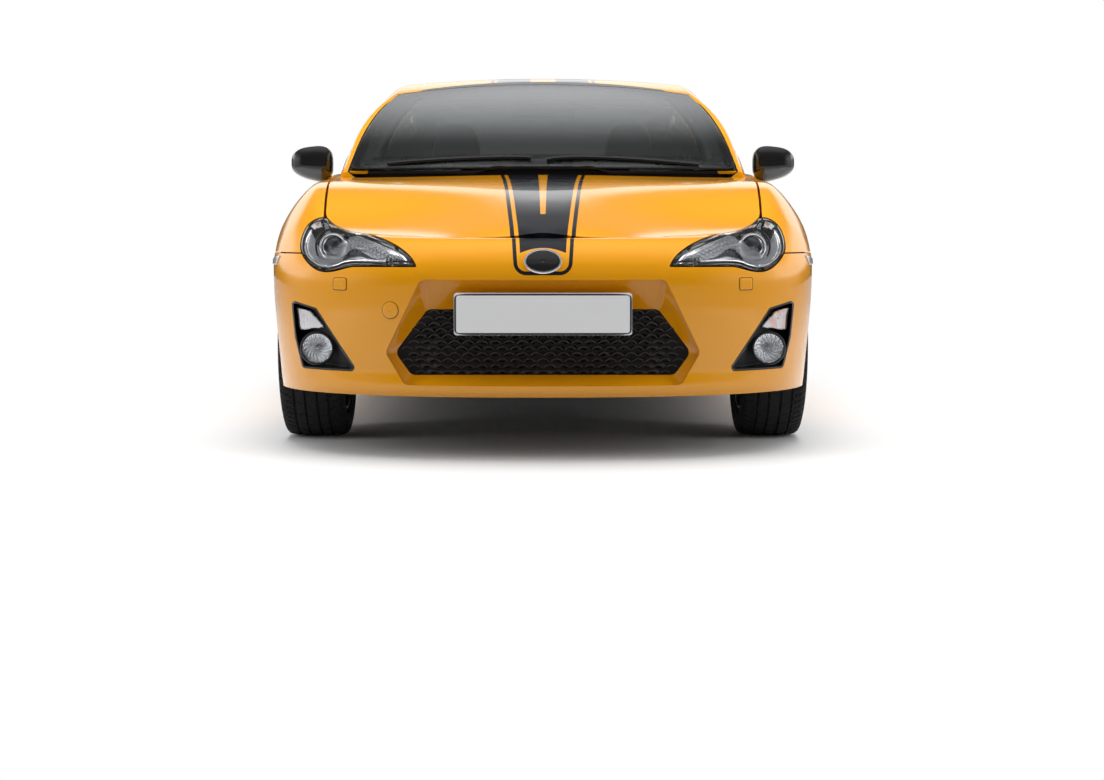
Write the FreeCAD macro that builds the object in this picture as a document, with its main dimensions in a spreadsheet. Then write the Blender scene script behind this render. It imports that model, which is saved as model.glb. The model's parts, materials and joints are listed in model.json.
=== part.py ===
"""A compact two-door coupe, built from separate panels, glass, lamps, running gear and cabin pieces.

Lengths are millimetres. +Z is up, the nose points to -Y and the origin lies on the floor at mid length.
Along the car, places are first given as a distance behind the foremost point of the nose.
"""
import FreeCAD
import Part
import Sketcher

import math
import os

Vector = FreeCAD.Vector

# Driving dimensions
SIZES = {
    # whole car
    "front_overhang": 845.0, "wheelbase": 2570.0, "rear_overhang": 825.0,
    "track_front": 1520.0, "track_rear": 1540.0,
    # where the body's stations lie, from the nearer axle
    "lamp_ahead": 345.0, "flare_ahead": 195.0, "vent_behind": 255.0, "cowl_behind": 555.0,
    "sill_front_behind": 855.0, "sill_mid_behind": 1355.0, "sill_rear_ahead": 815.0,
    "quarter_ahead": 415.0, "deck_behind": 285.0, "corner_behind": 535.0,
    # how nose and tail wrap round in plan
    "nose_depth": 600.0, "tail_depth": 470.0, "nose_low_back": 30.0, "nose_crest_back": 120.0,
    "lip_reach": 12.0, "lip_rise": 26.0, "lip_spread": 22.0,
    "tail_low_ahead": 45.0, "tail_crest_ahead": 95.0,
    # panels and gaps
    "panel_wall": 18.0, "roof_wall": 24.0, "bonnet_wall": 26.0, "boot_wall": 16.0, "bumper_wall": 16.0,
    "shut_gap": 7.5, "fixed_gap": 4.0, "seat_gap": 0.3, "glass_wall": 5.0, "pillar_wall": 34.0,
    "door_inner_x": 742.0, "belt_inset": 12.0, "rail_out": 90.0, "rail_drop": 5.0,
    # doors
    "door_front": 1500.0, "door_rear": 2700.0, "door_low": 292.0, "door_corner": 90.0,
    "door_front_lean": 14.0, "door_rear_lean": 60.0, "hinge_lead": 90.0, "hinge_depth": 20.0,
    # wheels
    "tyre_radius": 312.0, "tyre_width": 215.0, "tyre_shoulder": 20.0, "tyre_bulge": 8.0,
    "rim_radius": 222.0, "rim_width": 190.0, "rim_wall": 8.0, "rim_flange": 10.0,
    "arch_radius": 350.0, "liner_radius": 368.0, "liner_wall": 4.0, "liner_inner_x": 455.0,
    "kingpin_x": 690.0,
    # shut lines of bonnet, bumpers and boot lid
    "bonnet_half_front": 694.0, "bonnet_half_rear": 746.0, "bonnet_front": 455.0,
    "bonnet_rear": 1280.0, "bonnet_rear_corner": 1340.0,
    "bumper_top": 622.0, "bumper_reach": 720.0, "rear_bumper_top": 640.0, "rear_bumper_middle": 700.0,
    "boot_front": 3676.0, "boot_front_bow": 30.0, "boot_half_front": 612.0, "boot_half_rear": 650.0, "boot_lip": 9.0,
    "boot_low": 707.0, "boot_half_low": 545.0, "boot_shoulder_z": 852.0,
    "tail_lamp_low": 705.0, "tail_lamp_height": 150.0, "tail_lamp_width": 300.0, "tail_lamp_depth": 90.0,
    # head lamps, fog lamps and mouth of the front bumper
    "lamp_inner_x": 386.0, "lamp_width": 382.0, "lamp_low": 570.0, "lamp_height": 164.0,
    "lamp_gap": 4.0, "lens_wall": 4.0, "lamp_depth": 85.0, "lamp_wall": 6.0,
    "fog_inner_x": 566.0, "fog_width": 226.0, "fog_low": 264.0, "fog_height": 214.0, "fog_depth": 70.0,
    "mouth_half": 479.0, "mouth_low": 228.0, "mouth_height": 320.0,
    "grille_half": 452.0, "grille_low": 255.0, "grille_height": 201.0, "mouth_corner": 26.0,
    "grille_wall": 14.0, "mesh_pitch": 36.0, "mesh_bar": 4.0,
    "plate_width": 520.0, "plate_height": 112.0, "plate_wall": 3.0, "plate_z": 446.0, "plate_rear_z": 520.0,
    "door_glass_front": 1600.0, "window_mullion": 58.0, "quarter_glass_ahead": 265.0,
    "quarter_glass_lean": 150.0, "roof_span": 300.0, "glass_sink": 5.0,
    # glass frames, floor and inner structure
    "flange_near": 5.3, "flange_far": 14.0,
    "floor_low": 170.0, "floor_wall": 30.0, "floor_half": 715.0, "floor_rear": 3020.0,
    "firewall_back": 1345.0, "firewall_wall": 22.0, "firewall_top": 830.0,
    "tunnel_half": 125.0, "tunnel_top": 345.0, "tunnel_wall": 12.0,
    "post_half_low": 620.0, "post_half": 700.0, "post_front": 1400.0, "post_rear": 1625.0, "post_top": 830.0,
    "rail_half_inner": 425.0, "rail_half_outer": 451.0, "rail_low": 330.0, "rail_high": 560.0,
    "apron_high": 690.0, "apron_front": 540.0, "beam_back": 150.0, "beam_depth": 60.0, "beam_low": 395.0,
    "beam_high": 515.0, "beam_half": 520.0,
    "boot_floor_z": 430.0, "boot_floor_half": 620.0, "boot_floor_rear": 4030.0, "bulkhead_high": 560.0,
    "shelf_front": 3130.3, "shelf_rear": 3500.0, "shelf_z": 905.0, "shelf_half": 548.0,
    "sill_inner": 716.0, "post_pillar_wall": 30.0,
    "cowl_z": 832.0, "cowl_front": 1236.0, "cowl_wall": 8.0,
    "rear_arch_half": 620.0,
    # hinges
    "hinge_x": 841.0, "hinge_low_z": 360.0, "hinge_high_z": 585.0, "hinge_arm": 12.0, "hinge_boss": 9.0, "hinge_pin": 4.5,
    "hinge_tall": 34.0, "pin_tall": 74.0, "pin_play": 0.3, "hinge_play": 6.0,
    "bonnet_axis_back": 1375.0, "bonnet_axis_z": 860.0, "bonnet_arm_x": 596.0, "lid_pin": 5.0, "lid_arm": 10.0,
    "boot_axis_back": 3530.0, "boot_axis_z": 920.0, "boot_arm_x": 440.0, "lid_eye": 10.0,
    # running gear
    "hub_radius": 30.0, "hub_face": 40.0, "disc_radius": 147.0, "disc_wall": 24.0, "disc_inset": 16.0,
    "bolt_circle": 100.0, "bolt_hole": 12.0, "bore": 56.0, "spoke_wall": 30.0, "spoke_width": 26.0,
    "ball_low_z": 190.0, "ball_high_z": 448.0, "ball_radius": 18.0, "ball_pin": 8.0, "arm_wall": 18.0,
    "carrier_radius": 52.0, "upright_half": 24.0, "subframe_half": 330.0, "subframe_deep": 130.0,
    "subframe_low": 175.0, "subframe_tall": 55.0, "damper_x": 560.0, "damper_radius": 36.0, "damper_top": 700.0,
    "caliper_half": 62.0, "caliper_wall": 20.0,
    "engine_half": 340.0, "engine_front": 620.0, "engine_length": 460.0, "engine_low": 330.0, "engine_tall": 310.0,
    "radiator_wall": 45.0, "radiator_half": 330.0, "radiator_low": 260.0,
    "radiator_tall": 340.0,
    "exhaust_radius": 28.0, "tailpipe_radius": 42.0, "tailpipe_x": 470.0, "tailpipe_z": 285.0,
    "silencer_radius": 85.0, "silencer_half": 330.0, "pipe_wall": 2.5,
    # cabin
    "seat_x": 365.0, "seat_half": 238.0, "seat_front": 1900.0, "seat_length": 500.0, "seat_low": 290.0,
    "seat_tall": 150.0, "seat_back_wall": 120.0, "seat_back_lean": 190.0, "seat_back_top": 930.0,
    "headrest_half": 125.0, "headrest_tall": 190.0, "headrest_wall": 95.0, "headrest_low": 950.0,
    "runner_half": 22.0, "rear_seat_half": 560.0, "rear_seat_front": 2700.0, "rear_seat_top": 830.0,
    "dash_back": 1395.0, "dash_rear": 1760.0, "dash_half": 612.0, "dash_top": 880.0, "dash_low": 600.0,
    "steering_x": 365.0, "steering_back": 1905.0, "steering_z": 800.0, "steering_radius": 182.0,
    "steering_rim": 15.0, "steering_tilt": 22.0, "column_radius": 32.0, "console_half": 110.0,
    "console_top": 520.0, "lever_tall": 90.0,
    "cabin_mirror_z": 1150.0, "cabin_mirror_back": 1835.0, "cabin_mirror_half": 122.0,
    "cabin_mirror_tall": 62.0, "cabin_mirror_wall": 26.0, "wiper_lift": 1.3,
    "mirror_back": 1655.0, "mirror_half": 105.0, "mirror_x": 905.0, "mirror_z": 965.0,
    "mirror_tall": 130.0, "mirror_deep": 150.0, "mirror_arm": 34.0,
    "projector_x": 652.0, "projector_z": 645.0, "projector_back": 290.0, "projector_radius": 43.0,
    "fog_lamp_x": 704.0, "fog_lamp_z": 329.0, "fog_lamp_radius": 45.0, "tail_lamp_wall": 32.0,
    "mouth_wall": 12.0, "plate_lead": 4.0, "cowl_reach": 34.0,
    "liner_outer_x": 862.0, "liner_foot": 215.0, "liner_rear_in": 95.0, "grille_back": 124.0,
    "boot_arm_reach": 165.0,
    "washer_half": 24.0, "tow_radius": 26.0,
    "plate_holder": 49.6, "plate_rear_holder": 34.9, "plate_corner": 8.0, "plate_border": 7.0,
}

STATIONS = (
    "nose", "lamp", "flare", "axle_front", "vent", "cowl", "sill_front",
    "sill_mid", "sill_rear", "quarter", "axle_rear", "deck", "corner", "tail",
)

# Half widths and heights of the body's guide lines, one value for each station
GUIDES = {
    "crest_x": (705, 707, 728, 752, 757, 760, 778, 790, 790, 792, 802, 792, 772, 745),
    "crest_z": (672, 735, 796, 849, 869, 886, 902, 917, 928, 938, 944, 949, 953, 955),
    "mid_x": (875, 875, 881, 887, 879, 866, 861, 862, 868, 879, 887, 881, 868, 850),
    "mid_z": (548, 562, 618, 672, 640, 604, 590, 590, 598, 618, 640, 640, 625, 600),
    "low_x": (846, 850, 853, 855, 850, 838, 834, 834, 838, 846, 852, 848, 840, 828),
    "low_z": (193, 194, 196, 200, 203, 205, 205, 205, 207, 212, 220, 226, 232, 238),
    "ridge_z": (655, 784, 815, 847, 876, 901, 925, 945, 958, 970, 985, 985, 974, 953),
}

# How full the shoulder between mid line and crest is, as shares of its height and of its width
SHOULDER_SHARES = {
    "rise": (0.55, 0.42, 0.36, 0.31, 0.42, 0.64, 0.72, 0.72, 0.68, 0.56, 0.46, 0.48, 0.55, 0.60),
    "run": (0.55, 0.44, 0.40, 0.36, 0.42, 0.48, 0.50, 0.50, 0.48, 0.42, 0.38, 0.42, 0.50, 0.55),
}

CABIN_STATIONS = (
    "base", "pillar_low", "pillar_mid", "pillar_high", "header", "roof_front",
    "roof_top", "roof_rear", "rear_header", "rear_high", "rear_middle", "rear_base",
)
FRONT_CABIN_STATIONS = 7

# The cabin's centre line and the line where glass and roof meet the side wall.
# Places are behind the front axle up to the roof's top, and behind the rear axle after it.
CABIN_GUIDES = {
    "centre_back": (445, 742, 881, 980, 1105, 1275, 1455, -815, -515, -265, -15, 235),
    "centre_z": (903, 1068, 1142, 1192, 1253, 1288, 1297, 1286, 1246, 1171, 1081, 988),
    "rail_back": (575, 835, 955, 1045, 1155, 1305, 1455, -815, -515, -275, -15, 265),
    "rail_x": (713, 688, 658, 624, 577, 551, 541, 531, 521, 528, 552, 600),
    "rail_z": (907, 1032, 1106, 1161, 1217, 1259, 1274, 1263, 1222, 1149, 1059, 966),
}

doc = FreeCAD.newDocument("coupe")
sheet = doc.addObject("Spreadsheet::Sheet", "Sizes")


def fill_sheet():
    """Writes every driving dimension into the sheet, each under its own alias."""
    rows = dict(SIZES)
    for guide, values in GUIDES.items():
        for station, value in zip(STATIONS, values):
            rows[f"{guide}_{station}"] = float(value)
    for guide, values in CABIN_GUIDES.items():
        for station, value in zip(CABIN_STATIONS, values):
            rows[f"{guide}_{station}"] = float(value)
    for row, (alias, value) in enumerate(rows.items(), start=1):
        sheet.set(f"A{row}", alias)
        sheet.set(f"B{row}", str(value))
        sheet.setAlias(f"B{row}", alias)
    doc.recompute()
    return {alias: float(sheet.get(alias)) for alias in rows}


size = fill_sheet()
length = size["front_overhang"] + size["wheelbase"] + size["rear_overhang"]
front_axle = size["front_overhang"]
rear_axle = front_axle + size["wheelbase"]
nose_end = size["nose_depth"]
tail_start = length - size["tail_depth"]


class Guide:
    """A smooth line through values at rising places: a natural cubic spline."""

    def __init__(self, places, values):
        self.places = list(places)
        self.values = list(values)
        count = len(self.places)
        steps = [self.places[k + 1] - self.places[k] for k in range(count - 1)]
        bend = [0.0] * count
        carry = [0.0] * count
        for k in range(1, count - 1):
            slope = (self.values[k + 1] - self.values[k]) / steps[k]
            slope -= (self.values[k] - self.values[k - 1]) / steps[k - 1]
            pivot = 2 * (steps[k - 1] + steps[k]) - steps[k - 1] * carry[k - 1]
            carry[k] = steps[k] / pivot
            bend[k] = (6 * slope - steps[k - 1] * bend[k - 1]) / pivot
        for k in range(count - 2, 0, -1):
            bend[k] -= carry[k] * bend[k + 1]
        self.bend = bend
        self.steps = steps

    def at(self, place):
        last = len(self.steps) - 1
        k = 0
        while k < last and place > self.places[k + 1]:
            k += 1
        step = self.steps[k]
        b = (place - self.places[k]) / step
        a = 1 - b
        value = a * self.values[k] + b * self.values[k + 1]
        curl = (a ** 3 - a) * self.bend[k] + (b ** 3 - b) * self.bend[k + 1]
        if a > 1 or b > 1:
            curl = 0.0
        return value + curl * step * step / 6


def station_places():
    """How far behind the nose each station of the body lies."""
    ahead = {"lamp": size["lamp_ahead"], "flare": size["flare_ahead"], "axle_front": 0.0}
    places = {name: front_axle - back for name, back in ahead.items()}
    behind = {
        "vent": size["vent_behind"], "cowl": size["cowl_behind"],
        "sill_front": size["sill_front_behind"], "sill_mid": size["sill_mid_behind"],
    }
    places.update({name: front_axle + back for name, back in behind.items()})
    rear = {
        "sill_rear": -size["sill_rear_ahead"], "quarter": -size["quarter_ahead"],
        "axle_rear": 0.0, "deck": size["deck_behind"], "corner": size["corner_behind"],
    }
    places.update({name: rear_axle + back for name, back in rear.items()})
    places["nose"] = 0.0
    places["tail"] = length
    return [places[name] for name in STATIONS]


body_places = station_places()
guides = {
    name: Guide(body_places, [size[f"{name}_{station}"] for station in STATIONS])
    for name in GUIDES
}
shoulders = {name: Guide(body_places, shares) for name, shares in SHOULDER_SHARES.items()}


def cabin_place(guide, station):
    """A cabin station's place behind the nose."""
    axle = front_axle if CABIN_STATIONS.index(station) < FRONT_CABIN_STATIONS else rear_axle
    return axle + size[f"{guide}_{station}"]


cabin_steps = list(range(len(CABIN_STATIONS)))
cabin = {
    "centre_s": Guide(cabin_steps, [cabin_place("centre_back", name) for name in CABIN_STATIONS]),
    "rail_s": Guide(cabin_steps, [cabin_place("rail_back", name) for name in CABIN_STATIONS]),
}
for guide_name in ("centre_z", "rail_x", "rail_z"):
    cabin[guide_name] = Guide(
        cabin_steps, [size[f"{guide_name}_{name}"] for name in CABIN_STATIONS]
    )

PLAN_POWER = 2.4
CROWN_POWER = 2.1
RAIL_SHARE = 0.6


def place(x, back, z):
    """A point of the car from its half width, its distance behind the nose and its height."""
    return Vector(x, back - length / 2, z)


def bezier(p0, p1, p2, p3, t):
    r = 1 - t
    return r ** 3 * p0 + 3 * r * r * t * p1 + 3 * r * t * t * p2 + t ** 3 * p3


def wrap(depth_left):
    """Half width share where the plan outline still has that share of its depth to go."""
    return max(0.0, 1 - depth_left * depth_left) ** (1 / PLAN_POWER)


def crest_half_width(back):
    """Half width of the body's crest line, which closes at nose and tail."""
    share = 1.0
    if back < nose_end:
        front = size["nose_crest_back"]
        share = wrap(min(1.0, (nose_end - back) / (nose_end - front)))
    if back > tail_start:
        end = length - size["tail_crest_ahead"]
        share = wrap(min(1.0, (back - tail_start) / (end - tail_start)))
    return guides["crest_x"].at(back) * share


def top_height(x, back):
    """Height of bonnet or boot deck, crowned from the centre line down to the crest."""
    crest = guides["crest_z"].at(back)
    half = max(crest_half_width(back), abs(x), size["fixed_gap"])
    share = abs(x) / half
    fall = share * share * (3 - 2 * share)
    return guides["ridge_z"].at(back) * (1 - fall) + crest * fall


def section(level, back):
    """Half width and height of the side skin: level 0 is its foot, 1 its widest line, 2 its crest."""
    mid_x = guides["mid_x"].at(back)
    mid_z = guides["mid_z"].at(back)
    if level <= 1:
        low_x = guides["low_x"].at(back)
        low_z = guides["low_z"].at(back)
        x = bezier(low_x, low_x + 0.55 * (mid_x - low_x), mid_x, mid_x, level)
        z = bezier(low_z, low_z + 0.30 * (mid_z - low_z), low_z + 0.65 * (mid_z - low_z), mid_z, level)
        return x, z
    t = level - 1
    crest_x = guides["crest_x"].at(back)
    crest_z = guides["crest_z"].at(back)
    rise = shoulders["rise"].at(back)
    run = shoulders["run"].at(back)
    x = bezier(mid_x, mid_x, crest_x + run * (mid_x - crest_x), crest_x, t)
    z = bezier(mid_z, mid_z + rise * (crest_z - mid_z), crest_z, crest_z, t)
    return x, z


def end_setback(level, low_back, crest_back):
    """How far the nose or tail leans back at a level of the skin."""
    if level <= 1:
        return low_back * (1 - level) ** 2
    t = level - 1
    return crest_back * bezier(0.0, 0.0, 0.45, 1.0, t)


def skin(q, level):
    """Outer skin of the lower body. q runs 0 to 1 round the nose, to 2 along the side, to 3 round the tail."""
    side = 1.0
    if q < 0:
        q, side = -q, -1.0
    if q > 3:
        q, side = 6 - q, -1.0
    share = 1.0
    if q < 1:
        share = math.sin(q * math.pi / 2)
        back = end_setback(level, size["nose_low_back"], size["nose_crest_back"])
        _, height = section(level, back)
        if level <= 1:
            off = (height - guides["low_z"].at(0.0) - size["lip_rise"]) / size["lip_spread"]
            back -= size["lip_reach"] * math.exp(-off * off)
        back += (nose_end - back) * (1 - math.sqrt(1 - share ** PLAN_POWER))
    elif q <= 2:
        back = nose_end + (q - 1) * (tail_start - nose_end)
    else:
        share = math.sin((3 - q) * math.pi / 2)
        end = length - end_setback(level, size["tail_low_ahead"], size["tail_crest_ahead"])
        back = end - (end - tail_start) * (1 - math.sqrt(1 - share ** PLAN_POWER))
    x, z = section(level, back)
    return place(side * x * share, back, z)


def side_q(back):
    """The skin's q at a place along the straight side."""
    return 1 + (back - nose_end) / (tail_start - nose_end)


def spread(start, end, count):
    return [start + (end - start) * k / (count - 1) for k in range(count)]


def normal(surface, u, v, step):
    du = surface(u + step, v) - surface(u - step, v)
    dv = surface(u, v + step) - surface(u, v - step)
    out = du.cross(dv)
    return out / out.Length


def grid(surface, us, vs):
    return [[surface(u, v) for v in vs] for u in us]


def inner_grid(surface, us, vs, wall, inside):
    """The grid moved by the wall's thickness towards the point given by inside(point)."""
    step = 1e-4
    rows = []
    for u in us:
        row = []
        for v in vs:
            point = surface(u, v)
            out = normal(surface, u, v, step)
            if out.dot(inside(point) - point) < 0:
                out = -out
            row.append(point + out * wall)
        rows.append(row)
    return rows


def curve_through(points):
    """A cubic spline through points at even parameter steps."""
    curve = Part.BSplineCurve()
    curve.interpolate(Points=points, Parameters=[float(k) for k in range(len(points))])
    return curve


def fitted(rows):
    """A cubic spline surface through a grid of points at even parameter steps both ways."""
    across = [curve_through(row) for row in rows]
    poles = [curve.getPoles() for curve in across]
    along = [curve_through(list(column)) for column in zip(*poles)]
    knots = [(curve.getKnots(), curve.getMultiplicities()) for curve in (along[0], across[0])]
    surface = Part.BSplineSurface()
    surface.buildFromPolesMultsKnots(
        [list(row) for row in zip(*(curve.getPoles() for curve in along))], knots[0][1], knots[1][1],
        knots[0][0], knots[1][0], False, False, along[0].Degree, across[0].Degree,
    )
    return surface


def creased(rows):
    """A spline surface through a grid of points that holds a sharp line."""
    surface = Part.BSplineSurface()
    surface.interpolate(rows)
    return surface


def slab(outer, inner, through=fitted):
    """A solid between two grids of points: two spline faces and four ruled sides."""
    faces = []
    surfaces = []
    for rows in (outer, inner):
        surface = through(rows)
        surfaces.append(surface)
        faces.append(surface.toShape())
    u0, u1, v0, v1 = surfaces[0].bounds()
    a0, a1, b0, b1 = surfaces[1].bounds()
    borders = (
        (surfaces[0].uIso(u0), surfaces[1].uIso(a0)), (surfaces[0].uIso(u1), surfaces[1].uIso(a1)),
        (surfaces[0].vIso(v0), surfaces[1].vIso(b0)), (surfaces[0].vIso(v1), surfaces[1].vIso(b1)),
    )
    for near, far in borders:
        faces.append(Part.makeRuledSurface(near.toShape(), far.toShape()))
    shell = Part.makeShell(faces)
    shell.sewShape()
    solid = Part.makeSolid(shell)
    if solid.Volume < 0:
        solid.reverse()
    return solid


def core(point):
    """A point well inside the car at the same place along it, kept away from nose and tail."""
    reach = length / 2 - nose_end
    return Vector(0.0, max(-reach, min(reach, point.y)), size["mid_z_sill_mid"])


def panel(surface, us, vs, wall, inside=core, through=fitted):
    return slab(grid(surface, us, vs), inner_grid(surface, us, vs, wall, inside), through)


def mirrored(shape):
    return shape.mirror(Vector(0, 0, 0), Vector(1, 0, 0))


def both(shape):
    return Part.makeCompound([shape, mirrored(shape)])


def largest(shape):
    return max(shape.Solids, key=lambda solid: solid.Volume)


def box(x0, x1, back0, back1, z0, z1):
    return Part.makeBox(x1 - x0, back1 - back0, z1 - z0, place(x0, back0, z0))


def outline(points, corner=0.0):
    """A closed wire through points, its corners rounded when a radius is given."""
    wire = Part.makePolygon(points + [points[0]])
    if not corner:
        return wire
    count = len(points)
    edges = []
    ends = []
    for k in range(count):
        here = points[k]
        before = (points[k - 1] - here).normalize()
        after = (points[(k + 1) % count] - here).normalize()
        half = math.acos(max(-1.0, min(1.0, before.dot(after)))) / 2
        cut = corner / math.tan(half)
        middle = (before + after).normalize() * (corner / math.sin(half) - corner)
        ends.append((here + before * cut, here + middle, here + after * cut))
    for k in range(count):
        start, middle, end = ends[k]
        edges.append(Part.Arc(start, middle, end).toShape())
        edges.append(Part.LineSegment(end, ends[(k + 1) % count][0]).toShape())
    return Part.Wire(edges)


def prism(wire, along):
    return Part.Face(wire).extrude(along)


def side_prism(points, x0, x1, corner=0.0, grow=0.0):
    """A prism across the car from an outline of (place behind the nose, height) points."""
    wire = outline([place(x0, back, z) for back, z in points], corner)
    if grow:
        wire = wire.makeOffset2D(grow)
    return prism(wire, Vector(x1 - x0, 0, 0))


def front_prism(points, back0, back1, corner=0.0, grow=0.0):
    """A prism along the car from an outline of (half width, height) points."""
    wire = outline([place(x, back0, z) for x, z in points], corner)
    if grow:
        wire = wire.makeOffset2D(grow)
    return prism(wire, Vector(0, back1 - back0, 0))


def nose_back(x, z):
    """How far behind the nose the skin lies at a half width and height seen from the front."""
    back = 0.0
    for _ in range(24):
        low, high = 0.0, 2.0
        for _ in range(24):
            level = (low + high) / 2
            if section(level, back)[1] < z:
                low = level
            else:
                high = level
        share = min(1.0, abs(x) / section(level, back)[0])
        low_q, high_q = 0.0, 1.0
        for _ in range(24):
            q = (low_q + high_q) / 2
            if math.sin(q * math.pi / 2) < share:
                low_q = q
            else:
                high_q = q
        back = skin(q, level).y + length / 2
    return back


def shut_half_width(back):
    """Half width of the bonnet's side shut line."""
    run = (back - size["bonnet_front"]) / (size["bonnet_rear_corner"] - size["bonnet_front"])
    run = max(0.0, min(1.0, run))
    span = size["bonnet_half_rear"] - size["bonnet_half_front"]
    return size["bonnet_half_front"] + span * run ** 0.8


def boot_half_width(back):
    """Half width of the boot lid's side shut line on the deck."""
    run = (back - size["boot_front"]) / (tail_start + size["tail_depth"] / 2 - size["boot_front"])
    run = max(0.0, min(1.0, run))
    return size["boot_half_front"] + (size["boot_half_rear"] - size["boot_half_front"]) * run


def crest_back(x, rear):
    """Where the crest line of nose or tail lies behind the nose, at a half width."""
    back = tail_start if rear else nose_end
    for _ in range(8):
        share = min(1.0, abs(x) / guides["crest_x"].at(back))
        left = math.sqrt(1 - share ** PLAN_POWER)
        if rear:
            back = tail_start + (length - size["tail_crest_ahead"] - tail_start) * left
        else:
            back = nose_end - (nose_end - size["nose_crest_back"]) * left
    return back


def belt(back):
    """The point of the belt line where side glass and cabin side meet the lower body."""
    return guides["crest_x"].at(back) - size["belt_inset"], guides["crest_z"].at(back)


def eased(share):
    """A smooth rise from 0 to 1."""
    share = max(0.0, min(1.0, share / EASE_SPAN + 0.5))
    return share * share * (3 - 2 * share)


EASE_SPAN = 4.0


def strip_inner(back):
    """Half width of the inner edge of the body's top strip, beside bonnet, cabin or boot lid."""
    inset = size["belt_inset"]
    under = guides["crest_x"].at(back) - 2 * inset
    front = shut_half_width(back) - inset
    near = front + (under - front) * eased((back - size["bonnet_rear_corner"]) / inset - 1)
    return near + (boot_half_width(back) - near) * eased((back - size["boot_front"]) / inset + 1)


def full_skin(q, level):
    """The skin with the strip from the crest inwards as a third level."""
    if level <= 2:
        return skin(q, level)
    crest = skin(q, 2)
    back = crest.y + length / 2
    width = math.hypot(max(crest.x - strip_inner(back), 0.0), 2 * size["belt_inset"])
    x = crest.x - width * (level - 2)
    return place(x, back, top_height(x, back))


section_tables = {}


def level_at(q, share, top=3):
    """The level reached after a share of the section's length, so that points lie evenly along it."""
    key = (round(q, 7), top)
    if key not in section_tables:
        levels = spread(0, top, SECTION_STEPS)
        points = [full_skin(q, level) for level in levels]
        runs = [0.0]
        for near, far in zip(points, points[1:]):
            runs.append(runs[-1] + (far - near).Length)
        section_tables[key] = (levels, [run / runs[-1] for run in runs])
    levels, runs = section_tables[key]
    k = 1
    while k < len(runs) - 1 and runs[k] < share:
        k += 1
    part = (share - runs[k - 1]) / (runs[k] - runs[k - 1])
    return levels[k - 1] + (levels[k] - levels[k - 1]) * part


SECTION_STEPS = 121


def even_skin(q, share):
    """The skin with its strip at an even share of the section's length, 0 at its foot and 1 inside."""
    return full_skin(q, level_at(q, share))


def curve_wire(groups, back):
    """A wire in a plane across the car: each group of (half width, height) is one smooth stretch."""
    edges = []
    for group in groups:
        points = [place(x, back, z) for x, z in group]
        if len(points) == 2:
            edges.append(Part.LineSegment(points[0], points[1]).toShape())
        else:
            curve = Part.BSplineCurve()
            curve.interpolate(points)
            edges.append(curve.toShape())
    return Part.Wire(edges)


def cross_cylinder(radius, back, z, x0, x1):
    return Part.makeCylinder(radius, x1 - x0, place(x0, back, z), Vector(1, 0, 0))


wide = length
arch_z = size["tyre_radius"]


def arch_cutter(back):
    return cross_cylinder(size["arch_radius"], back, arch_z, 0, wide)


def door_outline(grow):
    """The door's outline seen from the side, grown by a gap: foot corners rounded, top left open."""
    front = size["door_front"] - grow
    rear = size["door_rear"] + grow
    low = size["door_low"] - grow
    top = size["rail_z_roof_top"]
    rise = (top - low) / top
    lean_front = size["door_front_lean"] * rise
    lean_rear = size["door_rear_lean"] * rise
    points = [(front, low), (rear, low), (rear + lean_rear, top), (front + lean_front, top)]
    wire = outline([place(0, back, z) for back, z in points], size["door_corner"])
    return wire


def door_cutter(grow):
    return prism(door_outline(grow), Vector(wide, 0, 0))


LAMP_TOP_SHARES = ((0.0, 0.12), (0.026, 0.225), (0.11, 0.402), (0.453, 0.712), (0.80, 0.985))
LAMP_SIDE_SHARES = (
    (0.80, 0.985), (0.893, 0.975), (0.955, 0.878), (0.995, 0.64), (0.984, 0.384),
    (0.924, 0.207), (0.84, 0.061), (0.741, 0.006), (0.636, 0.043), (0.513, 0.112),
)
LAMP_FOOT_SHARES = ((0.513, 0.112), (0.0, 0.12))


def lamp_outline(back):
    groups = []
    for shares in (LAMP_TOP_SHARES, LAMP_SIDE_SHARES, LAMP_FOOT_SHARES):
        groups.append([
            (size["lamp_inner_x"] + u * size["lamp_width"], size["lamp_low"] + v * size["lamp_height"])
            for u, v in shares
        ])
    return curve_wire(groups, back)


def refitted(wire):
    """The same closed wire with its offset curves fitted by splines."""
    edges = []
    for edge in wire.OrderedEdges:
        if edge.Curve.TypeId == "Part::GeomOffsetCurve":
            curve = Part.BSplineCurve()
            curve.interpolate(edge.discretize(REFIT_POINTS))
            edge = curve.toShape()
        edges.append(edge)
    return Part.Wire(edges)


REFIT_POINTS = 12


def lamp_cutter(grow):
    """A prism through the head lamp's outline, grown or shrunk by a gap."""
    start = -nose_end
    wire = lamp_outline(start)
    if grow:
        wire = refitted(wire.makeOffset2D(grow))
    return prism(wire, Vector(0, 2 * nose_end, 0))


FOG_SHARES = ((1.0, 1.0), (0.60, 0.90), (0.0, 0.0), (0.84, 0.0), (0.95, 0.45))


def fog_points():
    return [
        (size["fog_inner_x"] + u * size["fog_width"], size["fog_low"] + v * size["fog_height"])
        for u, v in FOG_SHARES
    ]


def fog_cutter(grow):
    corner = size["mouth_corner"] / 2
    return front_prism(fog_points(), -nose_end, nose_end, corner, grow)


MOUTH_SHARES = ((0.772, 1.0), (1.0, 0.306), (0.879, 0.0))
GRILLE_SHARES = ((0.779, 1.0), (1.0, 0.345), (0.890, 0.0))


def closed_outline(shares, half, low, height):
    """Both halves of an outline given by shares of its half width and height."""
    right = [(u * half, low + v * height) for u, v in shares]
    left = [(-x, z) for x, z in reversed(right)]
    return right + left


def mouth_points():
    return closed_outline(MOUTH_SHARES, size["mouth_half"], size["mouth_low"], size["mouth_height"])


def grille_points():
    return closed_outline(GRILLE_SHARES, size["grille_half"], size["grille_low"], size["grille_height"])


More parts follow.
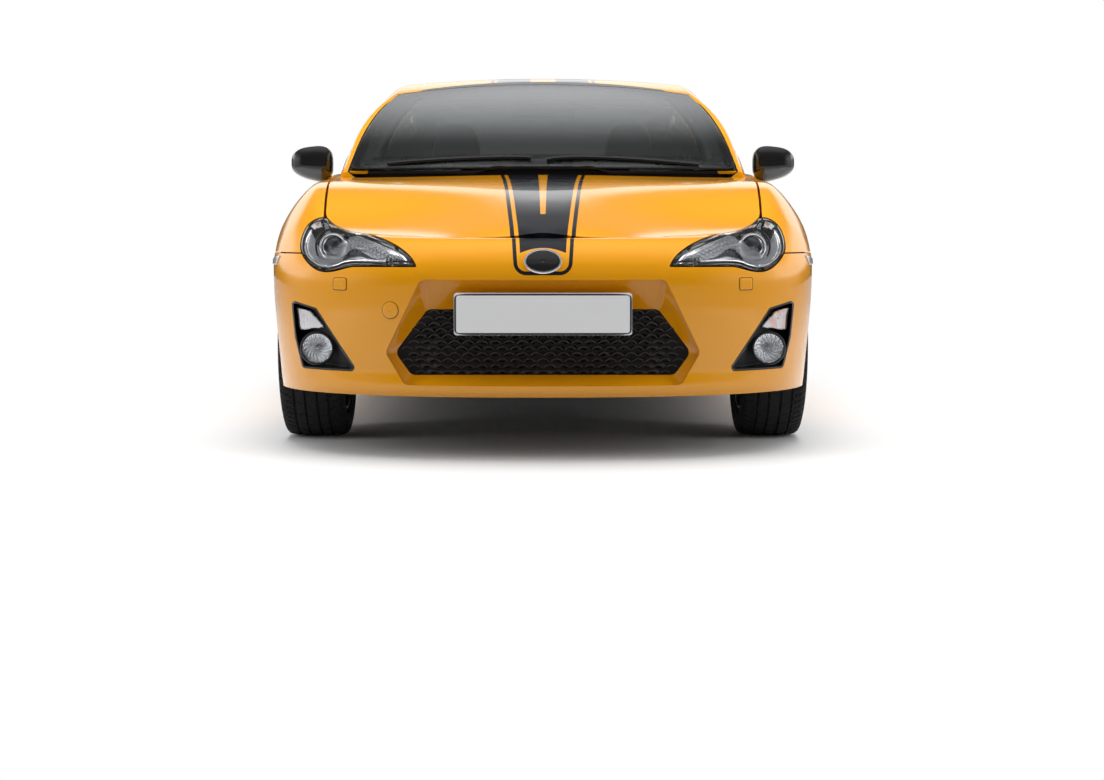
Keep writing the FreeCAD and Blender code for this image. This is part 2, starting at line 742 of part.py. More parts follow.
def mouth_cutter():
    return front_prism(mouth_points(), -nose_end, nose_end / 2, size["mouth_corner"])


def clean(shape, parts=1):
    """Keeps the largest solids of a cut shape."""
    solids = sorted(shape.Solids, key=lambda solid: solid.Volume, reverse=True)[:parts]
    return solids[0] if parts == 1 else Part.makeCompound(solids)


arches = [arch_cutter(front_axle), arch_cutter(rear_axle)]


def build_front_bumper():
    reach = side_q(size["bumper_reach"])
    shell = panel(skin, spread(-reach, reach, 45), spread(0, 2, 19), size["bumper_wall"])
    top = size["bumper_top"]
    corner_x = (size["lamp_inner_x"] + size["lamp_width"] + size["bonnet_half_front"]) / 2
    corner_x = min(corner_x, size["lamp_inner_x"] + size["lamp_width"] - 2 * size["lamp_gap"])
    side = box(corner_x, wide, 0, size["bumper_reach"] * 2, top, top + wide)
    cutters = [arches[0], side, lamp_cutter(size["lamp_gap"]), fog_cutter(0)]
    tools = cutters + [mirrored(tool) for tool in cutters] + [mouth_cutter()]
    return clean(shell.cut(Part.makeCompound(tools)))


def cabin_edge(t):
    """The rail where glass or roof meets the cabin side, at a cabin station number."""
    return cabin["rail_x"].at(t), cabin["rail_s"].at(t), cabin["rail_z"].at(t)


def cabin_top(t, across):
    """Windscreen, roof and rear window as one surface; across runs from -1 to 1."""
    rail_x, rail_s, rail_z = cabin_edge(t)
    centre_s = cabin["centre_s"].at(t)
    centre_z = cabin["centre_z"].at(t)
    share = abs(across) ** CROWN_POWER
    back = centre_s + (rail_s - centre_s) * share
    return place(across * rail_x, back, centre_z + (rail_z - centre_z) * share)


def cabin_side(t, down):
    """The cabin's side from the rail down to the belt; the first stretch rolls over the rail."""
    x, back, z = cabin_edge(t)
    belt_x, belt_z = belt(back)
    fullness = size["rail_out"] / size["rail_x_roof_top"]
    reach = max(RAIL_SHARE * (belt_x - x), size["pin_play"])
    shoulder_x = x + size["rail_out"] * reach / math.hypot(size["rail_out"], reach)
    shoulder_z = z - size["rail_drop"]
    low_x = belt_x + 0.45 * (x - belt_x) * (1 - fullness) + fullness * size["belt_inset"]
    low_z = belt_z + 0.45 * (z - belt_z)
    out = bezier(x, shoulder_x, low_x, belt_x, down)
    height = bezier(z, shoulder_z, low_z, belt_z - size["belt_inset"], down)
    return place(out, back, height)


def behind_sill(point):
    """A point inside the cabin, level with the belt."""
    return Vector(0.0, point.y, size["crest_z_sill_mid"])


def build_fender():
    us = spread(0.62, side_q(size["door_front"] + size["door_front_lean"]), 30)
    shell = panel(even_skin, us, spread(0, 1, 25), size["panel_wall"])
    low_front = box(0, wide, -nose_end, front_axle, 0, size["bumper_top"] + size["fixed_gap"])
    backs = spread(-nose_end, size["bonnet_rear_corner"] + size["shut_gap"] + size["hinge_play"], 24)
    shut = [place(shut_half_width(back) + size["shut_gap"], back, 0) for back in backs]
    curve = Part.BSplineCurve()
    curve.interpolate(shut)
    edges = [curve.toShape()]
    loop = [shut[-1], place(0, backs[-1], 0), place(0, backs[0], 0), shut[0]]
    edges += [Part.LineSegment(a, b).toShape() for a, b in zip(loop, loop[1:])]
    lid = prism(Part.Wire(edges), Vector(0, 0, wide))
    tools = [arches[0], low_front, lid, lamp_cutter(size["lamp_gap"]), door_cutter(size["shut_gap"])]
    return clean(shell.cut(Part.makeCompound(tools)))


def bonnet_surface(a, b):
    half = size["bonnet_half_front"]
    start = crest_back(a * half, False) + size["fixed_gap"]
    corner = size["bonnet_rear_corner"] - size["bonnet_rear"]
    end = size["bonnet_rear"] + corner * a * a
    back = start + (end - start) * b
    x = a * (shut_half_width(back) if b > 0 else half)
    return place(x, back, top_height(x, back))


def build_bonnet():
    return panel(bonnet_surface, spread(-1, 1, 33), spread(0, 1, 21), size["bonnet_wall"])


def deck_surface(a, b):
    start = size["boot_front"] + size["boot_front_bow"] * a * a
    half = size["boot_half_front"] - size["shut_gap"]
    rear_half = size["boot_half_rear"] - size["shut_gap"]
    x = a * (half + (rear_half - half) * b)
    end = crest_back(x, True) + size["boot_lip"]
    back = start + (end - start) * b
    lift = size["boot_lip"] * max(0.0, (b - 0.7) / 0.3) ** 2
    return place(x, back, top_height(x, min(back, end - size["boot_lip"])) + lift)


def boot_face_points(gap):
    """The outline of the boot lid's upright face seen from behind, drawn in by a gap."""
    top = size["rail_z_roof_top"]
    right = [
        (size["boot_half_rear"] - gap, top), (size["boot_half_rear"] - gap, size["crest_z_tail"]),
        (size["boot_half_low"] - gap, size["boot_shoulder_z"]), (size["boot_half_low"] - gap, size["boot_low"] + gap),
    ]
    return right + [(-x, z) for x, z in reversed(right)]


def build_boot_lid():
    deck = panel(deck_surface, spread(-1, 1, 27), spread(0, 1, 17), size["boot_wall"])
    face = panel(skin, spread(2.2, 3.8, 33), spread(1.0, 1.96, 13), size["boot_wall"])
    rear = front_prism(boot_face_points(size["shut_gap"]), tail_start, length * 2)
    face = face.common(rear)
    return clean(deck.fuse(face))


def build_quarter():
    us = spread(side_q(size["door_rear"] - size["shut_gap"]), 2.8, 44)
    shell = panel(even_skin, us, spread(0, 1, 25), size["panel_wall"])
    top = size["rear_bumper_top"]
    low_rear = box(0, wide, rear_axle, length * 2, 0, top)
    middle = box(0, size["boot_half_low"], tail_start, length * 2, 0, size["rear_bumper_middle"])
    lid_plan = [(size["boot_half_front"], size["boot_front"]), (size["boot_half_rear"], tail_start)]
    start = size["boot_front"] - size["belt_inset"]
    plan = [place(0, start, 0), place(lid_plan[0][0], start, 0)]
    plan += [place(lid_plan[1][0], tail_start + size["tail_depth"] / 2, 0)]
    plan += [place(lid_plan[1][0], length * 2, 0), place(0, length * 2, 0)]
    deck = prism(Part.makePolygon(plan + [plan[0]]), Vector(0, 0, wide))
    deck.translate(Vector(0, 0, size["boot_shoulder_z"] + size["panel_wall"]))
    face = front_prism(boot_face_points(0), tail_start, length * 2)
    tools = [arches[1], low_rear, middle, deck, face, tail_lamp_cutter(size["lamp_gap"])]
    tools.append(door_cutter(size["shut_gap"]))
    return clean(shell.cut(Part.makeCompound(tools)))


TAIL_LAMP_SHARES = (
    (0.0, 0.03), (0.62, 0.0), (0.93, 0.30), (1.0, 0.62), (0.86, 0.97), (0.45, 1.0), (0.0, 0.93),
)


def tail_lamp_points():
    inner = size["boot_half_low"] + size["lamp_gap"]
    return [
        (inner + u * size["tail_lamp_width"], size["tail_lamp_low"] + v * size["tail_lamp_height"])
        for u, v in TAIL_LAMP_SHARES
    ]


def tail_lamp_cutter(grow):
    return front_prism(tail_lamp_points(), tail_start, length * 2, size["mouth_corner"] / 2, grow)


def build_rear_bumper():
    start = side_q(rear_axle)
    shell = panel(skin, spread(start, 6 - start, 45), spread(0, 1.35, 17), size["bumper_wall"])
    top = size["rear_bumper_top"] - size["fixed_gap"]
    inner = size["boot_half_low"] - size["fixed_gap"]
    middle = size["rear_bumper_middle"] - size["fixed_gap"]
    side = box(inner, wide, 0, length * 2, top, top + wide)
    above = box(-wide, wide, 0, length * 2, middle, middle + wide)
    lamp = tail_lamp_cutter(size["lamp_gap"])
    reach = size["tailpipe_radius"] + size["hinge_play"]
    hole = Part.makeCylinder(reach, length, place(size["tailpipe_x"], tail_start, size["tailpipe_z"]), Vector(0, 1, 0))
    below = box(
        size["tailpipe_x"] - reach, size["tailpipe_x"] + reach, tail_start, length * 2, 0, size["tailpipe_z"]
    )
    notch = hole.fuse(below)
    tools = [arches[1], mirrored(arches[1]), side, mirrored(side), above, lamp, mirrored(lamp), notch, mirrored(notch)]
    return clean(shell.cut(Part.makeCompound(tools)))


def layer(surface, us, vs, near, far, inside):
    """A solid between two offsets of a surface."""
    return slab(inner_grid(surface, us, vs, near, inside), inner_grid(surface, us, vs, far, inside))


WINDSCREEN_STEPS = (0.05, 4.05)
ROOF_STEPS = (4.1, 8.0)
REAR_WINDOW_STEPS = (8.05, 10.92)
FLANGE_STEPS = ((0.03, 4.1), (8.0, 11.0))
GLASS_SHARE = 0.99
ROOF_SHARE = 0.999
ROOF_CHAMFER_SHARE = 0.06
FLANGE_SHARE = 0.93


def side_steps(first, last):
    """Cabin station numbers whose rail lies at two places behind the nose."""
    found = []
    for goal in (first, last):
        low, high = 0.0, float(cabin_steps[-1])
        for _ in range(30):
            middle = (low + high) / 2
            if cabin["rail_s"].at(middle) < goal:
                low = middle
            else:
                high = middle
        found.append(low)
    return found


def window_cutter(first, last):
    """The opening between rail and belt from one place to another, right through the cabin side."""
    start, end = side_steps(first, last)
    us = spread(start, end, 17)
    return layer(cabin_side, us, spread(WINDOW_SHARE, 1.25, 11), -size["pillar_wall"], 2 * size["pillar_wall"], behind_sill)


WINDOW_SHARE = 0.24


def quarter_window_prism(grow):
    front = size["window_mullion"] + size["door_rear"]
    top = size["rail_z_roof_top"]
    rear = rear_axle - size["quarter_glass_ahead"]
    points = [(front, 0), (rear, 0), (rear, size["crest_z_quarter"]), (rear - size["quarter_glass_lean"], top), (front, top)]
    return side_prism(points, 0, wide, 0, grow)


PILLAR_FALL_SHARE = 0.85


def build_side_frame():
    """A pillar, roof rail and rear pillar of one side, with the windows cut."""
    outer = grid(cabin_side, spread(0, cabin_steps[-1], 49), spread(0, 1, 17))
    inwards = Vector(-size["pillar_wall"], 0, -size["pillar_wall"] * PILLAR_FALL_SHARE)
    shell = slab(outer, [[point + inwards for point in row] for row in outer])
    door_window = window_cutter(size["door_glass_front"], size["door_rear"] + size["shut_gap"])
    pane = window_cutter(size["door_rear"] + size["window_mullion"], rear_axle).common(quarter_window_prism(0))
    return shell.cut(Part.makeCompound([door_window, pane]))


DOOR_TOP_LEVEL = 2.3


def door_slab():
    """The whole thickness of a door, from the skin to its flat inner face."""
    us = spread(side_q(size["door_front"] - size["shut_gap"]), side_q(size["door_rear"] + size["door_rear_lean"]), 26)
    vs = spread(0, 1, 25)
    outer = [[full_skin(u, level_at(u, share, DOOR_TOP_LEVEL)) for share in vs] for u in us]
    inner = []
    for row in outer:
        low, high = row[0], row[-1]
        inner.append([Vector(size["door_inner_x"], low.y, low.z + (high.z - low.z) * share) for share in vs])
    return slab(outer, inner)


def pane_layer(first, last, near):
    """Side glass from one place to another, sunk by a depth under the cabin side's surface."""
    start, end = side_steps(first, last)
    pane = (WINDOW_SHARE + size["shut_gap"] / size["roof_span"], 1.0)
    return layer(cabin_side, spread(start, end, 17), spread(pane[0], pane[1], 11), near, near + size["glass_wall"], behind_sill)


class Cell(float):
    """A length that also knows how it is worked out from the cells of the sheet."""

    def __new__(cls, value, text):
        made = super().__new__(cls, value)
        made.text = text
        return made

    def __add__(self, other):
        return Cell(float(self) + float(other), f"({self.text} + {wording(other)})")

    def __radd__(self, other):
        return Cell(float(other) + float(self), f"({wording(other)} + {self.text})")

    def __sub__(self, other):
        return Cell(float(self) - float(other), f"({self.text} - {wording(other)})")

    def __rsub__(self, other):
        return Cell(float(other) - float(self), f"({wording(other)} - {self.text})")

    def __mul__(self, other):
        return Cell(float(self) * float(other), f"({self.text} * {wording(other)})")

    __rmul__ = __mul__

    def __truediv__(self, other):
        return Cell(float(self) / float(other), f"({self.text} / {wording(other)})")

    def __neg__(self):
        return Cell(-float(self), f"(0 - {self.text})")


def wording(value):
    return value.text if isinstance(value, Cell) else repr(float(value))


class Cells:
    """Gives each size of the sheet by its alias, as dim.alias."""

    def __getattr__(self, alias):
        return Cell(size[alias], f"Sizes.{alias}")


dim = Cells()
half_length = (dim.front_overhang + dim.wheelbase + dim.rear_overhang) / 2
axle_y = {"front": dim.front_overhang - half_length, "rear": dim.front_overhang + dim.wheelbase - half_length}


def bind(item, field, value):
    if isinstance(value, Cell):
        item.setExpression(field, value.text)


def bind_base(item, x, y, z, turn=None):
    """Places an object by its base point, each coordinate worked out by the sheet."""
    item.Placement = FreeCAD.Placement(Vector(x, y, z), turn or FreeCAD.Rotation())
    for field, value in (("x", x), ("y", y), ("z", z)):
        bind(item, f"Placement.Base.{field}", value)


def block(name, x, back, z):
    """A box between two half widths, two places behind the nose and two heights."""
    item = doc.addObject("Part::Box", name)
    for field, (low, high) in (("Length", x), ("Width", back), ("Height", z)):
        setattr(item, field, float(high) - float(low))
        bind(item, field, high - low)
    bind_base(item, x[0], back[0] - half_length, z[0])
    return item


ALONG_X = FreeCAD.Rotation(Vector(0, 1, 0), 90)
ALONG_Y = FreeCAD.Rotation(Vector(1, 0, 0), -90)


def rod(name, radius, tall, x, back, z, turn=None):
    """A round bar from its base point, upright unless turned."""
    item = doc.addObject("Part::Cylinder", name)
    item.Radius = float(radius)
    item.Height = float(tall)
    bind(item, "Radius", radius)
    bind(item, "Height", tall)
    bind_base(item, x, back - half_length, z, turn)
    return item


def joined(name, parts):
    item = doc.addObject("Part::MultiFuse", name)
    item.Shapes = parts
    item.Refine = True
    return item


def minus(name, base, tools):
    item = doc.addObject("Part::Cut", name)
    item.Base = base
    item.Tool = tools[0] if len(tools) == 1 else joined(f"{name}_tools", tools)
    item.Refine = True
    return item


def other_side(name, source):
    item = doc.addObject("Part::Mirroring", name)
    item.Source = source
    item.Normal = Vector(1, 0, 0)
    return item


def together(name, parts):
    """Solids of one node that touch or stand by themselves."""
    item = doc.addObject("Part::Compound", name)
    item.Links = parts
    return item


def role_plane(body, role):
    return next(item for item in body.Origin.OriginFeatures if item.Role == role)


def closed_sketch(body, name, role, points):
    """A closed outline on one of a body's own planes, each corner held by two sizes from the sheet."""
    sketch = body.newObject("Sketcher::SketchObject", name)
    sketch.AttachmentSupport = (role_plane(body, role), [""])
    sketch.MapMode = "FlatFace"
    count = len(points)
    corners = [Vector(float(u), float(v), 0) for u, v in points]
    for k in range(count):
        sketch.addGeometry(Part.LineSegment(corners[k], corners[(k + 1) % count]))
    for k in range(count):
        sketch.addConstraint(Sketcher.Constraint("Coincident", k, 2, (k + 1) % count, 1))
    for k, (u, v) in enumerate(points):
        for kind, value in (("DistanceX", u), ("DistanceY", v)):
            index = sketch.addConstraint(Sketcher.Constraint(kind, -1, 1, k, 1, float(value)))
            bind(sketch, f"Constraints[{index}]", value)
    return sketch


def circle_sketch(body, name, role, circles):
    """Circles given by centre and radius on one of a body's own planes."""
    sketch = body.newObject("Sketcher::SketchObject", name)
    sketch.AttachmentSupport = (role_plane(body, role), [""])
    sketch.MapMode = "FlatFace"
    for k, (u, v, radius) in enumerate(circles):
        sketch.addGeometry(Part.Circle(Vector(float(u), float(v), 0), Vector(0, 0, 1), float(radius)))
        index = sketch.addConstraint(Sketcher.Constraint("Radius", k, float(radius)))
        bind(sketch, f"Constraints[{index}]", radius)
        for kind, value in (("DistanceX", u), ("DistanceY", v)):
            index = sketch.addConstraint(Sketcher.Constraint(kind, -1, 1, k, 3, float(value)))
            bind(sketch, f"Constraints[{index}]", value)
    return sketch


def padded(name, role, points, depth, x, y, z):
    """A body padded from an outline; its base is placed by the sheet."""
    body = doc.addObject("PartDesign::Body", name)
    sketch = closed_sketch(body, f"{name}_outline", role, points)
    pad = body.newObject("PartDesign::Pad", f"{name}_pad")
    pad.Profile = sketch
    pad.Length = float(depth)
    bind(pad, "Length", depth)
    bind_base(body, x, y, z)
    return body


def side_padded(name, points, x0, x1):
    """A body across the car from an outline of (place behind the nose, height)."""
    return padded(name, "YZ_Plane", points, x1 - x0, x0, -half_length, Cell(0.0, "0"))


def turned(name, points, x, y, z):
    """A body turned about its own X axis from an outline of (along the axle, radius)."""
    body = doc.addObject("PartDesign::Body", name)
    sketch = closed_sketch(body, f"{name}_outline", "XY_Plane", points)
    spin = body.newObject("PartDesign::Revolution", f"{name}_turn")
    spin.Profile = sketch
    spin.ReferenceAxis = (sketch, ["H_Axis"])
    spin.Angle = 360
    bind_base(body, x, y, z)
    return body


def set_shape(name, shape):
    """An object whose shape is worked out from guide lines."""
    item = doc.addObject("Part::Feature", name)
    item.Shape = shape
    return item


nodes = {}


def keep(label, item):
    """Marks an object as one of the car's named pieces."""
    item.Label = label
    nodes[label] = item
    return item


def build_tyre(end, side, sign):
    """A tyre with rounded shoulders whose bore sits on the rim."""
    half = dim.tyre_width / 2
    points = [
        (-half + dim.tyre_bulge * 1.5, dim.rim_radius), (-half, dim.rim_radius + dim.tyre_shoulder * 2),
        (-half + dim.tyre_bulge, dim.tyre_radius - dim.tyre_shoulder * 0.6),
        (-half + dim.tyre_shoulder * 1.3, dim.tyre_radius),
        (half - dim.tyre_shoulder * 1.3, dim.tyre_radius),
        (half - dim.tyre_bulge, dim.tyre_radius - dim.tyre_shoulder * 0.6),
        (half, dim.rim_radius + dim.tyre_shoulder * 2), (half - dim.tyre_bulge * 1.5, dim.rim_radius),
    ]
    label = f"tyre_{end}_{side}"
    track = dim.track_front if end == "front" else dim.track_rear
    return keep(label, turned(label, points, track / 2 * sign, axle_y[end], dim.tyre_radius))


def build_rim(end, side, sign):
    """A wheel: barrel, ten spokes in pairs, bolt holes and the brake disc behind its hub."""
    label = f"rim_{end}_{side}"
    track = dim.track_front if end == "front" else dim.track_rear
    half = dim.rim_width / 2
    outer = dim.rim_radius - dim.pin_play
    well = outer - dim.rim_flange * 1.6
    wall = dim.rim_wall
    barrel = [
        (-half, outer), (-half, outer - wall), (-half + dim.rim_flange * 2, well - wall),
        (half - dim.rim_flange * 2, well - wall), (half, outer - wall), (half, outer),
        (half - dim.rim_flange * 2, outer), (half - dim.rim_flange * 4, well),
        (-half + dim.rim_flange * 4, well), (-half + dim.rim_flange * 2, outer),
    ]
    body = doc.addObject("PartDesign::Body", label)
    sketch = closed_sketch(body, f"{label}_barrel", "XY_Plane", [(u * sign, v) for u, v in barrel])
    spin = body.newObject("PartDesign::Revolution", f"{label}_turn")
    spin.Profile = sketch
    spin.ReferenceAxis = (sketch, ["H_Axis"])
    spin.Angle = 360
    face = dim.hub_face
    disc = [
        (face + dim.spoke_wall, Cell(0.0, "0")), (face + dim.spoke_wall, dim.bolt_circle * 0.3),
        (face + dim.spoke_wall * 0.5, dim.bolt_circle * 0.4), (face + dim.spoke_wall * 0.5, dim.bolt_circle * 0.75),
        (face, dim.bolt_circle * 0.78), (face - dim.disc_inset, dim.bolt_circle * 0.78),
        (face - dim.disc_inset, dim.disc_radius), (face - dim.disc_inset - dim.disc_wall, dim.disc_radius),
        (face - dim.disc_inset - dim.disc_wall, dim.hub_radius), (-dim.hub_face * 1.5, dim.hub_radius),
        (-dim.hub_face * 1.5, Cell(0.0, "0")),
    ]
    sketch = closed_sketch(body, f"{label}_hub", "XY_Plane", [(u * sign, v) for u, v in disc])
    spin = body.newObject("PartDesign::Revolution", f"{label}_hub_turn")
    spin.Profile = sketch
    spin.ReferenceAxis = (sketch, ["H_Axis"])
    spin.Angle = 360
    start = dim.bolt_circle * 0.6
    reach = outer - wall * 0.5
    step = dim.spoke_width * 0.75
    spoke = [
        (face * sign, start), ((face + dim.spoke_wall * 0.8) * sign, start),
        ((half - dim.rim_flange) * sign, reach), ((half - dim.rim_flange - dim.spoke_wall) * sign, reach),
    ]
    for number, offset in enumerate((step, -step)):
        sketch = closed_sketch(body, f"{label}_spoke{number}", "XY_Plane", spoke)
        bind_offset(sketch, offset - dim.spoke_width / 2)
        pad = body.newObject("PartDesign::Pad", f"{label}_spoke_pad{number}")
        pad.Profile = sketch
        pad.Length = float(dim.spoke_width)
        bind(pad, "Length", dim.spoke_width)
        pattern = body.newObject("PartDesign::PolarPattern", f"{label}_spokes{number}")
        pattern.Originals = [pad]
        pattern.Axis = (role_axis(body, "X_Axis"), [""])
        pattern.Angle = 360
        pattern.Occurrences = SPOKE_PAIRS
        body.Tip = pattern
    holes = []
    for k in range(SPOKE_PAIRS):
        turn = 2 * math.pi * (k + 0.5) / SPOKE_PAIRS
        holes.append((
            dim.bolt_circle / 2 * math.cos(turn), dim.bolt_circle / 2 * math.sin(turn), dim.bolt_hole / 2,
        ))
    sketch = circle_sketch(body, f"{label}_bolts", "YZ_Plane", holes)
    pocket = body.newObject("PartDesign::Pocket", f"{label}_bolt_holes")
    pocket.Profile = sketch
    pocket.Length = float(face + dim.spoke_wall * 2)
    bind(pocket, "Length", face + dim.spoke_wall * 2)
    pocket.Reversed = sign > 0
    body.Tip = pocket
    bind_base(body, track / 2 * sign, axle_y[end], dim.tyre_radius)
    return keep(label, body)


SPOKE_PAIRS = 5


def bind_offset(sketch, distance):
    """Moves a sketch off its plane by a size from the sheet."""
    sketch.AttachmentOffset = FreeCAD.Placement(Vector(0, 0, distance), FreeCAD.Rotation())
    bind(sketch, "AttachmentOffset.Base.z", distance)


def role_axis(body, role):
    return next(item for item in body.Origin.OriginFeatures if item.Role == role)


def pair(name, item):
    """The piece and its mirror image on the other side."""
    return together(name, [item, other_side(f"{name}_mirror", item)])


def span(half):
    return (-half, half)


def build_floor():
    """Floor with its tunnel, firewall, bulkhead, boot floor and parcel shelf."""
    top = dim.floor_low + dim.floor_wall
    fire = dim.firewall_back
    channel = dim.tunnel_half - dim.tunnel_wall
    pan = block("pan", span(dim.floor_half), (fire, dim.floor_rear), (dim.floor_low, top))
    tunnel = block("tunnel", span(dim.tunnel_half), (fire, dim.floor_rear), (dim.floor_low, dim.tunnel_top))
    solid = joined("pan_solid", [pan, tunnel])
    under = (fire - dim.floor_wall, dim.floor_rear + dim.floor_wall)
    slot = block("tunnel_channel", span(channel), under, (dim.floor_low - dim.floor_wall, dim.tunnel_top - dim.tunnel_wall))
    wall = block(
        "bulkhead", span(dim.boot_floor_half), (dim.floor_rear - dim.floor_wall, dim.floor_rear),
        (top, dim.bulkhead_high),
    )
    boot = block(
        "boot_floor", span(dim.rail_half_outer), (dim.floor_rear - dim.floor_wall, dim.boot_floor_rear),
        (dim.boot_floor_z, dim.boot_floor_z + dim.floor_wall),
    )
    rear_wall = block(
        "rear_wall", span(dim.boot_floor_half), (dim.boot_floor_rear - dim.floor_wall, dim.boot_floor_rear),
        (dim.boot_floor_z, dim.rear_bumper_middle - dim.floor_wall),
    )
    whole = joined("floor_joined", [solid, wall, boot, rear_wall])
    return keep("floor_pan", minus("floor_cut", whole, [slot]))


def build_firewall():
    """The wall between engine and cabin, under the windscreen's foot."""
    fire = dim.firewall_back
    wall = block(
        "firewall_wall", span(dim.floor_half), (fire - dim.firewall_wall, fire), (dim.floor_low, dim.firewall_top)
    )
    shelf = block(
        "firewall_shelf", span(dim.post_half), (dim.cowl_front, dim.dash_back + dim.floor_wall),
        (dim.firewall_top, dim.firewall_top + dim.cowl_wall),
    )
    notch = block(
        "gearbox_notch", span(dim.tunnel_half - dim.tunnel_wall),
        (fire - dim.firewall_wall * 2, fire + dim.firewall_wall),
        (dim.floor_low - dim.floor_wall, dim.tunnel_top - dim.tunnel_wall),
    )
    return keep("firewall", minus("firewall_cut", joined("firewall_joined", [wall, shelf]), [notch]))


def build_front_frame():
    """Side rails, inner wings with damper towers and the beam behind the bumper."""
    rail = block(
        "front_rail", (dim.rail_half_inner, dim.rail_half_outer), (dim.beam_back + dim.beam_depth, dim.firewall_back - dim.firewall_wall),
        (dim.rail_low, dim.rail_high),
    )
    apron = block(
        "apron", (dim.rail_half_outer - dim.liner_wall * 2, dim.rail_half_outer),
        (dim.apron_front, dim.firewall_back - dim.firewall_wall), (dim.rail_high, dim.damper_top),
    )
    tower = block(
        "tower", (dim.rail_half_outer - dim.liner_wall, dim.damper_x + dim.damper_radius * 2.6),
        (dim.front_overhang - dim.damper_radius * 2.6, dim.front_overhang + dim.damper_radius * 2.6),
        (dim.damper_top, dim.damper_top + dim.cowl_wall),
    )
    half = joined("front_half", [rail, apron, tower])
    beam = block(
        "crash_beam", span(dim.beam_half), (dim.beam_back, dim.beam_back + dim.beam_depth),
        (dim.beam_low, dim.beam_high),
    )
    mirror = other_side("front_half_mirror", half)
    return keep("front_frame", joined("front_frame_joined", [half, mirror, beam]))


def build_posts():
    """The posts that carry the doors, with their hinge arms, bosses and pins."""
    post = block(
        "post", (dim.post_half_low, dim.post_half), (dim.post_front, dim.post_rear),
        (dim.floor_low + dim.floor_wall, dim.post_top),
    )
    parts = [post]
    hinge_back = dim.door_front + dim.hinge_lead
    hinge_x = dim.hinge_x
    for number, z in enumerate((dim.hinge_low_z, dim.hinge_high_z)):
        parts.append(block(
            f"hinge_arm{number}", (dim.post_half, hinge_x),
            (hinge_back - dim.hinge_arm / 2, hinge_back + dim.hinge_arm / 2),
            (z - dim.hinge_tall / 2, z + dim.hinge_tall / 2),
        ))
        parts.append(rod(
            f"hinge_boss{number}", dim.hinge_boss, dim.hinge_tall, hinge_x, hinge_back, z - dim.hinge_tall / 2
        ))
        parts.append(rod(
            f"hinge_pin{number}", dim.hinge_pin, dim.pin_tall, hinge_x, hinge_back, z - dim.pin_tall / 2
        ))
    return keep("door_posts", pair("door_posts", joined("post_joined", parts)))


def build_front_suspension():
    """Subframe with steering rack, lower and upper arms with ball joint eyes, and coil dampers."""
    axle = dim.front_overhang
    frame = block(
        "subframe", span(dim.subframe_half), (axle - dim.subframe_deep / 2, axle + dim.subframe_deep / 2),
        (dim.subframe_low, dim.subframe_low + dim.subframe_tall),
    )
    ears = block(
        "subframe_ears", (dim.subframe_half - dim.damper_radius, dim.rail_half_outer - dim.liner_wall * 2),
        (axle - dim.subframe_deep, axle + dim.subframe_deep),
        (dim.subframe_low + dim.subframe_tall / 2, dim.rail_low),
    )
    low = dim.ball_low_z - dim.arm_wall / 2
    arm_points = [
        (dim.subframe_half, -dim.subframe_deep / 2), (dim.damper_x + dim.damper_radius, -dim.arm_wall),
        (dim.kingpin_x, -dim.arm_wall), (dim.kingpin_x, dim.arm_wall),
        (dim.damper_x + dim.damper_radius, dim.arm_wall), (dim.subframe_half, dim.subframe_deep / 2),
    ]
    lower = padded("lower_arm", "XY_Plane", arm_points, dim.arm_wall, Cell(0.0, "0"), axle - half_length, low)
    eye = rod("lower_eye", dim.ball_radius, dim.arm_wall, dim.kingpin_x, axle, low)
    bore = rod("lower_bore", dim.ball_pin + dim.pin_play, dim.arm_wall * 3, dim.kingpin_x, axle, low - dim.arm_wall)
    damper = rod("damper", dim.damper_radius * 0.6, dim.damper_top - dim.ball_low_z, dim.damper_x, axle, dim.ball_low_z)
    spring = rod(
        "spring", dim.damper_radius, dim.damper_top - dim.ball_high_z - dim.spoke_wall * 2, dim.damper_x, axle,
        dim.ball_high_z + dim.spoke_wall * 2,
    )
    high = dim.ball_high_z - dim.arm_wall / 2
    bars = []
    inner = dim.rail_half_outer
    for number, way in enumerate((-1, 1)):
        outer_edge = dim.subframe_deep * way
        points = [
            (inner, outer_edge - dim.arm_wall * 0.6), (inner, outer_edge + dim.arm_wall * 0.6),
            (dim.kingpin_x, dim.arm_wall * 0.6), (dim.kingpin_x, -dim.arm_wall * 0.6),
        ]
        bars.append(padded(
            f"upper_bar{number}", "XY_Plane", points, dim.arm_wall, Cell(0.0, "0"), axle - half_length, high
        ))
    top_eye = rod("upper_eye", dim.ball_radius, dim.arm_wall, dim.kingpin_x, axle, high)
    top_bore = rod("upper_bore", dim.ball_pin + dim.pin_play, dim.arm_wall * 3, dim.kingpin_x, axle, high - dim.arm_wall)
    side = joined("suspension_side", [lower, eye, damper, spring, ears] + bars + [top_eye])
    cut = minus("suspension_cut", side, [bore, top_bore])
    mirror = other_side("suspension_mirror", cut)
    rack = rod(
        "steering_rack", dim.column_radius * 0.8, dim.subframe_half * 2, -dim.subframe_half,
        axle + dim.subframe_deep / 2, dim.subframe_low + dim.subframe_tall, ALONG_X,
    )
    return keep("front_suspension", joined("front_suspension_joined", [frame, cut, mirror, rack]))


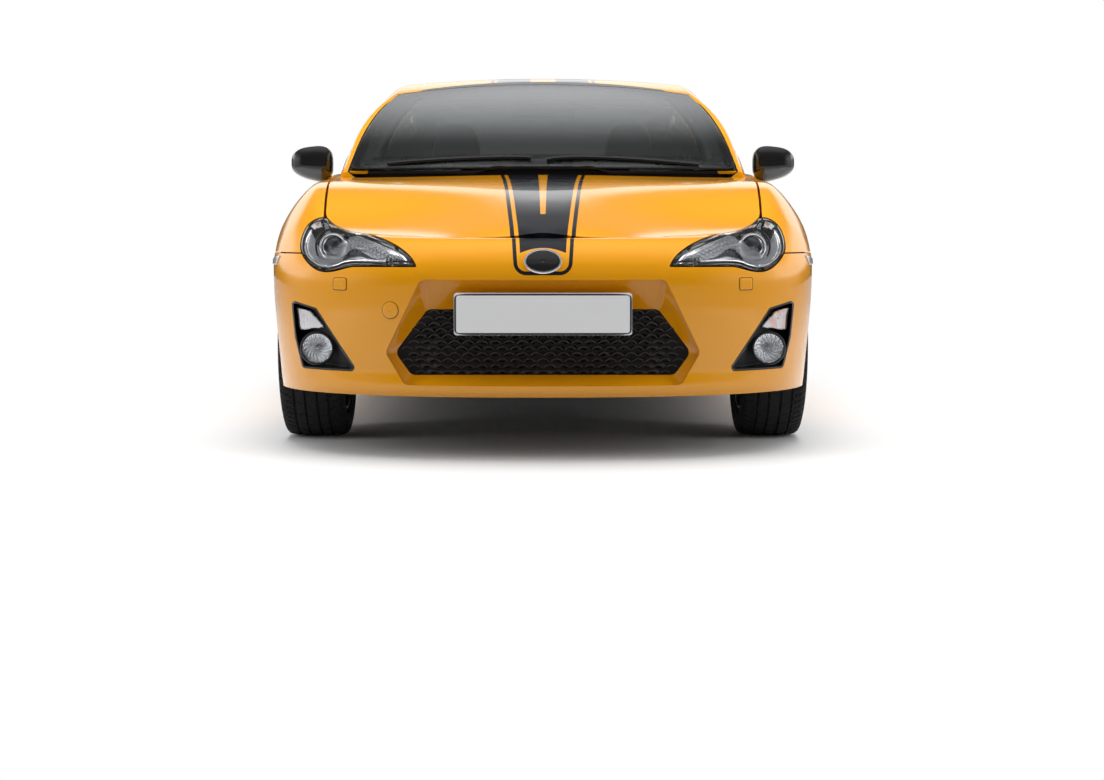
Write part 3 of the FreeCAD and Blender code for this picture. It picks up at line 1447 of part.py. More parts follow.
def build_knuckle(side, sign):
    """Upright with both ball pins, the wheel bearing's housing, steering arm and brake caliper."""
    axle = dim.front_overhang
    king = dim.kingpin_x
    hub = dim.tyre_radius
    low = dim.ball_low_z + dim.arm_wall / 2 + dim.hinge_play
    high = dim.ball_high_z - dim.arm_wall / 2 - dim.hinge_play
    play = dim.hinge_play + dim.arm_wall / 2
    carrier_end = dim.track_front / 2 + dim.hub_face - dim.disc_inset - dim.disc_wall - dim.hinge_play
    disc_back = carrier_end + dim.hinge_play
    upright = block(
        f"upright_{side}", (king - dim.upright_half, king + dim.upright_half),
        (axle - dim.upright_half, axle + dim.upright_half), (low, high),
    )
    carrier = rod(
        f"carrier_{side}", dim.carrier_radius, carrier_end - king + dim.upright_half, king - dim.upright_half,
        axle, hub, ALONG_X,
    )
    pins = [
        rod(f"pin_low_{side}", dim.ball_pin, play * 1.6, king, axle, low - play * 1.6),
        rod(f"pin_high_{side}", dim.ball_pin, play * 1.6, king, axle, high),
    ]
    arm = block(
        f"steering_arm_{side}", (king - dim.upright_half, king), (axle, axle + dim.subframe_deep),
        (low + dim.arm_wall, low + dim.arm_wall * 2),
    )
    inner = disc_back - dim.caliper_wall
    outer = disc_back + dim.disc_wall + dim.caliper_wall / 2
    far = dim.disc_radius + dim.hinge_play
    caliper = block(
        f"caliper_{side}", (inner, outer), (axle - far - dim.caliper_wall, axle - dim.bolt_circle),
        (hub - dim.caliper_half, hub + dim.caliper_half),
    )
    slot = block(
        f"caliper_slot_{side}", (disc_back - dim.pin_play, disc_back + dim.disc_wall + dim.pin_play),
        (axle - far, axle), (hub - dim.caliper_half * 2, hub + dim.caliper_half * 2),
    )
    bridge = block(
        f"caliper_bridge_{side}", (king, disc_back - dim.hinge_play), (axle - dim.bolt_circle * 1.2, axle),
        (hub - dim.arm_wall, hub + dim.arm_wall),
    )
    bore = rod(
        f"bearing_{side}", dim.hub_radius + dim.pin_play, dim.track_front, king - dim.track_front / 4, axle, hub, ALONG_X
    )
    clear = rod(
        f"disc_clear_{side}", dim.disc_radius + dim.hinge_play, dim.disc_wall + dim.hinge_play * 2,
        disc_back - dim.hinge_play, axle, hub, ALONG_X,
    )
    body = joined(f"knuckle_solid_{side}", [upright, carrier, arm, bridge, caliper] + pins)
    left = minus(f"knuckle_cut_{side}", body, [slot, bore, clear])
    if sign > 0:
        return keep(f"knuckle_{side}", left)
    return keep(f"knuckle_{side}", other_side(f"knuckle_mirror_{side}", left))


def build_rear_suspension():
    """Subframe, differential, half shafts, arms and hub carriers of the rear axle, with the long shaft."""
    axle = dim.front_overhang + dim.wheelbase
    hub = dim.tyre_radius
    frame = block(
        "rear_subframe", span(dim.subframe_half), (axle - dim.subframe_deep, axle + dim.subframe_deep),
        (dim.ball_low_z, dim.ball_low_z + dim.subframe_tall),
    )
    mounts = block(
        "rear_mounts", span(dim.subframe_half - dim.arm_wall), (axle + dim.arm_wall, axle + dim.subframe_deep),
        (dim.ball_low_z + dim.arm_wall, dim.boot_floor_z),
    )
    final_drive = block(
        "final_drive", span(dim.tunnel_half - dim.tunnel_wall * 2), (axle - dim.subframe_deep * 1.2, axle + dim.subframe_deep),
        (hub - dim.carrier_radius, hub + dim.carrier_radius),
    )
    shaft_front = dim.firewall_back + dim.engine_half
    shaft = rod(
        "propeller_shaft", dim.column_radius, axle - dim.subframe_deep * 1.3 - shaft_front, Cell(0.0, "0"),
        shaft_front, dim.ball_low_z + dim.floor_wall * 2, ALONG_Y,
    )
    nose = block(
        "drive_nose", span(dim.column_radius), (axle - dim.subframe_deep * 1.3, axle - dim.subframe_deep),
        (dim.ball_low_z + dim.floor_wall, hub),
    )
    end = dim.track_rear / 2 + dim.hub_face - dim.disc_inset - dim.disc_wall - dim.hinge_play
    half_shaft = rod("half_shaft", dim.arm_wall, end - dim.bolt_circle, Cell(0.0, "0"), axle, hub, ALONG_X)
    carrier = rod(
        "rear_carrier", dim.carrier_radius, dim.upright_half * 4, end - dim.upright_half * 4, axle, hub, ALONG_X
    )
    arm = block(
        "rear_arm", (dim.subframe_half - dim.arm_wall, end - dim.upright_half), (axle - dim.upright_half, axle + dim.upright_half),
        (dim.ball_low_z, dim.ball_low_z + dim.arm_wall * 1.5),
    )
    hanger = block(
        "rear_hanger", (end - dim.upright_half * 3, end - dim.upright_half), (axle - dim.upright_half, axle + dim.upright_half),
        (dim.ball_low_z, hub),
    )
    far = dim.disc_radius + dim.hinge_play
    disc_back = end + dim.hinge_play
    caliper = block(
        "rear_caliper", (end - dim.caliper_wall, disc_back + dim.disc_wall + dim.caliper_wall / 2),
        (axle + dim.bolt_circle, axle + far + dim.caliper_wall), (hub - dim.caliper_half, hub + dim.caliper_half),
    )
    bridge = block(
        "rear_bridge", (end - dim.caliper_wall * 2, end), (axle, axle + dim.bolt_circle * 1.2), (hub - dim.arm_wall, hub + dim.arm_wall)
    )
    slot = block(
        "rear_slot", (disc_back - dim.pin_play, disc_back + dim.disc_wall + dim.pin_play), (axle, axle + far),
        (hub - dim.caliper_half * 2, hub + dim.caliper_half * 2),
    )
    clear = rod(
        "rear_disc_clear", far, dim.disc_wall + dim.hinge_play * 2, end, axle, hub, ALONG_X
    )
    bore = rod(
        "rear_bearing", dim.hub_radius + dim.pin_play, dim.track_rear, dim.track_rear / 2 - dim.hub_face * 2, axle, hub, ALONG_X
    )
    side = minus(
        "rear_side", joined("rear_side_solid", [carrier, arm, hanger, caliper, bridge, half_shaft]), [slot, clear, bore]
    )
    mirror = other_side("rear_side_mirror", side)
    return keep("rear_suspension", joined("rear_joined", [frame, mounts, final_drive, nose, shaft, side, mirror]))


def build_engine():
    block_item = block(
        "engine", span(dim.engine_half), (dim.engine_front, dim.engine_front + dim.engine_length),
        (dim.engine_low, dim.engine_low + dim.engine_tall),
    )
    gearbox = block(
        "gearbox", span(dim.tunnel_half - dim.tunnel_wall * 3),
        (dim.engine_front + dim.engine_length, dim.firewall_back + dim.engine_half),
        (dim.ball_low_z + dim.floor_wall, dim.tunnel_top - dim.tunnel_wall * 2),
    )
    radiator_front = dim.beam_back + dim.beam_depth + dim.seat_gap
    radiator = block(
        "radiator", span(dim.radiator_half), (radiator_front, radiator_front + dim.radiator_wall),
        (dim.radiator_low, dim.radiator_low + dim.radiator_tall),
    )
    keep("engine_block", joined("engine_joined", [block_item, gearbox]))
    return keep("radiator", radiator)


def build_exhaust():
    """A pipe along the tunnel, the cross silencer and two tail pipes."""
    z = dim.tailpipe_z
    rear = dim.boot_floor_rear - dim.silencer_radius * 2
    silencer = rod("silencer", dim.silencer_radius, dim.silencer_half * 2, -dim.silencer_half, rear, z, ALONG_X)
    parts = [silencer]
    for number, way in enumerate((-1, 1)):
        x = dim.tailpipe_x * way
        outer = rod(
            f"tailpipe{number}", dim.tailpipe_radius, dim.silencer_radius * 2.6, x, rear + dim.silencer_radius, z, ALONG_Y
        )
        link = block(
            f"tail_link{number}", span(dim.tailpipe_x), (rear, rear + dim.silencer_radius * 1.4),
            (z - dim.exhaust_radius, z + dim.exhaust_radius),
        )
        parts += [outer, link]
    for number, way in enumerate((-1, 1)):
        x = dim.silencer_half * 0.6 * way
        parts.append(block(
            f"exhaust_hanger{number}", (x - dim.hinge_arm / 2, x + dim.hinge_arm / 2),
            (rear - dim.hinge_arm, rear + dim.hinge_arm), (z, dim.boot_floor_z),
        ))
    bores = [
        rod(
            f"tail_bore{number}", dim.tailpipe_radius - dim.pipe_wall * 2, dim.silencer_radius * 3,
            dim.tailpipe_x * way, rear + dim.silencer_radius * 1.6, z, ALONG_Y,
        )
        for number, way in enumerate((-1, 1))
    ]
    return keep("exhaust", minus("exhaust_cut", joined("exhaust_joined", parts), bores))


def shape_of(item):
    """The finished shape of an object that is already worked out."""
    return item.Shape


def door_swing_room():
    """The room that a door's front inner corner sweeps about its hinge, up to the belt."""
    hinge_back = size["door_front"] + size["hinge_lead"]
    at = side_q(hinge_back)
    top = full_skin(at, level_at(at, 1, DOOR_TOP_LEVEL)).z + size["shut_gap"]
    reach = math.hypot(size["hinge_x"] - size["door_inner_x"], size["hinge_lead"]) + size["shut_gap"]
    low = size["door_low"]
    return Part.makeCylinder(reach, top - low, place(size["hinge_x"], hinge_back, low))


def build_body_sides():
    """Rear quarters with the side frames of the cabin, the centre pillars and the flanges under the glass."""
    quarter = build_quarter()
    frame = build_side_frame()
    door_room = door_slab()
    door_room.translate(Vector(0, 0, size["shut_gap"]))
    side = clean(quarter.fuse(frame.cut(door_room)).cut(door_swing_room()))
    front = size["door_rear"] + size["shut_gap"]
    rear = size["door_rear"] + size["window_mullion"] + size["door_rear_lean"]
    pillar = box(
        size["post_half"] - size["post_pillar_wall"], size["crest_x_sill_rear"], front, rear,
        size["floor_low"] + size["floor_wall"], size["crest_z_sill_rear"] + size["belt_inset"],
    )
    inside = core_layer(front, rear)
    pillar = clean(pillar.common(inside).cut(door_cutter(size["shut_gap"])))
    side = clean(side.fuse(pillar))
    flanges = []
    for number, (first, last) in enumerate(FLANGE_STEPS):
        whole = layer(
            cabin_top, spread(first, last, 25), spread(-FLANGE_REACH, FLANGE_REACH, 25),
            size["flange_near"], size["flange_far"], behind_sill,
        )
        inset = FLANGE_SPAN_SHARE if number == 0 else FLANGE_SPAN_SHARE * 0.7
        hole = layer(
            cabin_top, spread(first + inset, last - inset, 21), spread(-FLANGE_SHARE, FLANGE_SHARE, 21),
            -size["roof_wall"], 2 * size["roof_wall"], behind_sill,
        )
        flanges.append(clean(whole.cut(Part.makeCompound([hole, side, mirrored(side)]))))
    return side, flanges


FLANGE_REACH = 1.02
FLANGE_SPAN_SHARE = 0.33


def core_layer(front, rear):
    """What lies well under the skin between two places behind the nose."""
    us = spread(side_q(front - size["shut_gap"]), side_q(rear + size["shut_gap"]), 7)
    vs = spread(0, 2.4, 17)
    outer = inner_grid(full_skin, us, vs, size["panel_wall"] / 2, core)
    inner = [[Vector(0, point.y, point.z) for point in row] for row in outer]
    return slab(outer, inner)


def build_sills():
    """The sill under each door, as deep as the wall, up to the door's foot."""
    front = size["door_front"] - size["shut_gap"] * 2
    rear = size["door_rear"] + size["shut_gap"] * 2
    us = spread(side_q(front), side_q(rear), 22)
    vs = spread(0, 0.6, 9)
    outer = grid(skin, us, vs)
    inner = [[Vector(size["sill_inner"], point.y, point.z) for point in row] for row in outer]
    solid = slab(outer, inner)
    keep_front = size["door_front"] + size["door_front_lean"] + size["pin_play"]
    keep_rear = size["door_rear"] - size["shut_gap"] - size["pin_play"]
    ends = box(0, wide, keep_front, keep_rear, 0, wide)
    return clean(solid.common(ends).cut(door_cutter(size["shut_gap"])))


def build_mouth():
    """The ring that leads from the bumper's mouth in to the grille, one panel to each edge of its outline."""
    back = size["grille_back"] - size["pin_play"]
    wall = size["mouth_wall"]
    near = [ring_curves(mouth_points(), grow, None) for grow in (0, wall)]
    far = [ring_curves(grille_points(), grow, back) for grow in (0, wall)]
    faces = []
    for first, second in ((near[0], far[0]), (near[1], far[1]), (near[0], near[1]), (far[0], far[1])):
        faces += [Part.makeRuledSurface(one, other) for one, other in zip(first, second)]
    shell = Part.makeShell(faces)
    shell.sewShape()
    solid = Part.makeSolid(shell)
    if solid.Volume < 0:
        solid.reverse()
    return solid


def ring_curves(points, grow, back):
    """Each edge of a rounded outline as a curve, grown outwards, at one depth or just behind the bumper's wall."""
    wire = outline([place(x, 0, z) for x, z in points], size["mouth_corner"])
    middle = wire.BoundBox.Center
    curves = []
    for edge in wire.Edges:
        row = []
        for share in spread(0, 1, 7):
            along = edge.FirstParameter + (edge.LastParameter - edge.FirstParameter) * share
            point = edge.valueAt(along)
            out = edge.tangentAt(along).cross(Vector(0, 1, 0))
            if out.dot(point - middle) < 0:
                out = -out
            point = point + out * grow
            depth = nose_back(point.x, point.z) + size["bumper_wall"] * 1.7 if back is None else back
            row.append(place(point.x, depth, point.z))
        curves.append(curve_through(row).toShape())
    return curves


def nose_layer(near, far, us, vs):
    return layer(skin, us, vs, near, far, core)


def shifted(rows, back):
    """The same grid of points further back."""
    return [[point + Vector(0, back, 0) for point in row] for row in rows]


def build_head_lamps():
    """Lens and bowl of a head lamp, both cut from the bumper's own surface."""
    us = spread(0.24, 0.96, 21)
    vs = spread(1.0, 2.0, 15)
    lens = clean(nose_layer(0, size["lens_wall"], us, vs).common(lamp_cutter(0)))
    rows = inner_grid(skin, us, vs, size["lens_wall"] + size["seat_gap"], core)
    filled = slab(rows, shifted(rows, size["lamp_depth"])).common(lamp_cutter(0))
    wall = size["lamp_wall"]
    hollow = slab(shifted(rows, -wall), shifted(rows, size["lamp_depth"] - wall))
    bonnet_room = panel(bonnet_surface, spread(-1, 1, 33), spread(0, 1, 21), size["bonnet_wall"] + size["shut_gap"])
    bowl = clean(filled.cut(Part.makeCompound([hollow.common(lamp_cutter(-wall)), bonnet_room])))
    barrel = Part.makeCylinder(
        size["projector_radius"], size["lamp_depth"] * 0.8, place(size["projector_x"], size["projector_back"], size["projector_z"]),
        Vector(0, 1, 0),
    )
    bore = Part.makeCylinder(
        size["projector_radius"] - size["lamp_wall"], size["lamp_depth"] * 0.5,
        place(size["projector_x"], size["projector_back"] - 1, size["projector_z"]), Vector(0, 1, 0),
    )
    barrel = clean(barrel.cut(bore).common(filled))
    return lens, bowl, barrel


def build_fog_lamps():
    """The dark bezel in the bumper's corner with its round lamp and the indicator above."""
    us = spread(0.30, 0.86, 19)
    vs = spread(0.05, 1.0, 15)
    deep = size["fog_depth"]
    bezel = nose_layer(0, deep, us, vs).common(fog_cutter(-size["fixed_gap"] / 4))
    hollow = nose_layer(-1, deep - size["lamp_wall"], us, vs).common(fog_cutter(-size["lamp_wall"]))
    bezel = clean(bezel.cut(hollow))
    deep -= size["lamp_wall"]
    centre = place(size["fog_lamp_x"], nose_back(size["fog_lamp_x"], size["fog_lamp_z"]) + size["lamp_wall"] * 3, size["fog_lamp_z"])
    lamp = Part.makeCylinder(size["fog_lamp_radius"], deep, centre, Vector(0, 1, 0))
    lamp = clean(lamp.cut(bezel))
    points = [
        (size["fog_inner_x"] + u * size["fog_width"], size["fog_low"] + v * size["fog_height"])
        for u, v in INDICATOR_SHARES
    ]
    shape = front_prism(points, -nose_end, nose_end)
    indicator = nose_layer(size["lamp_wall"], deep, us, vs).common(shape)
    indicator = clean(indicator.cut(bezel))
    return bezel, lamp, indicator


INDICATOR_SHARES = ((0.955, 0.90), (0.70, 0.845), (0.47, 0.62), (0.87, 0.56))


def build_tail_lamps():
    us = spread(2.2, 2.8, 19)
    vs = spread(0.8, 1.9, 15)
    inner = size["boot_half_low"] + size["lamp_gap"]
    room = tail_lamp_cutter(size["lamp_gap"] - size["seat_gap"]).common(box(inner, wide, tail_start, length * 2, 0, wide))
    return clean(nose_layer(0, size["tail_lamp_wall"], us, vs).common(room))


def plate_shape(centre_z, front):
    """A number plate on its holder, blank, standing off the bumper."""
    half = size["plate_width"] / 2
    tall = size["plate_height"] / 2
    border = size["plate_border"]
    sign = 1 if front else -1
    start = -size["plate_lead"] if front else length + size["plate_lead"]
    corners = [(-half, centre_z - tall), (half, centre_z - tall), (half, centre_z + tall), (-half, centre_z + tall)]
    plate = prism(
        outline([place(x, start, z) for x, z in corners], size["plate_corner"]), Vector(0, sign * size["plate_wall"], 0)
    )
    back = start + sign * size["plate_wall"]
    edges = [(x + math.copysign(border, x), z + math.copysign(border, z - centre_z)) for x, z in corners]
    deep = size["plate_holder"] if front else size["plate_rear_holder"]
    holder = prism(outline([place(x, back, z) for x, z in edges], size["plate_corner"]), Vector(0, sign * deep, 0))
    return plate, holder


def mirror_shell():
    """Ellipse sections carried from the glass edge to the rounded front."""
    half, tall, deep = size["mirror_half"], size["mirror_tall"] / 2, size["mirror_deep"]
    wires = []
    for lift, scale in MIRROR_SECTION_SHARES:
        centre = (size["mirror_x"], size["mirror_back"] - deep * lift, size["mirror_z"])
        x, y, z = centre
        points = [
            place(x - half * scale, y, z - tall * 0.8 * scale), place(x + half * scale, y, z - tall * 0.9 * scale),
            place(x + half * scale * 0.96, y, z + tall * scale * 0.85), place(x - half * scale * 0.9, y, z + tall * scale),
        ]
        wires.append(outline(points, tall * 0.55 * scale))
    return Part.makeLoft(wires, True, False)


MIRROR_SECTION_SHARES = ((0.0, 0.97), (0.12, 1.0), (0.4, 0.95), (0.65, 0.82), (0.85, 0.6), (0.96, 0.36))


def build_door_mirror(door):
    """Shell, arm and foot of a door mirror."""
    shell = mirror_shell()
    arm_half = size["mirror_arm"] / 2
    foot_x = belt(size["mirror_back"])[0]
    points = [
        (size["mirror_x"], size["mirror_z"] - size["mirror_tall"] * 0.3),
        (size["mirror_x"] - size["mirror_half"], size["mirror_z"] - size["mirror_tall"] * 0.42),
        (foot_x, belt(size["mirror_back"])[1] - size["mirror_arm"] * 0.4),
        (foot_x, belt(size["mirror_back"])[1] + size["mirror_arm"] * 0.35),
        (size["mirror_x"] - size["mirror_half"] * 0.6, size["mirror_z"] - size["mirror_tall"] * 0.1),
    ]
    back = size["mirror_back"] - size["mirror_deep"] / 2
    arm = front_prism(points, back - arm_half, back + arm_half)
    return clean(shell.fuse(arm).cut(door))


def stick(path, width, near, far):
    """A flat bar lying along a path on the windscreen, between two heights over the glass."""
    rows = []
    low_rows = []
    for t, across in path:
        point = cabin_top(t, across)
        out = normal(cabin_top, t, across, 1e-3)
        if out.z < 0:
            out = -out
        slide = Vector(0, width / 2, width / 4)
        rows.append([point + out * far - slide, point + out * far + slide])
        low_rows.append([point + out * near - slide, point + out * near + slide])
    return slab(rows, low_rows)


def build_cowl():
    """The dark wall and lip under the windscreen's foot, with both wipers at rest on the glass."""
    us = spread(-0.985, 0.985, 25)
    foot = size["firewall_top"] + size["cowl_wall"]
    outer, inner = [], []
    for across in us:
        base = cabin_top(0.1, across)
        rows = (outer, inner)
        for number, offset in enumerate((size["cowl_reach"], size["cowl_reach"] + size["cowl_wall"] * 1.5)):
            lift = cabin_top(0.1 + offset / size["roof_span"], across).z - size["flange_far"] - size["cowl_wall"] / 2
            y = base.y + offset
            rows[number].append([Vector(base.x, y, foot), Vector(base.x, y, (foot + lift) / 2), Vector(base.x, y, lift)])
    wall = slab(outer, inner)
    return wall


def build_cabin():
    """Dashboard, seats, cabin mirror and the steering wheel on its column."""
    hole = (dim.steering_x - dim.column_radius * 1.6, dim.steering_x + dim.column_radius * 1.6)
    points = [
        (dim.dash_back + dim.floor_wall, dim.dash_low), (dim.dash_rear - dim.console_half, dim.dash_low),
        (dim.dash_rear, dim.dash_low + dim.console_half), (dim.dash_rear - dim.floor_wall, dim.dash_top - dim.floor_wall),
        (dim.dash_rear - dim.console_half * 1.4, dim.dash_top),
        (dim.dash_back + dim.console_half * 1.4, dim.dash_top - dim.floor_wall * 0.6),
        (dim.dash_back + dim.console_half, dim.firewall_top + dim.cowl_wall * 0.5),
        (dim.dash_back + dim.floor_wall, dim.firewall_top),
    ]
    dash = side_padded("dash_body", points, -dim.dash_half, dim.dash_half)
    hood_points = [
        (dim.dash_rear - dim.console_half * 1.6, dim.dash_top - dim.floor_wall),
        (dim.dash_rear - dim.floor_wall * 0.4, dim.dash_top - dim.floor_wall),
        (dim.dash_rear, dim.dash_top + dim.floor_wall * 1.2), (dim.dash_rear - dim.console_half, dim.dash_top + dim.floor_wall * 1.4),
    ]
    hood = side_padded(
        "dial_hood", hood_points, dim.steering_x - dim.steering_radius * 0.8, dim.steering_x + dim.steering_radius * 0.8
    )
    console_points = [
        (dim.dash_rear - dim.console_half * 1.5, dim.tunnel_top), (dim.seat_front + dim.seat_length + dim.console_half, dim.tunnel_top),
        (dim.seat_front + dim.seat_length + dim.console_half, dim.console_top), (dim.seat_front + dim.console_half, dim.console_top - dim.floor_wall * 2),
        (dim.dash_rear - dim.floor_wall, dim.console_top), (dim.dash_rear - dim.floor_wall, dim.dash_low + dim.floor_wall),
        (dim.dash_rear - dim.console_half * 1.5, dim.dash_low + dim.floor_wall),
    ]
    console = side_padded("console", console_points, -dim.console_half, dim.console_half)
    lever = rod(
        "gear_lever", dim.hinge_boss, dim.lever_tall * 1.6, Cell(0.0, "0"), dim.seat_front - dim.console_half * 0.4,
        dim.console_top - dim.floor_wall * 2,
    )
    knob = rod(
        "gear_knob", dim.ball_radius * 1.3, dim.lever_tall * 0.5, Cell(0.0, "0"), dim.seat_front - dim.console_half * 0.4,
        dim.console_top + dim.lever_tall * 0.7,
    )
    keep("dashboard", joined("dash_joined", [dash, hood, console, lever, knob]))
    seats = []
    for number, way in enumerate((1, -1)):
        centre = dim.seat_x * way
        low, high = dim.seat_low, dim.seat_low + dim.seat_tall
        rear = dim.seat_front + dim.seat_length
        cushion_points = [
            (dim.seat_front, low), (rear, low), (rear + dim.seat_back_wall * 0.6, high - dim.floor_wall),
            (dim.seat_front, high),
        ]
        back_points = [
            (rear, high - dim.floor_wall * 0.4), (rear + dim.seat_back_wall, high - dim.floor_wall),
            (rear + dim.seat_back_wall + dim.seat_back_lean, dim.seat_back_top),
            (rear + dim.seat_back_lean + dim.floor_wall, dim.seat_back_top),
        ]
        rest_back = rear + dim.seat_back_lean + dim.floor_wall
        rest_points = [
            (rest_back, dim.headrest_low), (rest_back + dim.headrest_wall, dim.headrest_low),
            (rest_back + dim.headrest_wall * 1.2, dim.headrest_low + dim.headrest_tall),
            (rest_back + dim.headrest_wall * 0.4, dim.headrest_low + dim.headrest_tall),
        ]
        for part, outline_points, half in (
            ("cushion", cushion_points, dim.seat_half), ("back", back_points, dim.seat_half),
            ("headrest", rest_points, dim.headrest_half),
        ):
            seats.append(side_padded(f"seat_{part}{number}", outline_points, centre - half, centre + half))
        for k, edge in enumerate((-dim.seat_half, dim.seat_half)):
            inner, outer = sorted((centre + edge * 0.96, centre + edge * 1.03))
            seats.append(block(
                f"recliner{number}{k}", (inner, outer), (rear - dim.runner_half, rear + dim.seat_back_wall * 0.8),
                (high - dim.floor_wall * 2, high + dim.floor_wall),
            ))
        for k, offset in enumerate((-dim.seat_half * 0.7, dim.seat_half * 0.7)):
            seats.append(block(
                f"runner{number}{k}", (centre + offset - dim.runner_half, centre + offset + dim.runner_half),
                (dim.seat_front + dim.floor_wall, rear), (dim.floor_low + dim.floor_wall, low),
            ))
            seats.append(rod(
                f"headrest_bar{number}{k}", dim.lid_pin, dim.headrest_tall * 0.8, centre + offset * 0.35,
                rest_back + dim.headrest_wall / 2, dim.seat_back_top - dim.headrest_tall * 0.3,
            ))
    keep("front_seats", joined("front_seats_joined", seats))
    top = dim.rear_seat_top
    rear_low = dim.floor_low + dim.floor_wall
    bench = [
        (dim.rear_seat_front, rear_low), (dim.floor_rear - dim.floor_wall, rear_low),
        (dim.floor_rear - dim.floor_wall, dim.bulkhead_high), (dim.floor_rear + dim.console_half, top),
        (dim.floor_rear, top), (dim.floor_rear - dim.console_half * 1.4, dim.seat_low + dim.seat_tall * 1.3),
        (dim.rear_seat_front, dim.seat_low + dim.seat_tall * 1.5),
    ]
    solid = side_padded("rear_bench", bench, -dim.rear_seat_half, dim.rear_seat_half)
    hump = block(
        "rear_bench_hump", span(dim.tunnel_half + dim.pin_play), (dim.rear_seat_front - dim.floor_wall, dim.floor_rear),
        (dim.floor_low, dim.tunnel_top + dim.pin_play),
    )
    keep("rear_seat", minus("rear_bench_cut", solid, [hump]))
    shelf = block(
        "shelf_board", span(dim.shelf_half), (dim.shelf_front, dim.shelf_rear), (dim.shelf_z, dim.shelf_z + dim.cowl_wall)
    )
    legs = block(
        "shelf_front_wall", span(dim.shelf_half), (dim.shelf_front, dim.shelf_front + dim.floor_wall), (dim.bulkhead_high, dim.shelf_z)
    )
    keep("parcel_shelf", joined("shelf_joined", [shelf, legs]))


def build_steering_wheel():
    """Rim, hub and three spokes in one plane that leans with the column."""
    body = doc.addObject("PartDesign::Body", "steering_wheel")
    sketch = circle_sketch(
        body, "wheel_rim_section", "XZ_Plane", [(dim.steering_radius - dim.steering_rim, Cell(0.0, "0"), dim.steering_rim)]
    )
    spin = body.newObject("PartDesign::Revolution", "wheel_rim")
    spin.Profile = sketch
    spin.ReferenceAxis = (role_axis(body, "Z_Axis"), [""])
    spin.Angle = 360
    hub = circle_sketch(body, "wheel_hub_circle", "XY_Plane", [(Cell(0.0, "0"), Cell(0.0, "0"), dim.column_radius * 1.7)])
    pad = body.newObject("PartDesign::Pad", "wheel_hub")
    pad.Profile = hub
    pad.Length = float(dim.column_radius * 1.2)
    bind(pad, "Length", dim.column_radius * 1.2)
    pad.Midplane = True
    half = dim.steering_rim
    reach = dim.steering_radius - dim.steering_rim
    spokes = [
        [(-reach, -half), (reach, -half), (reach, half), (-reach, half)],
        [(-half, -reach), (half, -reach), (half, Cell(0.0, "0")), (-half, Cell(0.0, "0"))],
    ]
    for number, points in enumerate(spokes):
        sketch = closed_sketch(body, f"wheel_spoke{number}", "XY_Plane", points)
        pad = body.newObject("PartDesign::Pad", f"wheel_spoke_pad{number}")
        pad.Profile = sketch
        pad.Length = float(dim.steering_rim)
        bind(pad, "Length", dim.steering_rim)
        pad.Midplane = True
    body.Tip = pad
    turn = FreeCAD.Rotation(Vector(1, 0, 0), 90 + size["steering_tilt"])
    bind_base(body, dim.steering_x, dim.steering_back - half_length, dim.steering_z, turn)
    return keep("steering_wheel", body)


def steering_axis():
    """Unit vector along the column, from the wheel's centre down to the dashboard."""
    lean = math.radians(size["steering_tilt"])
    return Vector(0, -math.cos(lean), -math.sin(lean))


def build_column():
    """The steering column's tube from the dashboard to just short of the wheel's hub."""
    centre = place(size["steering_x"], size["steering_back"], size["steering_z"])
    start = centre + steering_axis() * (size["column_radius"] * 0.6 + size["pin_play"])
    tall = size["dash_rear"] - size["dash_back"]
    tube = Part.makeCylinder(size["column_radius"], tall * 0.8, start, steering_axis())
    dash = nodes["dashboard"].Shape
    return clean(tube.cut(dash), 1)


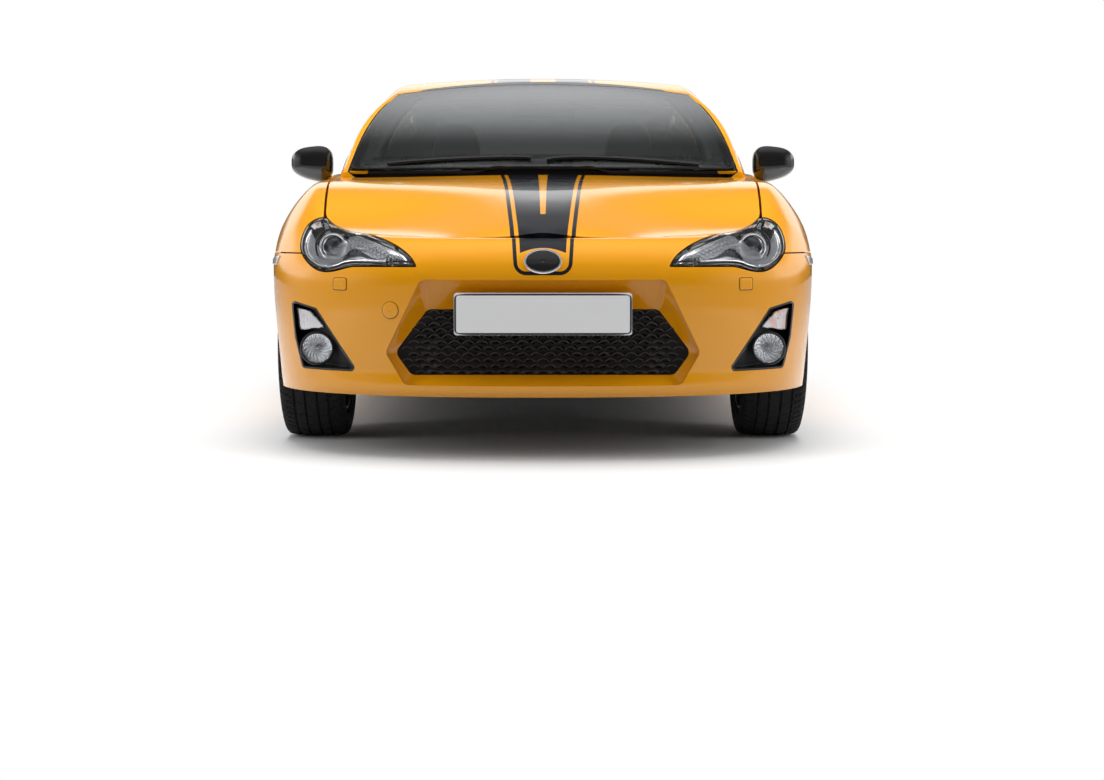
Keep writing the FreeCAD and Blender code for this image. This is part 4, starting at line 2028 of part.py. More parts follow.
def build_panels():
    """Every piece that follows the body's guide lines, each cut to seat on what carries it."""
    side, flanges = build_body_sides()
    posts = nodes["door_posts"].Shape
    keep("body_sides", set_shape("body_sides", Part.makeCompound([side, mirrored(side)] + flanges)))
    sill = build_sills()
    keep("sills", set_shape("sills", both(sill)))
    steps = spread(*ROOF_STEPS, 25)
    under = ROOF_SHARE - ROOF_CHAMFER_SHARE
    roof = slab(
        grid(cabin_top, steps, spread(-ROOF_SHARE, ROOF_SHARE, 25)),
        inner_grid(cabin_top, steps, spread(-under, under, 25), size["roof_wall"], behind_sill),
    )
    keep("roof_panel", set_shape("roof_panel", roof))
    for label, steps in (("windscreen", WINDSCREEN_STEPS), ("rear_window", REAR_WINDOW_STEPS)):
        glass = panel(
            cabin_top, spread(*steps, 25), spread(-GLASS_SHARE, GLASS_SHARE, 25), size["glass_wall"], behind_sill
        )
        keep(label, set_shape(label, glass))
    front = size["door_glass_front"] + size["shut_gap"]
    rear = size["door_rear"]
    quarter_start = size["door_rear"] + size["window_mullion"]
    quarter_glass = pane_layer(quarter_start - size["belt_inset"], rear_axle - size["shut_gap"], size["glass_sink"])
    quarter_glass = clean(quarter_glass.common(quarter_window_prism(0)).cut(side))
    keep("quarter_windows", set_shape("quarter_windows", both(quarter_glass)))
    door = clean(door_slab().common(door_cutter(0)))
    hinge_back = size["door_front"] + size["hinge_lead"]
    reach = size["hinge_tall"] / 2 + size["hinge_play"]
    pockets = []
    for z in (size["hinge_low_z"], size["hinge_high_z"]):
        pockets.append(box(
            0, size["hinge_x"] + size["hinge_boss"] + size["pin_play"] * 2, 0,
            hinge_back + size["hinge_boss"] + size["hinge_play"], z - reach, z + reach,
        ))
        pockets.append(Part.makeCylinder(
            size["hinge_pin"] + size["pin_play"], size["pin_tall"] + size["hinge_play"],
            place(size["hinge_x"], hinge_back, z - size["pin_tall"] / 2 - size["hinge_play"] / 2),
        ))
    door = clean(door.cut(Part.makeCompound(pockets)))
    glass = pane_layer(front, rear, size["glass_sink"])
    glass = clean(glass.cut(door))
    mirror = build_door_mirror(door)
    for suffix, shape_side in (("left", lambda shape: shape), ("right", mirrored)):
        keep(f"door_{suffix}", set_shape(f"door_{suffix}", shape_side(door)))
        keep(f"door_glass_{suffix}", set_shape(f"door_glass_{suffix}", shape_side(glass)))
        keep(f"door_mirror_{suffix}", set_shape(f"door_mirror_{suffix}", shape_side(mirror)))
    build_ends(side)


def build_cabin_mirror():
    """A rounded mirror housing, hung from the glass above it by a short stem."""
    half = size["cabin_mirror_half"]
    wall = size["cabin_mirror_wall"]
    tall = size["cabin_mirror_tall"]
    back = size["cabin_mirror_back"]
    low = size["cabin_mirror_z"] - tall / 2
    shell = box(-half, half, back, back + wall, low, low + tall)
    shell = shell.makeFillet(wall * 0.4, shell.Edges)
    stem = Part.makeCylinder(wall * 0.3, tall * 3, place(0, back + wall / 2, low + tall / 2), Vector(0, 0, 1))
    above = Part.makeCompound([nodes["windscreen"].Shape, nodes["roof_panel"].Shape])
    stem = min(stem.cut(above).Solids, key=lambda solid: solid.CenterOfMass.z)
    keep("cabin_mirror", set_shape("cabin_mirror", clean(shell.fuse(stem), 1)))


def lid_arm_shape(points, x, pivot, eye):
    """A hinge arm of a lid: a flat plate with a bored eye at the pivot."""
    plate = side_prism(points, x - size["lid_arm"] / 2, x + size["lid_arm"] / 2)
    disc = cross_cylinder(eye, pivot[0], pivot[1], x - size["lid_arm"] / 2, x + size["lid_arm"] / 2)
    bore = cross_cylinder(size["lid_pin"] + size["pin_play"], pivot[0], pivot[1], 0, wide)
    return clean(plate.fuse(disc)), bore


def build_ends(side):
    """Bumpers, fenders, lids, lamps and plates."""
    bumper = build_front_bumper()
    fender = clean(build_fender().cut(nodes["body_sides"].Shape))
    mouth = build_mouth()
    keep("front_fenders", set_shape("front_fenders", both(fender)))
    keep("front_bumper", set_shape("front_bumper", bumper))
    keep("mouth_surround", set_shape("mouth_surround", mouth))
    lens, bowl, barrel = build_head_lamps()
    keep("headlamp_lenses", set_shape("headlamp_lenses", both(lens)))
    keep("headlamps", set_shape("headlamps", both(bowl.fuse(barrel))))
    bezel, lamp, indicator = build_fog_lamps()
    keep("fog_bezels", set_shape("fog_bezels", both(bezel)))
    keep("fog_lamps", set_shape("fog_lamps", Part.makeCompound([lamp, mirrored(lamp), indicator, mirrored(indicator)])))
    tail = build_tail_lamps()
    keep("tail_lamps", set_shape("tail_lamps", both(tail)))
    rear_bumper = build_rear_bumper()
    keep("rear_bumper", set_shape("rear_bumper", rear_bumper))
    plates = []
    for centre_z, front, carrier in ((size["plate_z"], True, bumper), (size["plate_rear_z"], False, rear_bumper)):
        plate, holder = plate_shape(centre_z, front)
        plates += [plate, clean(holder.cut(carrier))]
    keep("number_plates", set_shape("number_plates", Part.makeCompound(plates)))
    bonnet = build_bonnet()
    pivot = (size["bonnet_axis_back"], size["bonnet_axis_z"])
    eye = size["lid_eye"]
    front = size["bonnet_rear"] - size["roof_span"] / 3
    under = top_height(size["bonnet_arm_x"], front) - size["bonnet_wall"]
    points = [
        (front, under - eye), (pivot[0], pivot[1] - eye), (pivot[0], pivot[1] + eye),
        (size["bonnet_rear"], top_height(size["bonnet_arm_x"], size["bonnet_rear"]) - size["bonnet_wall"] / 2),
        (front, under + size["bonnet_wall"] / 2),
    ]
    arm, bore = lid_arm_shape(points, size["bonnet_arm_x"], pivot, eye)
    bonnet = clean(bonnet.fuse([arm, mirrored(arm)]).cut(Part.makeCompound([bore, mirrored(bore)])))
    keep("bonnet", set_shape("bonnet", bonnet))
    lid = build_boot_lid()
    pivot = (size["boot_axis_back"], size["boot_axis_z"])
    arm, bore = lid_arm_shape(boot_arm_points(pivot), size["boot_arm_x"], pivot, eye)
    lid = clean(lid.fuse([arm, mirrored(arm)]).cut(Part.makeCompound([bore, mirrored(bore)])))
    keep("boot_lid", set_shape("boot_lid", lid))
    build_brackets(side, bumper, fender)


BOOT_ARM_SHARES = (
    (0.0, 0.0), (0.17, -0.4), (0.376, -0.776), (0.636, -0.812), (0.885, -0.533), (1.006, -0.218), (1.04, 0.06),
)


def ribbon(path, half):
    """Outline of a band of even width along a line of (place, height) points."""
    left = []
    right = []
    for k, point in enumerate(path):
        before = path[max(k - 1, 0)]
        after = path[min(k + 1, len(path) - 1)]
        run = (after[0] - before[0], after[1] - before[1])
        reach = math.hypot(*run)
        left.append((point[0] - run[1] / reach * half, point[1] + run[0] / reach * half))
        right.append((point[0] + run[1] / reach * half, point[1] - run[0] / reach * half))
    return left + right[::-1]


def boot_arm_points(pivot):
    """The boot hinge's goose neck: down and round under the rear window's foot, then up to the lid."""
    reach = size["boot_arm_reach"]
    path = [(pivot[0] + u * reach, pivot[1] + v * reach) for u, v in BOOT_ARM_SHARES]
    end = path[-1][0] + size["lid_eye"]
    path.append((end, top_height(size["boot_arm_x"], end) - size["boot_wall"] / 2))
    return ribbon(path, size["lid_eye"])


def build_brackets(side, bumper, fender):
    """Pins and brackets that carry the lids, liners over the wheels, grille and cowl."""
    pin = size["lid_pin"]
    x = size["bonnet_arm_x"] + size["lid_arm"] / 2
    wall = size["lid_arm"]
    gap = size["hinge_play"]
    foot = size["firewall_top"] + size["cowl_wall"]
    bonnet_pin = cross_cylinder(
        pin, size["bonnet_axis_back"], size["bonnet_axis_z"], x - wall - gap, x + gap + wall
    )
    lug = box(
        x + gap, x + gap + wall, size["bonnet_axis_back"] - size["lid_eye"], size["bonnet_axis_back"] + size["lid_eye"],
        foot, size["bonnet_axis_z"] + size["lid_eye"],
    )
    lug = lug.fuse(bonnet_pin)
    cowl = build_cowl()
    flange = Part.makeCompound(nodes["body_sides"].Shape.Solids)
    wipers = []
    for path in WIPER_PATHS:
        wipers.append(stick(path, size["hinge_boss"] * 1.3, size["wiper_lift"], size["wiper_lift"] + size["hinge_boss"]))
    cowl = clean(cowl.cut(Part.makeCompound([flange, lug, mirrored(lug)])))
    keep("cowl_panel", set_shape("cowl_panel", Part.makeCompound([cowl, lug, mirrored(lug)])))
    keep("wipers", set_shape("wipers", Part.makeCompound(wipers)))
    bezel = nodes["fog_bezels"].Shape
    liner = liner_shape(front_axle, size["liner_inner_x"], [bumper, fender, bezel])
    rear_liner = liner_shape(rear_axle, size["liner_inner_x"] + size["liner_rear_in"], [side, nodes["rear_bumper"].Shape])
    keep("wheel_housings", set_shape("wheel_housings", Part.makeCompound([
        liner, mirrored(liner), rear_liner, mirrored(rear_liner),
    ])))
    mesh = grille_mesh()
    keep("grille", set_shape("grille", mesh))
    x = size["boot_arm_x"] + size["lid_arm"] / 2
    boot_pin = cross_cylinder(pin, size["boot_axis_back"], size["boot_axis_z"], x - wall - gap, x + gap + wall)
    foot = size["shelf_z"] + size["cowl_wall"]
    hanger = box(
        x + gap, x + gap + wall, size["shelf_rear"] - size["roof_span"] / 10, size["boot_axis_back"] + size["lid_eye"],
        foot, size["boot_axis_z"] + size["lid_eye"],
    )
    hanger = hanger.fuse(boot_pin)
    keep("boot_hinge_brackets", set_shape("boot_hinge_brackets", both(hanger)))


WIPER_PATHS = (
    ((0.16, -0.80), (0.24, -0.50), (0.27, -0.20), (0.25, -0.06)),
    ((0.22, 0.02), (0.27, 0.25), (0.22, 0.55), (0.14, 0.80)),
)


def liner_shape(axle, inner_x, carriers):
    """A wheel housing's arched liner, open for the damper, trimmed to the panels outside it."""
    outer_x = size["liner_outer_x"]
    outer = cross_cylinder(size["liner_radius"] + size["liner_wall"], axle, arch_z, inner_x, outer_x)
    inner = cross_cylinder(size["liner_radius"], axle, arch_z, inner_x - 1, outer_x + 1)
    below = box(0, wide, 0, length, 0, size["liner_foot"])
    hole = box(
        inner_x - 1, size["damper_x"] + size["damper_radius"] * 2.6, axle - size["damper_radius"] * 2.4,
        axle + size["damper_radius"] * 2.4, arch_z, wide,
    )
    return clean(outer.cut(Part.makeCompound([inner, below, hole] + carriers)))


def grille_mesh():
    """A plate behind the mouth, pierced by staggered openings."""
    back = size["grille_back"]
    frame = outline([place(x, back, z) for x, z in grille_points()], size["mouth_corner"])
    sheet_wire = frame.makeOffset2D(size["mouth_wall"])
    pitch = size["mesh_pitch"]
    rise = pitch * 0.5
    holes = []
    rows = int(size["grille_height"] / rise)
    columns = int(2 * size["grille_half"] / pitch)
    for row in range(rows):
        z = size["grille_low"] + (row + 0.5) * size["grille_height"] / rows
        for column in range(columns + 1):
            shift = 0.5 if row % 2 else 0.0
            x = (column + shift - columns / 2) * pitch
            wide_half = pitch / 2 - size["mesh_bar"] / 2
            tall_half = rise / 2 - size["mesh_bar"] / 2
            if abs(x) + pitch > grille_half_at(z):
                continue
            holes.append(outline([
                place(x - wide_half, back, z), place(x - wide_half * 0.5, back, z - tall_half),
                place(x + wide_half * 0.5, back, z - tall_half), place(x + wide_half, back, z),
                place(x + wide_half * 0.5, back, z + tall_half), place(x - wide_half * 0.5, back, z + tall_half),
            ]))
    face = Part.Face([sheet_wire] + holes, "Part::FaceMakerBullseye")
    return face.extrude(Vector(0, size["grille_wall"], 0))


def grille_half_at(z):
    """Half width of the grille opening at a height."""
    share = (z - size["grille_low"]) / size["grille_height"]
    top, middle, foot = GRILLE_SHARES
    if share > middle[1]:
        run = (share - middle[1]) / (top[1] - middle[1])
        return size["grille_half"] * (middle[0] + (top[0] - middle[0]) * run)
    run = share / middle[1]
    return size["grille_half"] * (foot[0] + (middle[0] - foot[0]) * run)


def check(items):
    """Stops when an object failed or a shape is missing or broken."""
    for item in items:
        if "Invalid" in item.State or "Error" in item.State:
            raise RuntimeError(f"{item.Label} failed: {item.State}")
    for label, item in nodes.items():
        if item.Shape.isNull() or not item.Shape.isValid():
            raise RuntimeError(f"{label} has no sound shape")


for end in ("front", "rear"):
    for side, sign in (("left", 1), ("right", -1)):
        build_tyre(end, side, sign)
        build_rim(end, side, sign)
for side, sign in (("left", 1), ("right", -1)):
    build_knuckle(side, sign)
build_floor()
build_firewall()
build_front_frame()
build_posts()
build_front_suspension()
build_rear_suspension()
build_engine()
build_exhaust()
build_cabin()
build_steering_wheel()
doc.recompute()
keep("steering_column", set_shape("steering_column", build_column()))
build_panels()
build_cabin_mirror()
doc.recompute()
check(doc.Objects)

os.makedirs("parts", exist_ok=True)
for label, item in nodes.items():
    item.Shape.exportStep(f"parts/{label}.step")
print(f"{len(nodes)} pieces written")
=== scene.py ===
import json
import math
import bmesh
import bpy
import numpy as np
from mathutils import Euler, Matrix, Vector
from mathutils.bvhtree import BVHTree


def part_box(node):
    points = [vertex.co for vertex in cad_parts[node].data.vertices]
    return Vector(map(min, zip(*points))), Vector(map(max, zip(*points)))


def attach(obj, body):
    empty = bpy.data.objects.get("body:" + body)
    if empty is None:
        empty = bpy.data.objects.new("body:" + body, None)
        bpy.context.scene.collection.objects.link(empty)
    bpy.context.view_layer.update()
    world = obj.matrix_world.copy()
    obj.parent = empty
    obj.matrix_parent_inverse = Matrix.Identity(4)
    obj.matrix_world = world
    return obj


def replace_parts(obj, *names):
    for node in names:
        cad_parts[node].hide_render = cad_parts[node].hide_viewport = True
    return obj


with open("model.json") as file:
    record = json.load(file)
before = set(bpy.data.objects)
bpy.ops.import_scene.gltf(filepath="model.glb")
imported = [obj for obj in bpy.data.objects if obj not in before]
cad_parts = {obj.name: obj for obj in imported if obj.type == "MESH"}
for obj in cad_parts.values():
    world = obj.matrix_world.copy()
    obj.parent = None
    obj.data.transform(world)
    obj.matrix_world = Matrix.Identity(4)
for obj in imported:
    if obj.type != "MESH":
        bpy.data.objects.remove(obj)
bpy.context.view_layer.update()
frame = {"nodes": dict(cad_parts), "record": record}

nodes = frame["nodes"]
noseToMiddle = 2.12      # the car's origin lies this far behind its nose
forward = (0, 1, 0)      # from the nose towards the tail
castReach = 3.0          # rays start this far before a point and run twice as far
# Each side's name, and the factors that carry a left-hand point there
sides = (("left", np.array([1, 1, 1])), ("right", np.array([-1, 1, 1])))


def behindNose(back):
    return back - noseToMiddle


def points3(x, y, z):
    return np.stack(np.broadcast_arrays(x, y, z), axis=-1).astype(float)


print("frame loaded")


# Shading: in these helpers mat is a material or the world

socketLabels = {"coat": "Coat Weight", "coatRoughness": "Coat Roughness", "transmission": "Transmission Weight",
                "ior": "IOR", "sheen": "Sheen Weight", "specular": "Specular IOR Level"}


def newMaterial(name, color, roughness=0.5, metallic=0.0, **sockets):
    mat = bpy.data.materials.new(name)
    mat.use_nodes = True
    shader = shaderOf(mat)
    shader.inputs["Base Color"].default_value = (*color, 1)
    shader.inputs["Roughness"].default_value = roughness
    shader.inputs["Metallic"].default_value = metallic
    for socket, value in sockets.items():
        shader.inputs[socketLabels[socket]].default_value = value
    return mat


def shaderOf(mat):
    return mat.node_tree.nodes["Principled BSDF"]


def addNode(mat, kind, **settings):
    node = mat.node_tree.nodes.new(kind)
    for key, value in settings.items():
        setattr(node, key, value)
    return node


def link(mat, source, target):
    mat.node_tree.links.new(source, target)


def calc(mat, operation, first, second=None, third=None, clamp=False):
    # One math step on plain numbers or sockets
    node = addNode(mat, "ShaderNodeMath", operation=operation, use_clamp=clamp)
    for slot, value in enumerate((first, second, third)):
        if value is None:
            continue
        if isinstance(value, (int, float)):
            node.inputs[slot].default_value = value
        else:
            link(mat, value, node.inputs[slot])
    return node.outputs[0]


def objectPlace(mat):
    # The x, y and z of a surface point, in metres from the car's origin
    coords = addNode(mat, "ShaderNodeTexCoord")
    split = addNode(mat, "ShaderNodeSeparateXYZ")
    link(mat, coords.outputs["Object"], split.inputs[0])
    return coords.outputs["Object"], split.outputs


def noise(mat, coords, scale, detail=3.0):
    node = addNode(mat, "ShaderNodeTexNoise")
    node.inputs["Scale"].default_value = scale
    node.inputs["Detail"].default_value = detail
    link(mat, coords, node.inputs["Vector"])
    return node.outputs["Fac"]


def mapped(mat, value, low, high):
    node = addNode(mat, "ShaderNodeMapRange")
    link(mat, value, node.inputs["Value"])
    node.inputs["To Min"].default_value = low
    node.inputs["To Max"].default_value = high
    return node.outputs["Result"]


def easedStep(mat, value, low, high):
    # 0 below the low value, 1 above the high one, with a soft S between them
    node = addNode(mat, "ShaderNodeMapRange", interpolation_type="SMOOTHSTEP")
    link(mat, value, node.inputs["Value"])
    node.inputs["From Min"].default_value = low
    node.inputs["From Max"].default_value = high
    return node.outputs["Result"]


def bump(mat, height, strength, distance):
    node = addNode(mat, "ShaderNodeBump")
    node.inputs["Strength"].default_value = strength
    node.inputs["Distance"].default_value = distance
    link(mat, height, node.inputs["Height"])
    link(mat, node.outputs["Normal"], shaderOf(mat).inputs["Normal"])


def mixColors(mat, factor, first, second):
    node = addNode(mat, "ShaderNodeMix", data_type="RGBA")
    link(mat, factor, node.inputs["Factor"])
    for socket, value in ((node.inputs[6], first), (node.inputs[7], second)):
        if isinstance(value, tuple):
            socket.default_value = (*value, 1)
        else:
            link(mat, value, socket)
    return node.outputs[2]


def grained(mat, scale, strength, distance=0.0004, spread=0.12, broader=40):
    # Fine grain: a bump from one noise and an uneven roughness from a broader one
    coords, _ = objectPlace(mat)
    roughness = shaderOf(mat).inputs["Roughness"]
    base = roughness.default_value
    fine = noise(mat, coords, scale)
    broad = noise(mat, coords, scale / broader)
    link(mat, mapped(mat, broad, max(base - spread, 0.02), min(base + spread, 1)), roughness)
    bump(mat, fine, strength, distance)
    return mat


def lessThan(mat, value, limit, sharpness=2000.0):
    # 1 where the value is under the limit, with an edge half a millimetre soft
    step = calc(mat, "SUBTRACT", limit, value)
    return calc(mat, "MULTIPLY", step, sharpness, clamp=True)


def times(mat, first, second):
    return calc(mat, "MULTIPLY", first, second)


def lengthOf(mat, first, second):
    return calc(mat, "SQRT", calc(mat, "ADD", times(mat, first, first), times(mat, second, second)))


paintLook = {"amber": (0.86, 0.345, 0.001), "stripe": (0.010, 0.011, 0.016), "flake": (0.98, 0.50, 0.01),
             "flakeScale": 900.0, "flakeShare": 0.12, "cloudScale": 2.2, "cloud": (0.2, 0.8), "pale": 1.04,
             "deep": 0.95,
             "roughness": 0.26, "stripeRoughness": 0.32, "coat": 0.9, "coatRoughness": 0.03, "specular": 0.12,
             "lining": (0.022, 0.022, 0.024), "roofLining": (0.16, 0.16, 0.165), "liningRoughness": 0.8}
liningLook = {"floor": 0.72, "edge": 0.02, "sharpness": -60.0}
flangeLook = {"half": 0.625, "slope": 0.49, "foot": 0.93, "back": 2.02, "low": 0.84}


def inwardMask(mat, place):
    # 1 on the faces that look towards the cabin's middle line, 0 on the faces outside
    coords = addNode(mat, "ShaderNodeTexCoord")
    split = addNode(mat, "ShaderNodeSeparateXYZ")
    link(mat, coords.outputs["Normal"], split.inputs[0])
    sideways = times(mat, split.outputs[0], place[0])
    rise = times(mat, split.outputs[2], calc(mat, "SUBTRACT", place[2], liningLook["floor"]))
    toward = calc(mat, "ADD", calc(mat, "ADD", sideways, rise), liningLook["edge"])
    return calc(mat, "MULTIPLY", toward, liningLook["sharpness"], clamp=True)


def flangeMask(mat, place):
    # The flange under the windscreen lies inside the line |x| = half - slope (z - foot), ahead of the roof
    across = calc(mat, "ABSOLUTE", place[0])
    slope = flangeLook["slope"]
    edge = calc(mat, "MULTIPLY_ADD", place[2], -slope, flangeLook["half"] + slope * flangeLook["foot"])
    inside = lessThan(mat, calc(mat, "SUBTRACT", across, edge), 0.0)
    ahead = lessThan(mat, place[1], behindNose(flangeLook["back"]))
    high = lessThan(mat, times(mat, place[2], -1.0), -flangeLook["low"])
    return times(mat, times(mat, inside, ahead), high)


def paintMaterial(name, stripes=None, lining=None):
    # Amber car paint under clear coat, with the black stripes and a lined inner face where a piece has them
    amber, roughness = paintLook["amber"], paintLook["roughness"]
    mat = newMaterial(name, amber, roughness, coat=paintLook["coat"], coatRoughness=paintLook["coatRoughness"],
                      specular=paintLook["specular"])
    coords, place = objectPlace(mat)
    inputs = shaderOf(mat).inputs
    flake = noise(mat, coords, paintLook["flakeScale"], 2.0)
    cloud = noise(mat, coords, paintLook["cloudScale"], 1.0)
    pale, deep = (tuple(value * paintLook[shade] for value in amber) for shade in ("pale", "deep"))
    color = mixColors(mat, mapped(mat, cloud, *paintLook["cloud"]), deep, pale)
    color = mixColors(mat, mapped(mat, flake, 0.0, paintLook["flakeShare"]), color, paintLook["flake"])
    if stripes:
        mask = stripes(mat, place)
        color = mixColors(mat, mask, color, paintLook["stripe"])
        link(mat, mapped(mat, mask, roughness, paintLook["stripeRoughness"]), inputs["Roughness"])
    if lining:
        inner = calc(mat, "MAXIMUM", inwardMask(mat, place), flangeMask(mat, place))
        color = mixColors(mat, inner, color, lining)
        link(mat, mapped(mat, inner, paintLook["coat"], 0.0), inputs["Coat Weight"])
        link(mat, mapped(mat, inner, roughness, paintLook["liningRoughness"]), inputs["Roughness"])
    link(mat, color, inputs["Base Color"])
    return mat


bonnetStripe = {"foot": 0.069, "slope": 0.045, "gap": 0.0127, "thin": 0.0126, "wedgeFoot": 0.0052,
                "wedgeSlope": 0.0094, "wedgeStart": 0.344}


def bonnetStripes(mat, place):
    # A black field whose half width grows evenly rearwards, a paint line, a thin black line; a paint wedge amid
    across = calc(mat, "ABSOLUTE", place[0])
    back = calc(mat, "ADD", place[1], noseToMiddle)
    edge = calc(mat, "MULTIPLY_ADD", back, bonnetStripe["slope"], bonnetStripe["foot"])
    offset = calc(mat, "SUBTRACT", across, edge)
    field = lessThan(mat, offset, 0.0)
    inner = lessThan(mat, offset, bonnetStripe["gap"])
    outer = lessThan(mat, offset, bonnetStripe["gap"] + bonnetStripe["thin"])
    line = calc(mat, "SUBTRACT", outer, inner)
    wedge = calc(mat, "MULTIPLY_ADD", back, bonnetStripe["wedgeSlope"], bonnetStripe["wedgeFoot"])
    inWedge = lessThan(mat, calc(mat, "SUBTRACT", across, wedge), 0.0)
    behind = lessThan(mat, calc(mat, "SUBTRACT", bonnetStripe["wedgeStart"], back), 0.0)
    field = calc(mat, "SUBTRACT", field, times(mat, inWedge, behind), clamp=True)
    return calc(mat, "ADD", field, line, clamp=True)


noseStripe = {"half": 0.0905, "taper": 0.075, "middle": 0.619, "foot": 0.562, "corner": 0.036, "thin": 0.0115,
              "gap": 0.0105, "fieldFoot": 0.643, "fieldArch": 3.15}


def noseStripes(mat, place):
    # The thin line turns round under the ring as a rounded box, and the black field ends above it in an arch
    across = calc(mat, "ABSOLUTE", place[0])
    rise = calc(mat, "SUBTRACT", place[2], noseStripe["middle"])
    half = calc(mat, "MULTIPLY_ADD", rise, noseStripe["taper"], noseStripe["half"])
    corner, thin = noseStripe["corner"], noseStripe["thin"]
    sideways = calc(mat, "ADD", calc(mat, "SUBTRACT", across, half), corner)
    down = calc(mat, "SUBTRACT", noseStripe["foot"] + corner, place[2])
    far = lengthOf(mat, calc(mat, "MAXIMUM", sideways, 0.0), calc(mat, "MAXIMUM", down, 0.0))
    inside = calc(mat, "MINIMUM", calc(mat, "MAXIMUM", sideways, down), 0.0)
    distance = calc(mat, "SUBTRACT", calc(mat, "ADD", far, inside), corner)
    line = calc(mat, "SUBTRACT", lessThan(mat, distance, 0.0), lessThan(mat, distance, -thin))
    arch = times(mat, times(mat, across, across), -noseStripe["fieldArch"])
    foot = calc(mat, "ADD", arch, noseStripe["fieldFoot"])
    field = lessThan(mat, distance, -thin - noseStripe["gap"])
    above = lessThan(mat, calc(mat, "SUBTRACT", foot, place[2]), 0.0)
    return calc(mat, "ADD", line, times(mat, field, above), clamp=True)


roofStripe = {"bands": (0.049, 0.180), "lines": (0.191, 0.205)}


def roofStripes(mat, place):
    # Two wide black bands and two thin lines along the roof, the boot lid and the rear bumper
    across = calc(mat, "ABSOLUTE", place[0])
    wide, line = (
        calc(mat, "SUBTRACT", lessThan(mat, across, outer), lessThan(mat, across, inner))
        for inner, outer in (roofStripe["bands"], roofStripe["lines"])
    )
    return calc(mat, "ADD", wide, line, clamp=True)


# top is the pale grey of a painted reflection along the glass's upper edge, where the glass lets only part of
# the light through
screenLook = {"top": (0.46, 0.465, 0.48), "tint": (0.52, 0.56, 0.56), "low": 1.00, "high": 1.25,
              "paintedSheenClear": 0.55}


def screenMaterial():
    # Tinted windscreen that turns into a pale grey film towards its upper edge: a painted reflection of the
    # bright light above it
    mat = newMaterial("windscreenGlass", screenLook["tint"], 0.02, transmission=1.0, ior=1.4)
    _, place = objectPlace(mat)
    inputs = shaderOf(mat).inputs
    rise = easedStep(mat, place[2], screenLook["low"], screenLook["high"])
    link(mat, mapped(mat, rise, 1.0, screenLook["paintedSheenClear"]), inputs["Transmission Weight"])
    link(mat, mixColors(mat, rise, screenLook["tint"], screenLook["top"]), inputs["Base Color"])
    return mat


clothLook = {"color": (0.028, 0.028, 0.031), "roughness": 0.85, "sheen": 0.25, "threads": 310.0, "shade": 1.7,
             "patches": 9.0, "patchShare": 0.6, "strength": 0.35, "height": 0.0004}


def clothMaterial():
    # Woven seat cloth: two crossed waves make the weave, with a little sheen
    color = clothLook["color"]
    mat = newMaterial("seatCloth", color, clothLook["roughness"], sheen=clothLook["sheen"])
    coords, place = objectPlace(mat)
    pitch = clothLook["threads"] * math.tau
    warp = calc(mat, "SINE", times(mat, place[0], pitch))
    weft = calc(mat, "SINE", times(mat, calc(mat, "ADD", place[1], place[2]), pitch))
    shade = mapped(mat, noise(mat, coords, clothLook["patches"]), 0.0, clothLook["patchShare"])
    pale = tuple(value * clothLook["shade"] for value in color)
    link(mat, mixColors(mat, shade, color, pale), shaderOf(mat).inputs["Base Color"])
    bump(mat, times(mat, warp, weft), clothLook["strength"], clothLook["height"])
    return mat


indicatorLook = {"clear": (0.60, 0.60, 0.63), "warm": (0.72, 0.28, 0.16), "patches": 26.0, "edge": (0.5, 0.62),
                 "strength": 0.55}


def indicatorMaterial():
    # Bright ribbed back with warm patches
    mat = newMaterial("indicatorBack", (0.62, 0.62, 0.64), 0.2, 0.35, coat=1.0, coatRoughness=0.03)
    coords, _ = objectPlace(mat)
    patch = easedStep(mat, noise(mat, coords, indicatorLook["patches"], 1.0), *indicatorLook["edge"])
    warmth = mapped(mat, patch, 0, indicatorLook["strength"])
    color = mixColors(mat, warmth, indicatorLook["clear"], indicatorLook["warm"])
    link(mat, color, shaderOf(mat).inputs["Base Color"])
    return mat


tailRedLook = {"deep": (0.30, 0.004, 0.006), "bright": (0.62, 0.012, 0.012), "clear": (0.66, 0.64, 0.64),
               "reverse": (0.655, 0.752), "bar": (0.792, 0.018, 0.80), "ribs": 900.0, "ribStrength": 0.25,
               "ribHeight": 0.0006}


def tailMaterial():
    # Deep red with a brighter bar, ribbed upright; the reversing lamp is a clear field low at the inner end
    mat = newMaterial("tailRed", (0.42, 0.006, 0.008), 0.10, specular=0.5, coat=1.0)
    _, place = objectPlace(mat)
    across = calc(mat, "ABSOLUTE", place[0])
    reach, top = tailRedLook["reverse"]
    clear = times(mat, lessThan(mat, across, reach), lessThan(mat, place[2], top))
    middle, half, end = tailRedLook["bar"]
    offset = calc(mat, "ABSOLUTE", calc(mat, "SUBTRACT", place[2], middle))
    bar = times(mat, lessThan(mat, offset, half), lessThan(mat, across, end))
    red = mixColors(mat, bar, tailRedLook["deep"], tailRedLook["bright"])
    link(mat, mixColors(mat, clear, red, tailRedLook["clear"]), shaderOf(mat).inputs["Base Color"])
    ribs = calc(mat, "SINE", times(mat, across, tailRedLook["ribs"]))
    bump(mat, ribs, tailRedLook["ribStrength"], tailRedLook["ribHeight"])
    return mat


